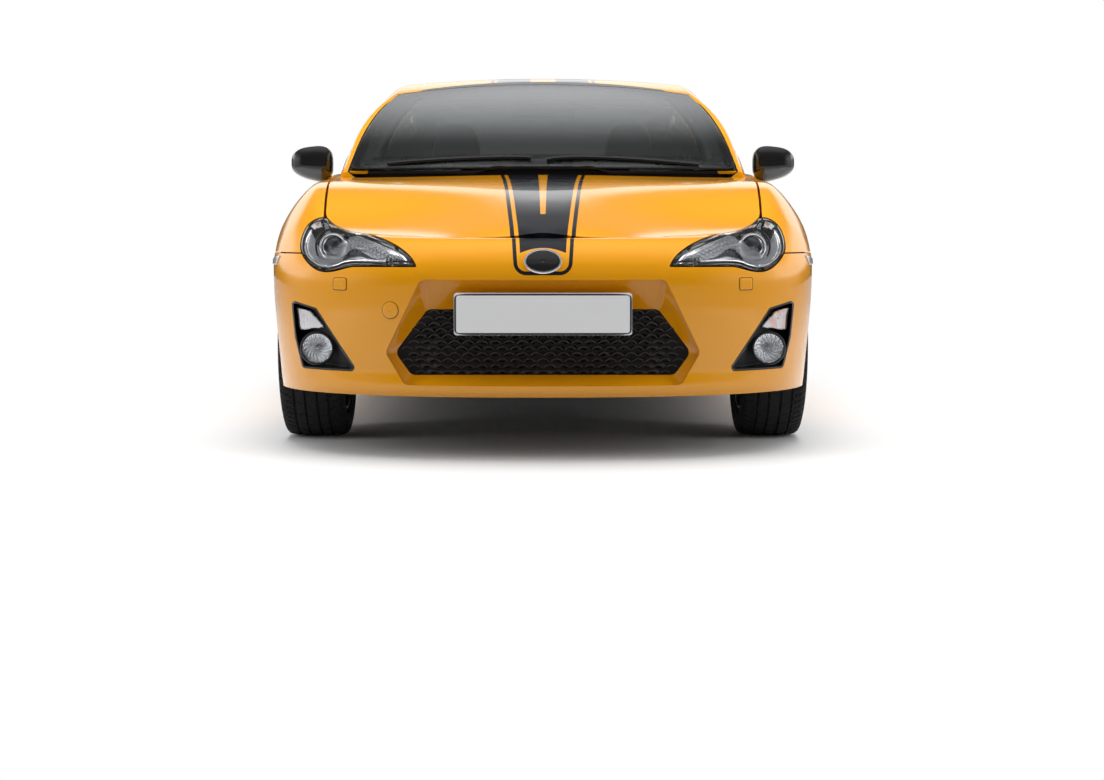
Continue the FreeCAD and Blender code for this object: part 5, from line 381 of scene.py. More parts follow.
# The finishes: colour, roughness and metallic, then the grain's scale and strength
looks = {
    "paint": paintMaterial("amberPaint"),
    "bonnetPaint": paintMaterial("amberPaintBonnet", bonnetStripes),
    "nosePaint": paintMaterial("amberPaintNose", noseStripes),
    "roofPaint": paintMaterial("amberPaintRoof", roofStripes, paintLook["roofLining"]),
    "tailPaint": paintMaterial("amberPaintTail", roofStripes),
    "sidePaint": paintMaterial("amberPaintSides", None, paintLook["lining"]),
    "gloss": grained(newMaterial("glossBlack", (0.008, 0.008, 0.009), 0.08, coat=1.0, coatRoughness=0.03),
                     300, 0.01),
    "plastic": grained(newMaterial("moulded", (0.022, 0.022, 0.024), 0.55), 1500, 0.25),
    "softTrim": grained(newMaterial("dashTrim", (0.018, 0.018, 0.02), 0.7), 900, 0.35),
    "rubber": grained(newMaterial("tyreRubber", (0.012, 0.012, 0.0125), 0.75, specular=0.35), 700, 0.3),
    "rubberTrim": grained(newMaterial("rubberTrim", (0.012, 0.012, 0.012), 0.6), 900, 0.2),
    "fritAndShade": grained(newMaterial("glassBorder", (0.012, 0.012, 0.013), 0.3), 600, 0.05),
    "grilleBlack": grained(newMaterial("grilleMesh", (0.02, 0.02, 0.021), 0.42, coat=0.3), 900, 0.1),
    # Almost lightless black: the real gaps round the lids, and painted shade on the grille's backing, standing
    # for the dark hollow behind the scales
    "gapAndShadeBlack": newMaterial("darkGap", (0.002, 0.002, 0.002), 0.9),
    "steel": grained(newMaterial("bareSteel", (0.10, 0.10, 0.105), 0.5, 0.8), 400, 0.2),
    "iron": grained(newMaterial("castIron", (0.06, 0.06, 0.062), 0.7, 0.5), 250, 0.6),
    "alloy": grained(newMaterial("wheelAlloy", (0.32, 0.33, 0.35), 0.32, 0.9, coat=0.5), 500, 0.05),
    "chrome": newMaterial("brightChrome", (0.88, 0.89, 0.91), 0.12, 0.85),
    "reflector": grained(newMaterial("lampBowl", (0.60, 0.61, 0.63), 0.16, 0.75), 200, 0.05),
    "fogMetal": newMaterial("fogReflector", (0.80, 0.81, 0.83), 0.12, 0.85),
    "darkMetal": grained(newMaterial("lampShade", (0.05, 0.05, 0.055), 0.3, 0.6), 300, 0.1),
    "edgeGrey": newMaterial("bezelEdge", (0.10, 0.115, 0.14), 0.3, 0.2, coat=0.6),
    "screenGlass": screenMaterial(),
    "glass": newMaterial("cabinGlass", (0.70, 0.76, 0.74), 0.0, transmission=1.0, ior=1.45),
    "sideGlass": newMaterial("tintedGlass", (0.30, 0.34, 0.34), 0.0, transmission=1.0, ior=1.45),
    "lens": newMaterial("clearLens", (0.96, 0.97, 0.98), 0.0, transmission=1.0, ior=1.2),
    "domeGlass": newMaterial("projectorLens", (0.05, 0.055, 0.065), 0.03, coat=1.0, coatRoughness=0.02),
    "markerLens": newMaterial("markerLens", (0.72, 0.74, 0.76), 0.12, 0.2, coat=1.0, coatRoughness=0.03),
    "redLens": newMaterial("redLens", (0.55, 0.015, 0.012), 0.08, coat=1.0, coatRoughness=0.03),
    "plate": grained(newMaterial("plateFace", (0.90, 0.905, 0.915), 0.35), 600, 0.03),
    "mirror": newMaterial("mirrorGlass", (0.86, 0.88, 0.9), 0.02, 1.0),
    "cloth": clothMaterial(),
    "indicatorMetal": indicatorMaterial(),
    "tailRed": tailMaterial(),
}
nodeLooks = {
    "paint": "paint", "black_paint": "gloss", "black_plastic": "plastic", "glass": "glass", "lens": "lens",
    "reflector": "reflector", "red_lens": "redLens", "tyre": "rubber", "rim": "alloy", "steel": "steel",
    "iron": "iron", "fabric": "cloth", "dark_trim": "softTrim", "plate": "plate", "mirror": "mirror",
}
ownLooks = {
    "bonnet": "bonnetPaint", "front_bumper": "nosePaint", "roof_panel": "roofPaint", "boot_lid": "tailPaint",
    "rear_bumper": "tailPaint", "body_sides": "sidePaint", "door_left": "sidePaint", "door_right": "sidePaint",
    "windscreen": "screenGlass", "quarter_windows": "sideGlass", "door_glass_left": "sideGlass",
    "door_glass_right": "sideGlass", "rear_window": "glass", "cabin_mirror": "plastic",
    # The grille's backing is painted shade: a lightless black for the hollow behind the scales
    "headlamps": "darkMetal", "grille": "gapAndShadeBlack",
}


def dressNodes():
    slots = {part["node"]: part["material_slot"] for part in frame["record"]["subparts"]}
    for name, node in nodes.items():
        look = looks[ownLooks.get(name, nodeLooks[slots[name]])]
        if not node.material_slots:
            node.data.materials.append(look)
        for slot in node.material_slots:
            slot.material = look


dressNodes()
print("materials made")


# Meshes

def gridFaces(rows, columns, loopRows=False, loopColumns=False):
    # Quads between the neighbours of a grid, joined round where a direction closes
    i = np.arange(rows if loopRows else rows - 1)[:, None]
    j = np.arange(columns if loopColumns else columns - 1)[None, :]
    nextI, nextJ = (i + 1) % rows, (j + 1) % columns
    corners = (i * columns + j, nextI * columns + j, nextI * columns + nextJ, i * columns + nextJ)
    return np.stack(np.broadcast_arrays(*corners), -1).reshape(-1, 4)


class Shape:
    # Grids of points and their faces, added up before they become one mesh
    def __init__(self):
        self.points = []
        self.faces = []
        self.count = 0

    def grid(self, points, loopRows=False, loopColumns=False, capRows=False):
        rows, columns = points.shape[:2]
        faces = gridFaces(rows, columns, loopRows, loopColumns).tolist()
        if capRows:
            faces.append(list(range(columns))[::-1])
            faces.append(list(range((rows - 1) * columns, rows * columns)))
        self.points.append(points.reshape(-1, 3))
        self.faces.extend([[self.count + corner for corner in face] for face in faces])
        self.count += rows * columns
        return self


def ringGrid(rows):
    return Shape().grid(rows, loopColumns=True)


def torusGrid(rows):
    return Shape().grid(rows, loopColumns=True, loopRows=True)


def makePiece(name, shape, look, body="car_body", wall=0.0, smooth=True, outward=True, weld=0.0):
    mesh = bpy.data.meshes.new(name)
    mesh.from_pydata(np.concatenate(shape.points).tolist(), [], shape.faces)
    mesh.materials.append(looks[look])
    if outward:
        work = bmesh.new()
        work.from_mesh(mesh)
        if weld:
            bmesh.ops.remove_doubles(work, verts=work.verts, dist=weld)
        bmesh.ops.recalc_face_normals(work, faces=work.faces)
        work.to_mesh(mesh)
        work.free()
    mesh.validate()
    mesh.polygons.foreach_set("use_smooth", [smooth] * len(mesh.polygons))
    piece = bpy.data.objects.new(name, mesh)
    bpy.context.scene.collection.objects.link(piece)
    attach(piece, body)
    if wall:
        mod = piece.modifiers.new("Solidify", "SOLIDIFY")
        mod.thickness = wall
        mod.offset = 0
        mod.use_even_offset = False
    return piece


steepPath = 0.85         # a path that climbs more than this takes the car's length as its upright


def sideAndUp(path, closed):
    # Two directions square to a path, the second kept as near to upright as the path lets it
    tangent = np.roll(path, -1, 0) - np.roll(path, 1, 0) if closed else np.gradient(path, axis=0)
    tangent /= np.linalg.norm(tangent, axis=1, keepdims=True)
    steep = np.abs(tangent[:, 2]).mean() >= steepPath
    side = np.cross(tangent, (0.0, 1.0, 0.0) if steep else (0.0, 0.0, 1.0))
    side /= np.linalg.norm(side, axis=1, keepdims=True)
    return side, np.cross(side, tangent)


def tubeAlong(shape, path, width, tall=None, corners=10, closed=False):
    # A round or oval bar: at each point of the path stands side * cos(turn) + up * sin(turn)
    path = np.asarray(path, float)
    tall = width if tall is None else tall
    side, up = sideAndUp(path, closed)
    turn = np.linspace(0, math.tau, corners, endpoint=False)[None, :, None]
    width, tall = (
        np.broadcast_to(np.asarray(size, float).reshape(-1, 1, 1), (len(path), 1, 1)) for size in (width, tall)
    )
    ring = path[:, None] + side[:, None] * np.cos(turn) * width / 2 + up[:, None] * np.sin(turn) * tall / 2
    return shape.grid(ring, loopRows=closed, loopColumns=True, capRows=not closed)


def smoothPath(corners, count, closed=False):
    # Points evenly along a curve through the corners, each stretch a cubic blend
    corners = np.asarray(corners, float)
    if closed:
        ring = np.concatenate([corners[-1:], corners, corners[:2]])
    else:
        ring = np.concatenate([2 * corners[:1] - corners[1:2], corners, 2 * corners[-1:] - corners[-2:-1]])
    spans = len(corners) if closed else len(corners) - 1
    t = np.linspace(0, spans, count, endpoint=not closed)
    k = np.minimum(t.astype(int), spans - 1)
    u = (t - k)[:, None]
    a, b, c, d = ring[k], ring[k + 1], ring[k + 2], ring[k + 3]
    return 0.5 * (2 * b + (c - a) * u + (2 * a - 5 * b + 4 * c - d) * u ** 2 + (3 * b - a - 3 * c + d) * u ** 3)


def turned(middle, profile, count, start=0.0):
    # A profile of radius and depth revolved about a line from nose to tail
    profile = np.asarray(profile, float)
    turn = np.linspace(0, math.tau, count, endpoint=False) + start
    return middle + points3(profile[:, :1] * np.cos(turn), profile[:, 1:], profile[:, :1] * np.sin(turn))


def rowsBetween(first, last, count):
    return np.stack([first + (last - first) * share for share in np.linspace(0, 1, count)])


trees = {}


def meshOf(name):
    # A CAD node's surface, ready for rays
    if name not in trees:
        mesh = nodes[name].data
        faces = [list(face.vertices) for face in mesh.polygons]
        trees[name] = BVHTree.FromPolygons([Vector(corner) for corner in cornersOf(mesh)], faces)
    return trees[name]


def cornersOf(mesh):
    corners = np.empty(len(mesh.vertices) * 3)
    mesh.vertices.foreach_get("co", corners)
    return corners.reshape(-1, 3)


def castOn(name, points, lift=0.0, direction=forward):
    # Each point is carried along a direction on to the CAD node's surface, then lifted back by a little.
    # A point that would pass beside the node goes to its nearest spot.
    tree = meshOf(name)
    ray = Vector(direction).normalized()
    flat = np.asarray(points, float).reshape(-1, 3)
    hits = [tree.ray_cast(Vector(point) - ray * castReach, ray, castReach * 2)[0] for point in flat]
    depth = np.mean([np.dot(hit, ray) for hit in hits if hit is not None])
    for number, hit in enumerate(hits):
        if hit is None:
            spot = Vector(flat[number])
            hits[number] = tree.find_nearest(spot + ray * (depth - spot.dot(ray)))[0]
    return np.array([tuple(hit - ray * lift) for hit in hits]).reshape(np.asarray(points).shape)


def frontOutline(corners, count):
    # A smooth closed outline in the plane across the car, from x and z in millimetres
    return smoothPath([(x / 1000, 0.0, z / 1000) for x, z in corners], count, True)


def shrink(outline, width):
    # The outline moved inwards by a width along its own normals, in the plane across the car
    ahead = np.roll(outline, -1, 0) - np.roll(outline, 1, 0)
    normal = np.stack([ahead[:, 2], 0 * ahead[:, 0], -ahead[:, 0]], -1)
    normal /= np.linalg.norm(normal, axis=1, keepdims=True)
    turn = np.sum(outline[:, 0] * np.roll(outline[:, 2], -1) - outline[:, 2] * np.roll(outline[:, 0], -1))
    return outline - normal * width * (1 if turn > 0 else -1)


def discRows(outline, rings, smallest=0.02):
    # Rings that shrink from an outline almost to its middle
    middle = outline.mean(0)
    shares = np.linspace(1, smallest, rings)[:, None, None]
    return middle + (outline - middle)[None] * shares


print("tools ready")


# Head lamps: places in metres on the left lamp, lifts ahead of the lens's own face

lampLook = {
    "outline": [(692, 729), (727, 731), (751, 714), (765, 675), (761, 633), (739, 604), (707, 580), (669, 571),
                (629, 578), (582, 591), (444, 589), (386, 591), (396, 607), (428, 636), (559, 686)],
    "border": 0.011, "borderLift": -0.002, "borderWall": 0.002,
    "projector": (0.653, 0, 0.645), "projectorLift": -0.006,
    "bowlLift": -0.004, "bowlDepth": 0.030, "bowlReach": 0.93, "bowlWall": 0.0015,
    "ring": [(0.043, 0.026), (0.043, 0.010), (0.041, 0.006), (0.037, 0.006), (0.036, 0.010), (0.034, 0.013),
             (0.033, 0.020), (0.031, 0.026)],
    "dome": (0.030, 0.012, 0.014),
    "collar": [(0.051, 0.018), (0.055, 0.014), (0.058, 0.018), (0.055, 0.022)],
}
stripLook = {"path": [(0.598, 0, 0.664), (0.55, 0, 0.655), (0.50, 0, 0.636), (0.45, 0, 0.614),
                      (0.418, 0, 0.600)],
             "cups": 17, "drops": (0.0, 0.012, 0.024), "lift": -0.006, "wall": 0.0008,
             "cup": [(0.0062, 0.0), (0.00341, 0.006), (0.00062, 0.008)]}
wedgeLook = {"path": [(0.600, 0, 0.625), (0.575, 0, 0.638), (0.52, 0, 0.612), (0.462, 0, 0.598),
                      (0.55, 0, 0.597), (0.612, 0, 0.601)], "lift": -0.007, "depth": 0.008, "wall": 0.001}
crescentLook = {"path": [(0.735, 0, 0.700), (0.747, 0, 0.672), (0.745, 0, 0.640), (0.729, 0, 0.613),
                         (0.700, 0, 0.594), (0.665, 0, 0.586)], "lift": -0.006, "width": 0.013, "tall": 0.004,
                "tip": 0.12}
lensNode = "headlamp_lenses"


def lampBowl(side, flip):
    # A black strip behind the lens's edge, then rings towards the projector, whose depth is a sine of their way
    outline = frontOutline(lampLook["outline"], 120)
    rim = shrink(outline, lampLook["border"]) * flip
    outerLine = castOn(lensNode, outline * flip, lampLook["borderLift"])
    innerLine = castOn(lensNode, rim, lampLook["borderLift"])
    border = ringGrid(rowsBetween(outerLine, innerLine, 4))
    makePiece(f"lamp_border_{side}", border, "gloss", wall=lampLook["borderWall"])
    shares = np.linspace(0, 1, 14)[:, None, None]
    aim = np.array(lampLook["projector"]) * flip
    flat = rim[None] + (aim - rim)[None] * shares * lampLook["bowlReach"]
    face = castOn(lensNode, flat, lampLook["bowlLift"])
    face[..., 1] += np.sin(shares[..., 0] * math.pi / 2) * lampLook["bowlDepth"]
    makePiece(f"lamp_bowl_{side}", ringGrid(face), "reflector", wall=lampLook["bowlWall"], outward=False)


def lampProjector(side, flip):
    # A barrel with a chrome ring, a dished lens and a dark collar, all revolved
    middle = castOn(lensNode, (np.array(lampLook["projector"]) * flip)[None], lampLook["projectorLift"])[0]
    makePiece(f"lamp_ring_{side}", torusGrid(turned(middle, lampLook["ring"], 64)), "chrome")
    radius, depth, rise = lampLook["dome"]
    share = np.linspace(0.02, 1, 12)
    dome = turned(middle, np.stack([share * radius, depth + rise * share ** 2], 1), 64)
    makePiece(f"lamp_dome_{side}", Shape().grid(dome, loopColumns=True, capRows=True), "domeGlass")
    makePiece(f"lamp_collar_{side}", torusGrid(turned(middle, lampLook["collar"], 64)), "darkMetal")


def lampStrip(side, flip):
    # Daylight strip: small six-sided cups in rows along the upper edge, each turned a little further
    cups = Shape()
    spots = smoothPath(stripLook["path"], stripLook["cups"])
    for row, drop in enumerate(stripLook["drops"]):
        places = spots[:stripLook["cups"] - row * 2] - np.array([0, 0, drop])
        for number, spot in enumerate(castOn(lensNode, places * flip, stripLook["lift"])):
            cups.grid(turned(spot, stripLook["cup"], 6, number), loopColumns=True)
    makePiece(f"lamp_strip_{side}", cups, "chrome", wall=stripLook["wall"], smooth=False, outward=False)


def lampTrim(side, flip):
    # A dark wedge in the lower middle, and a bright crescent along the bowl's outer edge, widest amid
    wedge = castOn(lensNode, smoothPath(wedgeLook["path"], 40, True) * flip, wedgeLook["lift"])
    rows = discRows(wedge, 6)
    rows[..., 1] += np.linspace(0, wedgeLook["depth"], 6)[:, None]
    makePiece(f"lamp_wedge_{side}", ringGrid(rows), "darkMetal", wall=wedgeLook["wall"], outward=False)
    edge = castOn(lensNode, smoothPath(crescentLook["path"], 40) * flip, crescentLook["lift"])
    tip = crescentLook["tip"]
    breadth = np.sin(np.linspace(tip, math.pi - tip, 40)) * crescentLook["width"]
    makePiece(f"lamp_crescent_{side}", tubeAlong(Shape(), edge, breadth, crescentLook["tall"], 12), "chrome")


for side, flip in sides:
    lampBowl(side, flip)
    lampProjector(side, flip)
    lampStrip(side, flip)
    lampTrim(side, flip)
print("head lamps made")


# Grille: rows of overlapping scale arcs

grilleLook = {"pitch": 0.0415, "rise": 0.0185, "bar": 0.0034, "depth": 0.010, "arch": 0.72, "sag": 0.004,
              "proud": 0.001, "foot": 0.012, "top": 0.004, "over": 0.010, "tallness": 1.5, "drop": 0.4,
              "heights": (0.250, 0.324, 0.458), "reaches": (0.402, 0.451, 0.352)}


def grillePiece():
    # Each scale is a parabola, high in its middle, with its foot leaning back into the row below
    low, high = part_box("grille")
    pitch, rise, bar = grilleLook["pitch"], grilleLook["rise"], grilleLook["bar"]
    face = low[1] - grilleLook["proud"]
    mesh = Shape()
    u = np.linspace(-1, 1, 9)
    for number, z in enumerate(np.arange(low[2] + grilleLook["foot"], high[2] - grilleLook["top"], rise)):
        reach = np.interp(z, grilleLook["heights"], grilleLook["reaches"]) + grilleLook["over"]
        shift = pitch / 2 * (number % 2)
        count = int(reach / pitch) + 1
        for k in range(-count - 1, count + 2):
            x = k * pitch + shift
            if abs(x) + pitch / 2 > reach:
                continue
            height = z + rise * grilleLook["arch"] * (1 - u ** 2)
            arc = points3(x + u * pitch / 2, face + grilleLook["sag"] * u ** 2, height)
            tubeAlong(mesh, arc, bar, bar * grilleLook["tallness"], 5)
            lean = np.stack([arc, arc + np.array([0, grilleLook["depth"], -rise / 2])])
            lean[..., 2] -= bar * grilleLook["drop"]
            mesh.grid(lean)
    makePiece("grille_scales", mesh, "grilleBlack", outward=False)


grillePiece()
print("grille made")


# Nose details: the ring with its plain dish, the washer lids and the tow lid

noseLook = {"ring": (0.0, 0.604), "half": 0.054, "tall": 0.0345, "bar": 0.006, "ringLift": 0.004,
            "dishInset": 0.002, "dishLift": 0.002, "dishWall": 0.002}
lidLook = {"gapLift": 0.0004, "wall": 0.0012,
           "washer": {"spot": (0.622, 0.5325), "half": (0.0225, 0.0195), "gap": 0.0016, "power": 7.0},
           "tow": {"spot": (-0.462, 0.455), "half": (0.0255, 0.0265), "gap": 0.0014, "power": 2.0}}


def oval(x, z, half, tall, count=64, power=2.0):
    # A rounded box or oval: |x|^p + |z|^p is constant
    turn = np.linspace(0, math.tau, count, endpoint=False)
    c, s = (np.sign(wave) * np.abs(wave) ** (2 / power) for wave in (np.cos(turn), np.sin(turn)))
    return points3(x + c * half, 0.0, z + s * tall)


def noseDisc(outline, rings, lift):
    # A disc whose every ring lies on the bumper
    rows = discRows(castOn("front_bumper", outline, lift), rings)
    rows[..., 1] = castOn("front_bumper", rows, lift)[..., 1]
    return ringGrid(rows)


def noseLid(name, ending, spot, half, gap, power):
    # A fine dark gap with the lid inside it
    for part, inset, look, lift in (("gap", 0.0, "gapAndShadeBlack", lidLook["gapLift"]), ("lid", gap, "paint", gap)):
        outline = oval(*spot, half[0] - inset, half[1] - inset, 48, power)
        makePiece(f"{name}_{part}{ending}", noseDisc(outline, 6, lift), look, wall=lidLook["wall"])


def nosePieces():
    half, tall, inset = noseLook["half"], noseLook["tall"], noseLook["dishInset"]
    ring = castOn("front_bumper", oval(*noseLook["ring"], half, tall, 72), noseLook["ringLift"])
    makePiece("nose_ring", tubeAlong(Shape(), ring, noseLook["bar"], closed=True), "chrome")
    dish = noseDisc(oval(*noseLook["ring"], half - inset, tall - inset, 72), 7, noseLook["dishLift"])
    makePiece("nose_dish", dish, "gloss", wall=noseLook["dishWall"])
    for side, flip in sides:
        x, z = lidLook["washer"]["spot"]
        noseLid("washer", f"_{side}", **{**lidLook["washer"], "spot": (x * flip[0], z)})
    noseLid("tow", "", **lidLook["tow"])


nosePieces()
print("nose details made")


# Number plate: a dark frame round the front one's blank face

plateLook = {"half": 0.260, "tall": 0.056, "z": 0.4455, "border": 0.006, "lap": 0.002, "power": 14.0,
             "faces": (0.0015, 0.0005, 0.0025), "back": 0.008}


def plateFrame():
    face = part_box("number_plates")[0][1]
    rimIn, rimOut = (
        oval(0, plateLook["z"], plateLook["half"] + grow, plateLook["tall"] + grow, 96, plateLook["power"])
        for grow in (-plateLook["lap"], plateLook["border"])
    )
    rows = rowsBetween(rimIn, rimOut, 3)
    rows[..., 1] = face + np.array(plateLook["faces"])[:, None]
    back = rows[::-1].copy()
    back[..., 1] = face + plateLook["back"]
    makePiece("plate_frame_front", torusGrid(np.concatenate([rows, back])), "plastic")


plateFrame()
print("plate frame made")


# Glass borders: the rim of a pane's outer face, found round its middle

# The windscreen's width is more than a real black border: the rest is painted shade of the cabin behind the
# glass
paneLook = {"windscreen": {"facing": (0, -0.5, 0.86), "width": 0.118},
            "rear_window": {"facing": (0, 0.35, 0.93), "width": 0.055},
            "outward": 0.35, "samples": 30, "edge": 0.004, "lift": -0.0025, "wall": 0.0008,
            "narrow": 0.8, "topStart": 0.93, "topSpan": 0.05, "angleShare": 0.6, "hair": 1e-6}
footLook = {"band": 0.085, "grow": 0.004, "scale": (0.985, 1, 1), "shift": (0, 0.012, 0.006), "lift": 0.001,
            "seat": (0, -0.004, 0.001), "width": 0.014, "tall": 0.007}


def paneRim(name, facing, count=220):
    # Edges that only one outward face uses make the rim, whose farthest points round the middle are kept
    mesh = nodes[name].data
    corners = cornersOf(mesh)
    normals = np.empty(len(mesh.polygons) * 3)
    mesh.polygons.foreach_get("normal", normals)
    facing = np.array(facing, float) / np.linalg.norm(facing)
    outer = normals.reshape(-1, 3) @ facing > paneLook["outward"]
    uses = {}
    for face, keep in zip(mesh.polygons, outer):
        if keep:
            for key in face.edge_keys:
                uses[key] = uses.get(key, 0) + 1
    edges = np.array([key for key, number in uses.items() if number == 1])
    share = np.linspace(0, 1, paneLook["samples"])[None, :, None]
    cloud = (corners[edges[:, :1]] * (1 - share) + corners[edges[:, 1:]] * share).reshape(-1, 3)
    across = np.cross([0.0, 0.0, 1.0], facing)
    across /= np.linalg.norm(across)
    along = np.cross(facing, across)
    middle = (cloud.max(0) + cloud.min(0)) / 2
    flat = np.stack([(cloud - middle) @ across, (cloud - middle) @ along], -1)
    angle = np.arctan2(flat[:, 1], flat[:, 0])
    reach = np.hypot(flat[:, 0], flat[:, 1])
    aims = np.linspace(-math.pi, math.pi, count, endpoint=False)
    rim = []
    for aim in aims:
        gap = np.abs((angle - aim + math.pi) % math.tau - math.pi)
        widest = max(math.tau / count * paneLook["angleShare"], gap.min() + paneLook["hair"])
        rim.append(reach[gap < widest].max())
    return middle, across, along, aims, np.array(rim)


def rimPoints(pane, inset):
    # The rim, smoothed a little and moved inwards by a width, square to itself
    middle, across, along, aims, rim = pane
    flat = points3(np.cos(aims) * rim, 0.0, np.sin(aims) * rim)
    flat = (np.roll(flat, 1, 0) + flat * 2 + np.roll(flat, -1, 0)) / 4
    moved = shrink(flat, inset)
    return middle + moved[:, :1] * across + moved[:, 2:] * along


def paneBorder(node):
    # The strip is wide along the sides and the foot and narrow along the top; on the windscreen it reaches past
    # a real black border into painted shade, the dark cabin seen through the glass
    facing, width = paneLook[node]["facing"], paneLook[node]["width"]
    pane = paneRim(node, facing)
    aim, lift = -np.array(facing, float), paneLook["lift"]
    outer = castOn(node, rimPoints(pane, paneLook["edge"]), lift, aim)
    inner = rimPoints(pane, width)
    rise = (outer[:, 2] - outer[:, 2].min()) / np.ptp(outer[:, 2])
    share = 1 - paneLook["narrow"] * np.clip((rise - paneLook["topStart"]) / paneLook["topSpan"], 0, 1)
    inner = castOn(node, outer + (inner - outer) * share[:, None], lift, aim)
    rows = rowsBetween(outer, inner, 4)
    rows[1:3] = castOn(node, rows[1:3], lift, aim)
    makePiece(f"{node}_border", ringGrid(rows), "fritAndShade", wall=paneLook["wall"])
    return pane


def footStrip(pane):
    # A rubber strip along the windscreen's foot
    rim = rimPoints(pane, -footLook["grow"])
    foot = rim[rim[:, 2] < rim[:, 2].min() + footLook["band"]]
    foot = foot[np.argsort(foot[:, 0])] * np.array(footLook["scale"]) + np.array(footLook["shift"])
    down = -np.array(paneLook["windscreen"]["facing"])
    foot = castOn("windscreen", foot, footLook["lift"], down) + np.array(footLook["seat"])
    strip = tubeAlong(Shape(), foot, footLook["width"], footLook["tall"], 8)
    makePiece("windscreen_foot_strip", strip, "rubberTrim")


screenPane = paneBorder("windscreen")
paneBorder("rear_window")
footStrip(screenPane)
print("glass borders made")


# Tyres with tread

tyreLook = {"rows": 300, "rimRadius": 0.222, "beadPoints": 6,
            "tread": 0.80, "crown": 0.0045, "shoulder": 0.17, "drop": 0.019, "fall": 0.004,
            "bulge": 0.03, "tuck": 0.16, "tuckPower": 2.2, "ledge": 0.0012, "ledges": 3,
            "depth": 0.0065, "grooves": (-0.056, -0.0195, 0.0195, 0.056), "grooveHalf": 0.0045,
            "blocks": 75, "slant": 18, "blockStart": 0.062, "blockEnd": 0.93, "treadEnd": 0.86,
            "outerSlot": 0.27, "outerDepth": 0.7, "innerSlot": 0.14, "innerShift": 0.3, "innerDepth": 0.35}


def tyreProfile(half, radius):
    # From one rim across the tread to the other: a cubic crown, quarter-round shoulders, walls bulged by a sine
    tread = np.linspace(-tyreLook["tread"], tyreLook["tread"], 49) * half
    crown = radius - tyreLook["crown"] * (np.abs(tread) / (tyreLook["tread"] * half)) ** 3
    turn = np.linspace(0.15, 1, 7)
    quarter = turn * math.pi / 2
    shoulderX = half * (tyreLook["tread"] + tyreLook["shoulder"] * np.sin(quarter))
    shoulderR = radius - tyreLook["crown"] - tyreLook["drop"] * (1 - np.cos(quarter)) - tyreLook["fall"] * turn
    wall = np.linspace(0.08, 1, 10)
    widest = tyreLook["tread"] + tyreLook["shoulder"]
    tuck = tyreLook["tuck"] * wall ** tyreLook["tuckPower"]
    wallX = half * (widest + tyreLook["bulge"] * np.sin(wall * math.pi) - tuck)
    wallX += tyreLook["ledge"] * np.sin(wall * math.tau * tyreLook["ledges"])
    wallR = shoulderR[-1] + (tyreLook["rimRadius"] - shoulderR[-1]) * wall
    sideX = np.concatenate([shoulderX, wallX])
    sideR = np.concatenate([shoulderR, wallR])
    return np.concatenate([-sideX[::-1], tread, sideX]), np.concatenate([sideR[::-1], crown, sideR])


def treadSink(across, angle, half):
    # How deep the tread is cut: round grooves, slanting slots between the shoulder blocks, fine slots amid
    far = np.abs(across)
    sink = np.zeros((len(angle), len(across)))
    for groove in tyreLook["grooves"]:
        sink = np.maximum(sink, np.abs(across - groove) < tyreLook["grooveHalf"])
    slant = angle * tyreLook["blocks"] / math.tau + far * tyreLook["slant"]
    outer = (far > tyreLook["blockStart"]) & (far < tyreLook["blockEnd"] * half)
    slots = ((slant % 1) < tyreLook["outerSlot"]) & outer
    sink = np.maximum(sink, slots * tyreLook["outerDepth"])
    fine = ((slant / 2 + tyreLook["innerShift"]) % 1) < tyreLook["innerSlot"]
    amid = (far <= tyreLook["treadEnd"] * half) & ~outer
    return np.maximum(sink, (fine & amid) * tyreLook["innerDepth"]) * tyreLook["depth"]


def tyrePiece(place):
    # The profile revolved about the axle, and a bead that closes it on the rim's side
    node = f"tyre_{place}"
    low, high = (np.array(corner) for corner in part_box(node))
    middle = (low + high) / 2
    half, _, radius = (high - low) / 2
    across, reach = tyreProfile(half, radius)
    angle = np.linspace(0, math.tau, tyreLook["rows"], endpoint=False)[:, None]
    treaded = reach[None] - treadSink(across, angle, half)
    bead = np.linspace(across[-1], across[0], tyreLook["beadPoints"])[None]
    shape = Shape()
    for x, r in ((across[None], treaded), (bead, tyreLook["rimRadius"])):
        ring = points3(middle[0] + x, middle[1] + r * np.cos(angle), middle[2] + r * np.sin(angle))
        shape.grid(ring, loopRows=True)
    piece = makePiece(f"tread_{place}", shape, "rubber", f"wheel_{place}", smooth=False, weld=0.00001)
    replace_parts(piece, node)


for place in ("front_left", "front_right", "rear_left", "rear_right"):
    tyrePiece(place)
print("tyres made")


# Fog lamps and indicators

fogLook = {
    "centre": (0.704, 0, 0.329), "radius": 0.0455, "rings": 12, "depth": 0.030, "rise": -0.026,
    "facets": 16, "facetDepth": 0.0016, "facetTwist": 1.6, "wall": 0.001,
    "rim": [(0.0465, 0.012), (0.0465, -0.001), (0.0495, -0.003), (0.0535, 0.002), (0.0535, 0.012)],
    "lensRise": 0.004, "lensWall": 0.002,
    "stem": (0.006, 0.026), "bulb": (0.004, 0.008, 0.011, 0.012, 0.012, 0.012, 0.012, 0.012),
    "bezel": [(789, 473), (762, 470), (719, 458), (698, 440), (640, 366), (575, 284), (570, 268), (583, 265),
              (660, 271), (739, 279), (768, 300), (781, 360), (788, 416)],
    "edgeInset": 0.006, "edgeWidth": 0.0036, "edgeTall": 0.003,
}
signalLook = {
    "outline": [(776, 464), (750, 466), (726, 463), (700, 436), (673, 398), (700, 384), (740, 381), (765, 384),
                (771, 425)],
    "inset": 0.005, "lift": 0.0004, "ribs": 620, "ribDepth": 0.0011, "wall": 0.001,
    "rimInsets": (0.004, 0.008), "rimLift": 0.0015, "rimCrown": 0.0012,
}


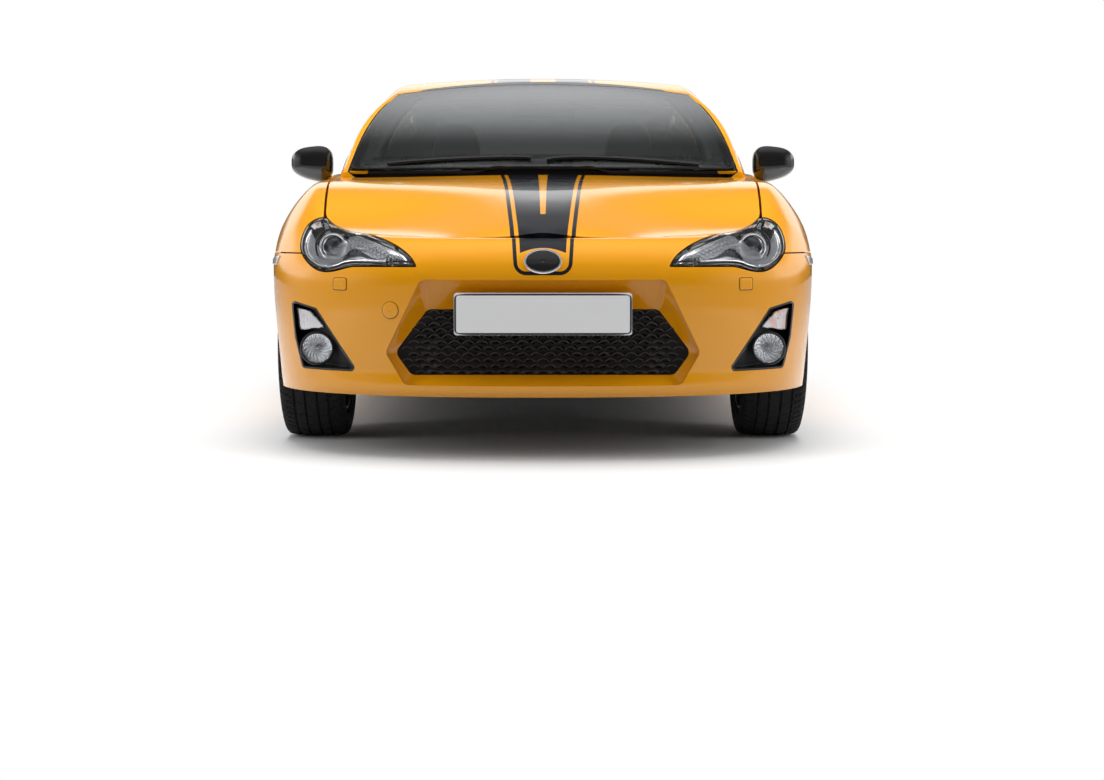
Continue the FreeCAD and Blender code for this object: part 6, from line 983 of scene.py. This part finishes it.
def fogLamp(side, flip):
    # A bowl whose depth falls with the square of the radius, faceted by a square wave, behind a domed lens
    middle = castOn("fog_lamps", (np.array(fogLook["centre"]) * flip)[None])[0]
    radius = fogLook["radius"]
    share = np.linspace(1, 0.12, fogLook["rings"])
    turn = np.linspace(0, math.tau, 64, endpoint=False)
    twist = np.arange(fogLook["rings"])[:, None] * fogLook["facetTwist"]
    dish = turned(middle, np.stack([share * radius, fogLook["depth"] + fogLook["rise"] * share ** 2], 1), 64)
    dish[..., 1] += fogLook["facetDepth"] * np.sign(np.sin(turn * fogLook["facets"] + twist))
    bowl = makePiece(f"fog_bowl_{side}", ringGrid(dish), "fogMetal", wall=fogLook["wall"], smooth=False,
                     outward=False)
    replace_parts(bowl, "fog_lamps")
    makePiece(f"fog_ring_{side}", torusGrid(turned(middle, fogLook["rim"], 64)), "plastic")
    share = np.linspace(1, 0.03, 9)
    front = turned(middle, np.stack([share * radius, -fogLook["lensRise"] * (1 - share ** 2)], 1), 64)
    back = front[::-1] + np.array([0, fogLook["lensWall"], 0])
    makePiece(f"fog_lens_{side}", torusGrid(np.concatenate([front, back])), "lens")
    bulb = fogLook["bulb"]
    stem = middle + points3(0, np.linspace(*fogLook["stem"], len(bulb)), 0)
    makePiece(f"fog_bulb_{side}", tubeAlong(Shape(), stem, bulb, None, 12), "chrome")


def indicator(side, flip):
    # A back with upright ribs as a sine of x, and a crowned rim
    outline = frontOutline(signalLook["outline"], 72)
    rows = castOn("fog_lamps", discRows(shrink(outline, signalLook["inset"]) * flip, 12), signalLook["lift"])
    rows[..., 1] += signalLook["ribDepth"] * np.sin(rows[..., 0] * signalLook["ribs"])
    makePiece(f"indicator_back_{side}", ringGrid(rows), "indicatorMetal", wall=signalLook["wall"])
    lines = [castOn("fog_lamps", shrink(outline, inset) * flip, signalLook["rimLift"])
             for inset in signalLook["rimInsets"]]
    rows = rowsBetween(*lines, 3)
    rows[1, :, 1] -= signalLook["rimCrown"]
    makePiece(f"indicator_rim_{side}", ringGrid(rows), "plastic", wall=signalLook["wall"])


def fogEdge(side, flip):
    # A fine line round the bezel
    edge = shrink(frontOutline(fogLook["bezel"], 160), fogLook["edgeInset"]) * flip
    path = castOn("fog_bezels", edge)
    line = tubeAlong(Shape(), path, fogLook["edgeWidth"], fogLook["edgeTall"], 8, closed=True)
    makePiece(f"fog_edge_{side}", line, "edgeGrey")


for side, flip in sides:
    fogLamp(side, flip)
    indicator(side, flip)
    fogEdge(side, flip)
print("fog lamps made")


# Seats: places in metres, x across, back behind the nose, z above the floor

seatLook = {
    "x": 0.365,
    "cushion": {"back": 2.145, "z": 0.352, "half": (0.232, 0.232, 0.066), "power": 4.5, "top": 0.36,
                "bolster": (0.13, 0.08, 0.020, 0.37), "channel": (0.125, 0.012, 0.009), "sink": 0.012},
    "backrest": {"foot": (2.435, 0.44), "head": (2.66, 0.955), "half": (0.226, 0.052, 0.262), "power": 4.2,
                 "taper": 0.24, "bolster": (0.115, 0.07, 0.026), "channel": (0.112, 0.011, 0.008),
                 "seam": (0.45, 0.03)},
    "headrest": {"back": 2.672, "z": 1.052, "half": (0.112, 0.046, 0.084), "power": 3.6, "taper": 0.30,
                 "lean": 0.15},
    "posts": {"offset": 0.045, "back": 2.664, "run": (-0.004, 0.006), "rise": (0.93, 1.0), "width": 0.012},
}
benchLook = {
    "cushion": {"ahead": 0.16, "z": 0.44, "half": (0.552, 0.155, 0.072), "power": 6.0,
                "channel": (0.06, 0.03, 0.02), "top": 0.45},
    "backrest": {"back": 3.030, "z": 0.655, "half": (0.548, 0.045, 0.17), "power": 6.0, "lean": 0.45,
                 "channel": (0.07, 0.014, 0.012)},
}


def pillow(centre, half, power, taper=0.0, lean=0.0):
    # A rounded box: angles a and b give |x|^p + |y|^p + |z|^p = 1, then it narrows and leans with height
    a = np.linspace(-math.pi / 2, math.pi / 2, 40)[:, None]
    b = np.linspace(0, math.tau, 48, endpoint=False)[None, :]
    cosA, sinA, cosB, sinB = (
        np.sign(wave) * np.abs(wave) ** (2 / power) for wave in (np.cos(a), np.sin(a), np.cos(b), np.sin(b))
    )
    narrow = 1 - taper * (sinA + 1) / 2
    x = centre[0] + cosA * cosB * half[0] * narrow
    y = centre[1] + cosA * sinB * half[1] + lean * sinA * half[2]
    return points3(x, y, centre[2] + sinA * half[2])


def bell(value, middle, width):
    return np.exp(-((value - middle) / width) ** 2)


def padPiece(name, points):
    piece = makePiece(name, ringGrid(points), "cloth", weld=0.0001)
    return piece


def seatCushion(side, x):
    # Side bolsters rise along the cushion, with a sewn channel between
    look = seatLook["cushion"]
    points = pillow((x, behindNose(look["back"]), look["z"]), look["half"], look["power"])
    start, span, rise, above = look["bolster"]
    far = np.abs(points[..., 0] - x)
    onTop = points[..., 2] > look["top"]
    lift = np.clip((far - start) / span, 0, 1) * (points[..., 2] > above)
    middle, width, depth = look["channel"]
    points[..., 2] += rise * lift - depth * bell(far, middle, width) * onTop - look["sink"] * onTop
    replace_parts(padPiece(f"seat_cushion_{side}", points), "front_seats")


def seatBack(side, x):
    # Only the front face has bolsters and channels
    look = seatLook["backrest"]
    (footBack, footZ), (headBack, headZ) = look["foot"], look["head"]
    y, z = behindNose((footBack + headBack) / 2), (footZ + headZ) / 2
    lean = (headBack - footBack) / (headZ - footZ)
    points = pillow((x, y, z), look["half"], look["power"], look["taper"], lean)
    far = np.abs(points[..., 0] - x)
    height = (points[..., 2] - z) / look["half"][2]
    start, span, rise = look["bolster"]
    bolster = np.clip((far - start) / span, 0, 1) * (1 - np.abs(height) ** 4)
    middle, width, depth = look["channel"]
    channel = np.clip(bell(far, middle, width) + bell(height, *look["seam"]), 0, 1)
    ahead = points[..., 1] < y + lean * (points[..., 2] - z)
    points[..., 1] -= (rise * bolster - depth * channel) * ahead
    padPiece(f"seat_back_{side}", points)


def headrest(side, x):
    look, posts = seatLook["headrest"], seatLook["posts"]
    centre = (x, behindNose(look["back"]), look["z"])
    padPiece(f"headrest_{side}", pillow(centre, look["half"], look["power"], look["taper"], look["lean"]))
    shape = Shape()
    for offset in (-posts["offset"], posts["offset"]):
        y = behindNose(posts["back"]) + np.linspace(*posts["run"], 5)
        tubeAlong(shape, points3(x + offset, y, np.linspace(*posts["rise"], 5)), posts["width"], None, 12)
    makePiece(f"headrest_posts_{side}", shape, "chrome")


def rearBench():
    look = benchLook["cushion"]
    points = pillow((0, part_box("rear_seat")[0][1] + look["ahead"], look["z"]), look["half"], look["power"])
    middle, width, depth = look["channel"]
    points[..., 2] -= depth * bell(np.abs(points[..., 0]), middle, width) * (points[..., 2] > look["top"])
    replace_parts(padPiece("rear_bench_cushion", points), "rear_seat")
    look = benchLook["backrest"]
    y, z, lean = behindNose(look["back"]), look["z"], look["lean"]
    points = pillow((0, y, z), look["half"], look["power"], lean=lean)
    middle, width, depth = look["channel"]
    ahead = points[..., 1] < y + lean * (points[..., 2] - z)
    points[..., 1] += depth * bell(np.abs(points[..., 0]), middle, width) * ahead
    padPiece("rear_backrest", points)


for side, flip in sides:
    x = flip[0] * seatLook["x"]
    seatCushion(side, x)
    seatBack(side, x)
    headrest(side, x)
rearBench()
print("seats made")


# Side markers: flat lenses wrapped on the bumper ahead of the wheels

markerLook = {"back": (0.478, 0.575), "foot": 0.585, "tall": 0.030, "taper": 0.012, "outside": 1.2,
              "lift": 0.002, "wall": 0.003}


def sideMarker(side, flip):
    # A strip whose height shrinks evenly rearwards
    along = np.linspace(0, 1, 14)[:, None]
    up = np.linspace(0, 1, 7)[None, :]
    start, end = markerLook["back"]
    z = markerLook["foot"] + (markerLook["tall"] - markerLook["taper"] * along) * up
    spots = points3(flip[0] * markerLook["outside"], behindNose(start + (end - start) * along), z)
    rows = castOn("front_bumper", spots, markerLook["lift"], (-flip[0], 0, 0))
    makePiece(f"side_marker_{side}", Shape().grid(rows), "markerLens", wall=markerLook["wall"])


for side, flip in sides:
    sideMarker(side, flip)
print("side markers made")


# Door mirrors

mirrorLook = {
    "x": 0.866, "back": 1.655, "z": 0.943, "half": (0.079, 0.058, 0.064), "power": 2.9,
    "footRise": 0.020, "topFall": -0.008, "sweep": 0.014, "flat": 0.045,
    "glass": (0.062, 0.046), "glassBack": 0.0462, "glassPower": 0.66, "glassWall": 0.0012,
    "arm": [(0.835, -0.004, 0.905), (0.818, -0.012, 0.888), (0.792, -0.018, 0.876)], "armWidth": 0.042,
    "armTall": 0.022,
}


def doorMirror(side, flip):
    # A rounded housing whose underside rises and whose top falls towards the outer end, with a flat back
    centre = np.array([flip[0] * mirrorLook["x"], behindNose(mirrorLook["back"]), mirrorLook["z"]])
    half, sweep, body = mirrorLook["half"], mirrorLook["sweep"], f"door_{side}"
    points = pillow(centre, half, mirrorLook["power"])
    out = (points[..., 0] - centre[0]) * flip[0] / half[0]
    rise = (points[..., 2] - centre[2]) / half[2]
    tilt = np.where(rise < 0, -mirrorLook["footRise"], mirrorLook["topFall"])
    points[..., 2] += tilt * out * rise
    points[..., 1] = np.minimum(points[..., 1], centre[1] + mirrorLook["flat"]) + sweep * out
    housing = makePiece(f"mirror_housing_{side}", ringGrid(points), "gloss", body, weld=0.0001)
    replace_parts(housing, f"door_mirror_{side}")
    turn = np.linspace(0, math.tau, 48, endpoint=False)
    rings = np.linspace(1, 0.04, 6)[:, None]
    across, upward = (
        size * rings * np.sign(wave) * np.abs(wave) ** mirrorLook["glassPower"]
        for size, wave in zip(mirrorLook["glass"], (np.cos(turn), np.sin(turn)))
    )
    face = centre + points3(across, mirrorLook["glassBack"] + sweep * across * flip[0] / half[0], upward)
    makePiece(f"mirror_glass_{side}", ringGrid(face), "mirror", body, wall=mirrorLook["glassWall"])
    path = np.array(mirrorLook["arm"]) * flip + np.array([0, centre[1], 0])
    arm = tubeAlong(Shape(), smoothPath(path, 12), mirrorLook["armWidth"], mirrorLook["armTall"], 16)
    makePiece(f"mirror_arm_{side}", arm, "gloss", body)


for side, flip in sides:
    doorMirror(side, flip)
print("door mirrors made")


# Tail lamps: a curved lens fills each opening, on the surface that the panels round it share

tailLook = {
    "inner": 0.552, "width": 0.294, "low": 0.708, "tall": 0.144,
    "outline": ((0.0, 0.03), (0.62, 0.0), (0.93, 0.30), (1.0, 0.62), (0.86, 0.97), (0.45, 1.0), (0.0, 0.93)),
    "corner": [(0.567, 0.8575), (0.6500, 0.8575), (0.6495, 0.9200)], "wall": 0.006, "sink": 0.001,
}
skinLook = {"aim": 33.0, "x": (0.50, 0.875, 46), "z": (0.67, 0.93, 34), "back": 2.0, "facing": 0.3,
            "start": 4.0, "reach": 6.0, "degree": 5, "upright": 3, "deepest": 5, "fits": 12, "tightest": 0.0025,
            "rear": (1.45, 2.15), "halvings": 30}


def tailSkin():
    # Depth along a slanting line of sight: a polynomial in width and height, fitted round the opening
    turn = math.radians(skinLook["aim"])
    aim = Vector((math.sin(turn), math.cos(turn), 0))
    across = Vector((math.cos(turn), -math.sin(turn), 0))
    panels = [meshOf(name) for name in ("body_sides", "boot_lid", "rear_bumper", "tail_lamps")]
    samples = []
    for x in np.linspace(*skinLook["x"]):
        for z in np.linspace(*skinLook["z"]):
            a = x * across.x + skinLook["back"] * across.y
            start = across * a + Vector((0, 0, z)) + aim * skinLook["start"]
            hits = [panel.ray_cast(start, -aim, skinLook["reach"]) for panel in panels]
            found = [spot.dot(aim) for spot, normal, *_ in hits
                     if spot and normal.dot(aim) > skinLook["facing"]]
            if found:
                samples.append((a, z, max(found)))
    samples = np.array(samples)
    places, depths = samples[:, :2], samples[:, 2]
    middle, half = places.mean(0), np.ptp(places, axis=0) / 2
    degree, upright = skinLook["degree"], skinLook["upright"]
    powers = [(i, j) for i in range(degree + 1) for j in range(upright + 1) if i + j <= degree]

    def terms(flat):
        u, v = ((np.asarray(flat) - middle) / half).T
        return np.stack([u ** i * v ** j for i, j in powers], 1)

    # Rays that fall through the opening lie far from the fit, and each round leaves them out
    keep = depths > np.percentile(depths, skinLook["deepest"])
    for _ in range(skinLook["fits"]):
        factors = np.linalg.lstsq(terms(places[keep]), depths[keep], rcond=None)[0]
        error = depths - terms(places) @ factors
        keep = np.abs(error) < max(skinLook["tightest"], 2 * np.std(error[keep]))
    return aim, across, lambda flat: terms(flat) @ factors


def tailPatch(name, corners, look, skin):
    # A flat outline's rings carried rearwards on to the fitted skin, found by halving, and closed with a back
    aim, across, depth = skin
    steps = np.linspace(0, 1, 14, endpoint=False)[:, None]
    ends = zip(corners, corners[1:] + corners[:1])
    flat = np.concatenate([np.array(start) + steps * (np.array(end) - np.array(start)) for start, end in ends])
    rows = discRows(points3(flat[:, 0], 0.0, flat[:, 1]), 16)
    x, z = rows[..., 0], rows[..., 2]
    low, high = (np.full(x.shape, limit) for limit in skinLook["rear"])
    for _ in range(skinLook["halvings"]):
        y = (low + high) / 2
        places = np.stack([(x * across.x + y * across.y).ravel(), z.ravel()], 1)
        over = x * aim.x + y * aim.y > depth(places).reshape(x.shape)
        high = np.where(over, y, high)
        low = np.where(over, low, y)
    pieces = []
    for side, flip in sides:
        front = points3(x, y - tailLook["sink"], z) * flip
        back = front[::-1] - np.array([0, tailLook["wall"], 0])
        pieces.append(makePiece(f"{name}_{side}", torusGrid(np.concatenate([front, back])), look))
    return pieces


def tailPieces():
    skin = tailSkin()
    lens = [(tailLook["inner"] + u * tailLook["width"], tailLook["low"] + v * tailLook["tall"])
            for u, v in tailLook["outline"]]
    for piece in tailPatch("tail_lens", lens, "tailRed", skin):
        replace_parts(piece, "tail_lamps")
    tailPatch("tail_corner", tailLook["corner"], "paint", skin)


tailPieces()
print("tail lamps made")


# Stage, light and camera

stageLook = {"color": (0.86, 0.86, 0.87), "bounce": 0.36, "glow": 1.0, "size": 40.0, "fadeHalf": (1.35, 2.75),
             "fade": (0.75, 1.35)}
worldLook = {"light": [(0.0, 0.04), (0.48, 0.08), (0.52, 0.36), (0.62, 0.44), (0.80, 0.40), (1.0, 0.95)],
             "mirrored": [(0.0, 0.03), (0.47, 0.04), (0.51, 0.07), (0.60, 0.06), (0.80, 0.10), (1.0, 0.45)],
             "strip": [(0.0, 0.0), (0.55, 0.0), (0.60, 1.1), (0.68, 1.1), (0.74, 0.0), (1.0, 0.0)],
             "sides": [(0.0, 0.1), (0.50, 0.5), (0.58, 0.8), (0.72, 0.4), (0.85, 0.1), (1.0, 0.0)],
             "behind": (-0.05, 4.0), "aside": (-0.72, 5.0)}      # shift and gain along the car and across it
lampLooks = {"softTop": {"place": (0, -0.8, 4.4), "aim": (0, -0.4, 0.8), "size": (5.0, 4.0), "power": 215},
             "softLeft": {"place": (4.6, -3.4, 2.2), "aim": (0, -1.2, 0.5), "size": (1.6, 3.0), "power": 70},
             "softRight": {"place": (-4.6, -3.4, 2.2), "aim": (0, -1.2, 0.5), "size": (1.6, 3.0), "power": 70},
             "softBack": {"place": (0, 6.5, 3.4), "aim": (0, 0, 0.9), "size": (6.0, 1.6), "power": 150}}
cameraLook = {"place": (0.0, -8.42, 0.712), "lens": 68.64, "sensor": 36, "pitch": 4.48, "yaw": 0.245}


def makeFloor():
    half = stageLook["size"] / 2
    mesh = bpy.data.meshes.new("floor")
    corners = [(-half, -half, 0), (half, -half, 0), (half, half, 0), (-half, half, 0)]
    mesh.from_pydata(corners, [], [(0, 1, 2, 3)])
    floor = bpy.data.objects.new("floor", mesh)
    bpy.context.scene.collection.objects.link(floor)
    mesh.materials.append(floorMaterial())


def floorMaterial():
    # Away from the car the floor fades to the white of the background for whoever looks at it
    mat = newMaterial("paleFloor", stageLook["color"], 0.6, specular=0.2)
    _, place = objectPlace(mat)
    shader = shaderOf(mat)
    x, y = (calc(mat, "DIVIDE", place[axis], half) for axis, half in enumerate(stageLook["fadeHalf"]))
    fade = easedStep(mat, lengthOf(mat, x, y), *stageLook["fade"])
    ray = addNode(mat, "ShaderNodeLightPath")
    # Little of the floor's light goes back up under the lips
    pale = stageLook["color"][0]
    bounce = calc(mat, "MULTIPLY_ADD", ray.outputs["Is Diffuse Ray"], stageLook["bounce"] - pale, pale)
    link(mat, bounce, shader.inputs["Base Color"])
    white = addNode(mat, "ShaderNodeEmission")
    white.inputs["Strength"].default_value = stageLook["glow"]
    mix = addNode(mat, "ShaderNodeMixShader")
    link(mat, times(mat, fade, ray.outputs["Is Camera Ray"]), mix.inputs[0])
    link(mat, shader.outputs[0], mix.inputs[1])
    link(mat, white.outputs[0], mix.inputs[2])
    link(mat, mix.outputs[0], mat.node_tree.nodes["Material Output"].inputs["Surface"])
    return mat


def makeWorld():
    # White for the camera; dark in what the paint mirrors, with a bright strip behind the car and bright sides
    world = bpy.data.worlds.new("studio")
    bpy.context.scene.world = world
    world.use_nodes = True
    coords = addNode(world, "ShaderNodeTexCoord")
    split = addNode(world, "ShaderNodeSeparateXYZ")
    link(world, coords.outputs["Generated"], split.inputs[0])
    rise = calc(world, "MULTIPLY_ADD", split.outputs["Z"], 0.5, 0.5)
    shift, gain = worldLook["behind"]
    behind = calc(world, "MULTIPLY", calc(world, "ADD", split.outputs["Y"], shift), gain, clamp=True)
    shift, gain = worldLook["aside"]
    aside = calc(world, "ADD", calc(world, "ABSOLUTE", split.outputs["X"]), shift)
    aside = times(world, calc(world, "MULTIPLY", aside, gain, clamp=True), levels(world, rise, "sides"))
    base = calc(world, "ADD", levels(world, rise, "mirrored"), aside)
    shine = calc(world, "MULTIPLY_ADD", levels(world, rise, "strip"), behind, base)
    path = addNode(world, "ShaderNodeLightPath")
    shown = mixColors(world, path.outputs["Is Glossy Ray"], levels(world, rise, "light"), shine)
    white = mixColors(world, path.outputs["Is Camera Ray"], shown, (1, 1, 1))
    link(world, white, world.node_tree.nodes["Background"].inputs["Color"])


def levels(world, value, name):
    # Grey levels along a value, eased between the stops
    node = addNode(world, "ShaderNodeValToRGB")
    ramp = node.color_ramp
    ramp.interpolation = "EASE"
    while len(ramp.elements) < len(worldLook[name]):
        ramp.elements.new(0.5)
    for element, (spot, level) in zip(ramp.elements, worldLook[name]):
        element.position = spot
        element.color = (level, level, level, 1)
    link(world, value, node.inputs["Fac"])
    return node.outputs["Color"]


def areaLamp(name, place, aim, size, power):
    data = bpy.data.lights.new(name, "AREA")
    data.shape = "RECTANGLE"
    data.size, data.size_y = size
    data.energy = power
    lamp = bpy.data.objects.new(name, data)
    bpy.context.scene.collection.objects.link(lamp)
    lamp.location = place
    lamp.visible_glossy = False
    lamp.rotation_euler = (Vector(aim) - Vector(place)).to_track_quat("-Z", "Y").to_euler()


def makeCamera():
    data = bpy.data.cameras.new("camera")
    data.lens = cameraLook["lens"]
    data.sensor_width = cameraLook["sensor"]
    camera = bpy.data.objects.new("camera", data)
    bpy.context.scene.collection.objects.link(camera)
    camera.location = cameraLook["place"]
    camera.rotation_euler = Euler((math.radians(90 - cameraLook["pitch"]), 0, math.radians(-cameraLook["yaw"])))
    bpy.context.scene.camera = camera


makeFloor()
makeWorld()
for name, look in lampLooks.items():
    areaLamp(name, **look)
makeCamera()
bpy.context.scene.view_settings.view_transform = "Standard"
print("stage, light and camera made")
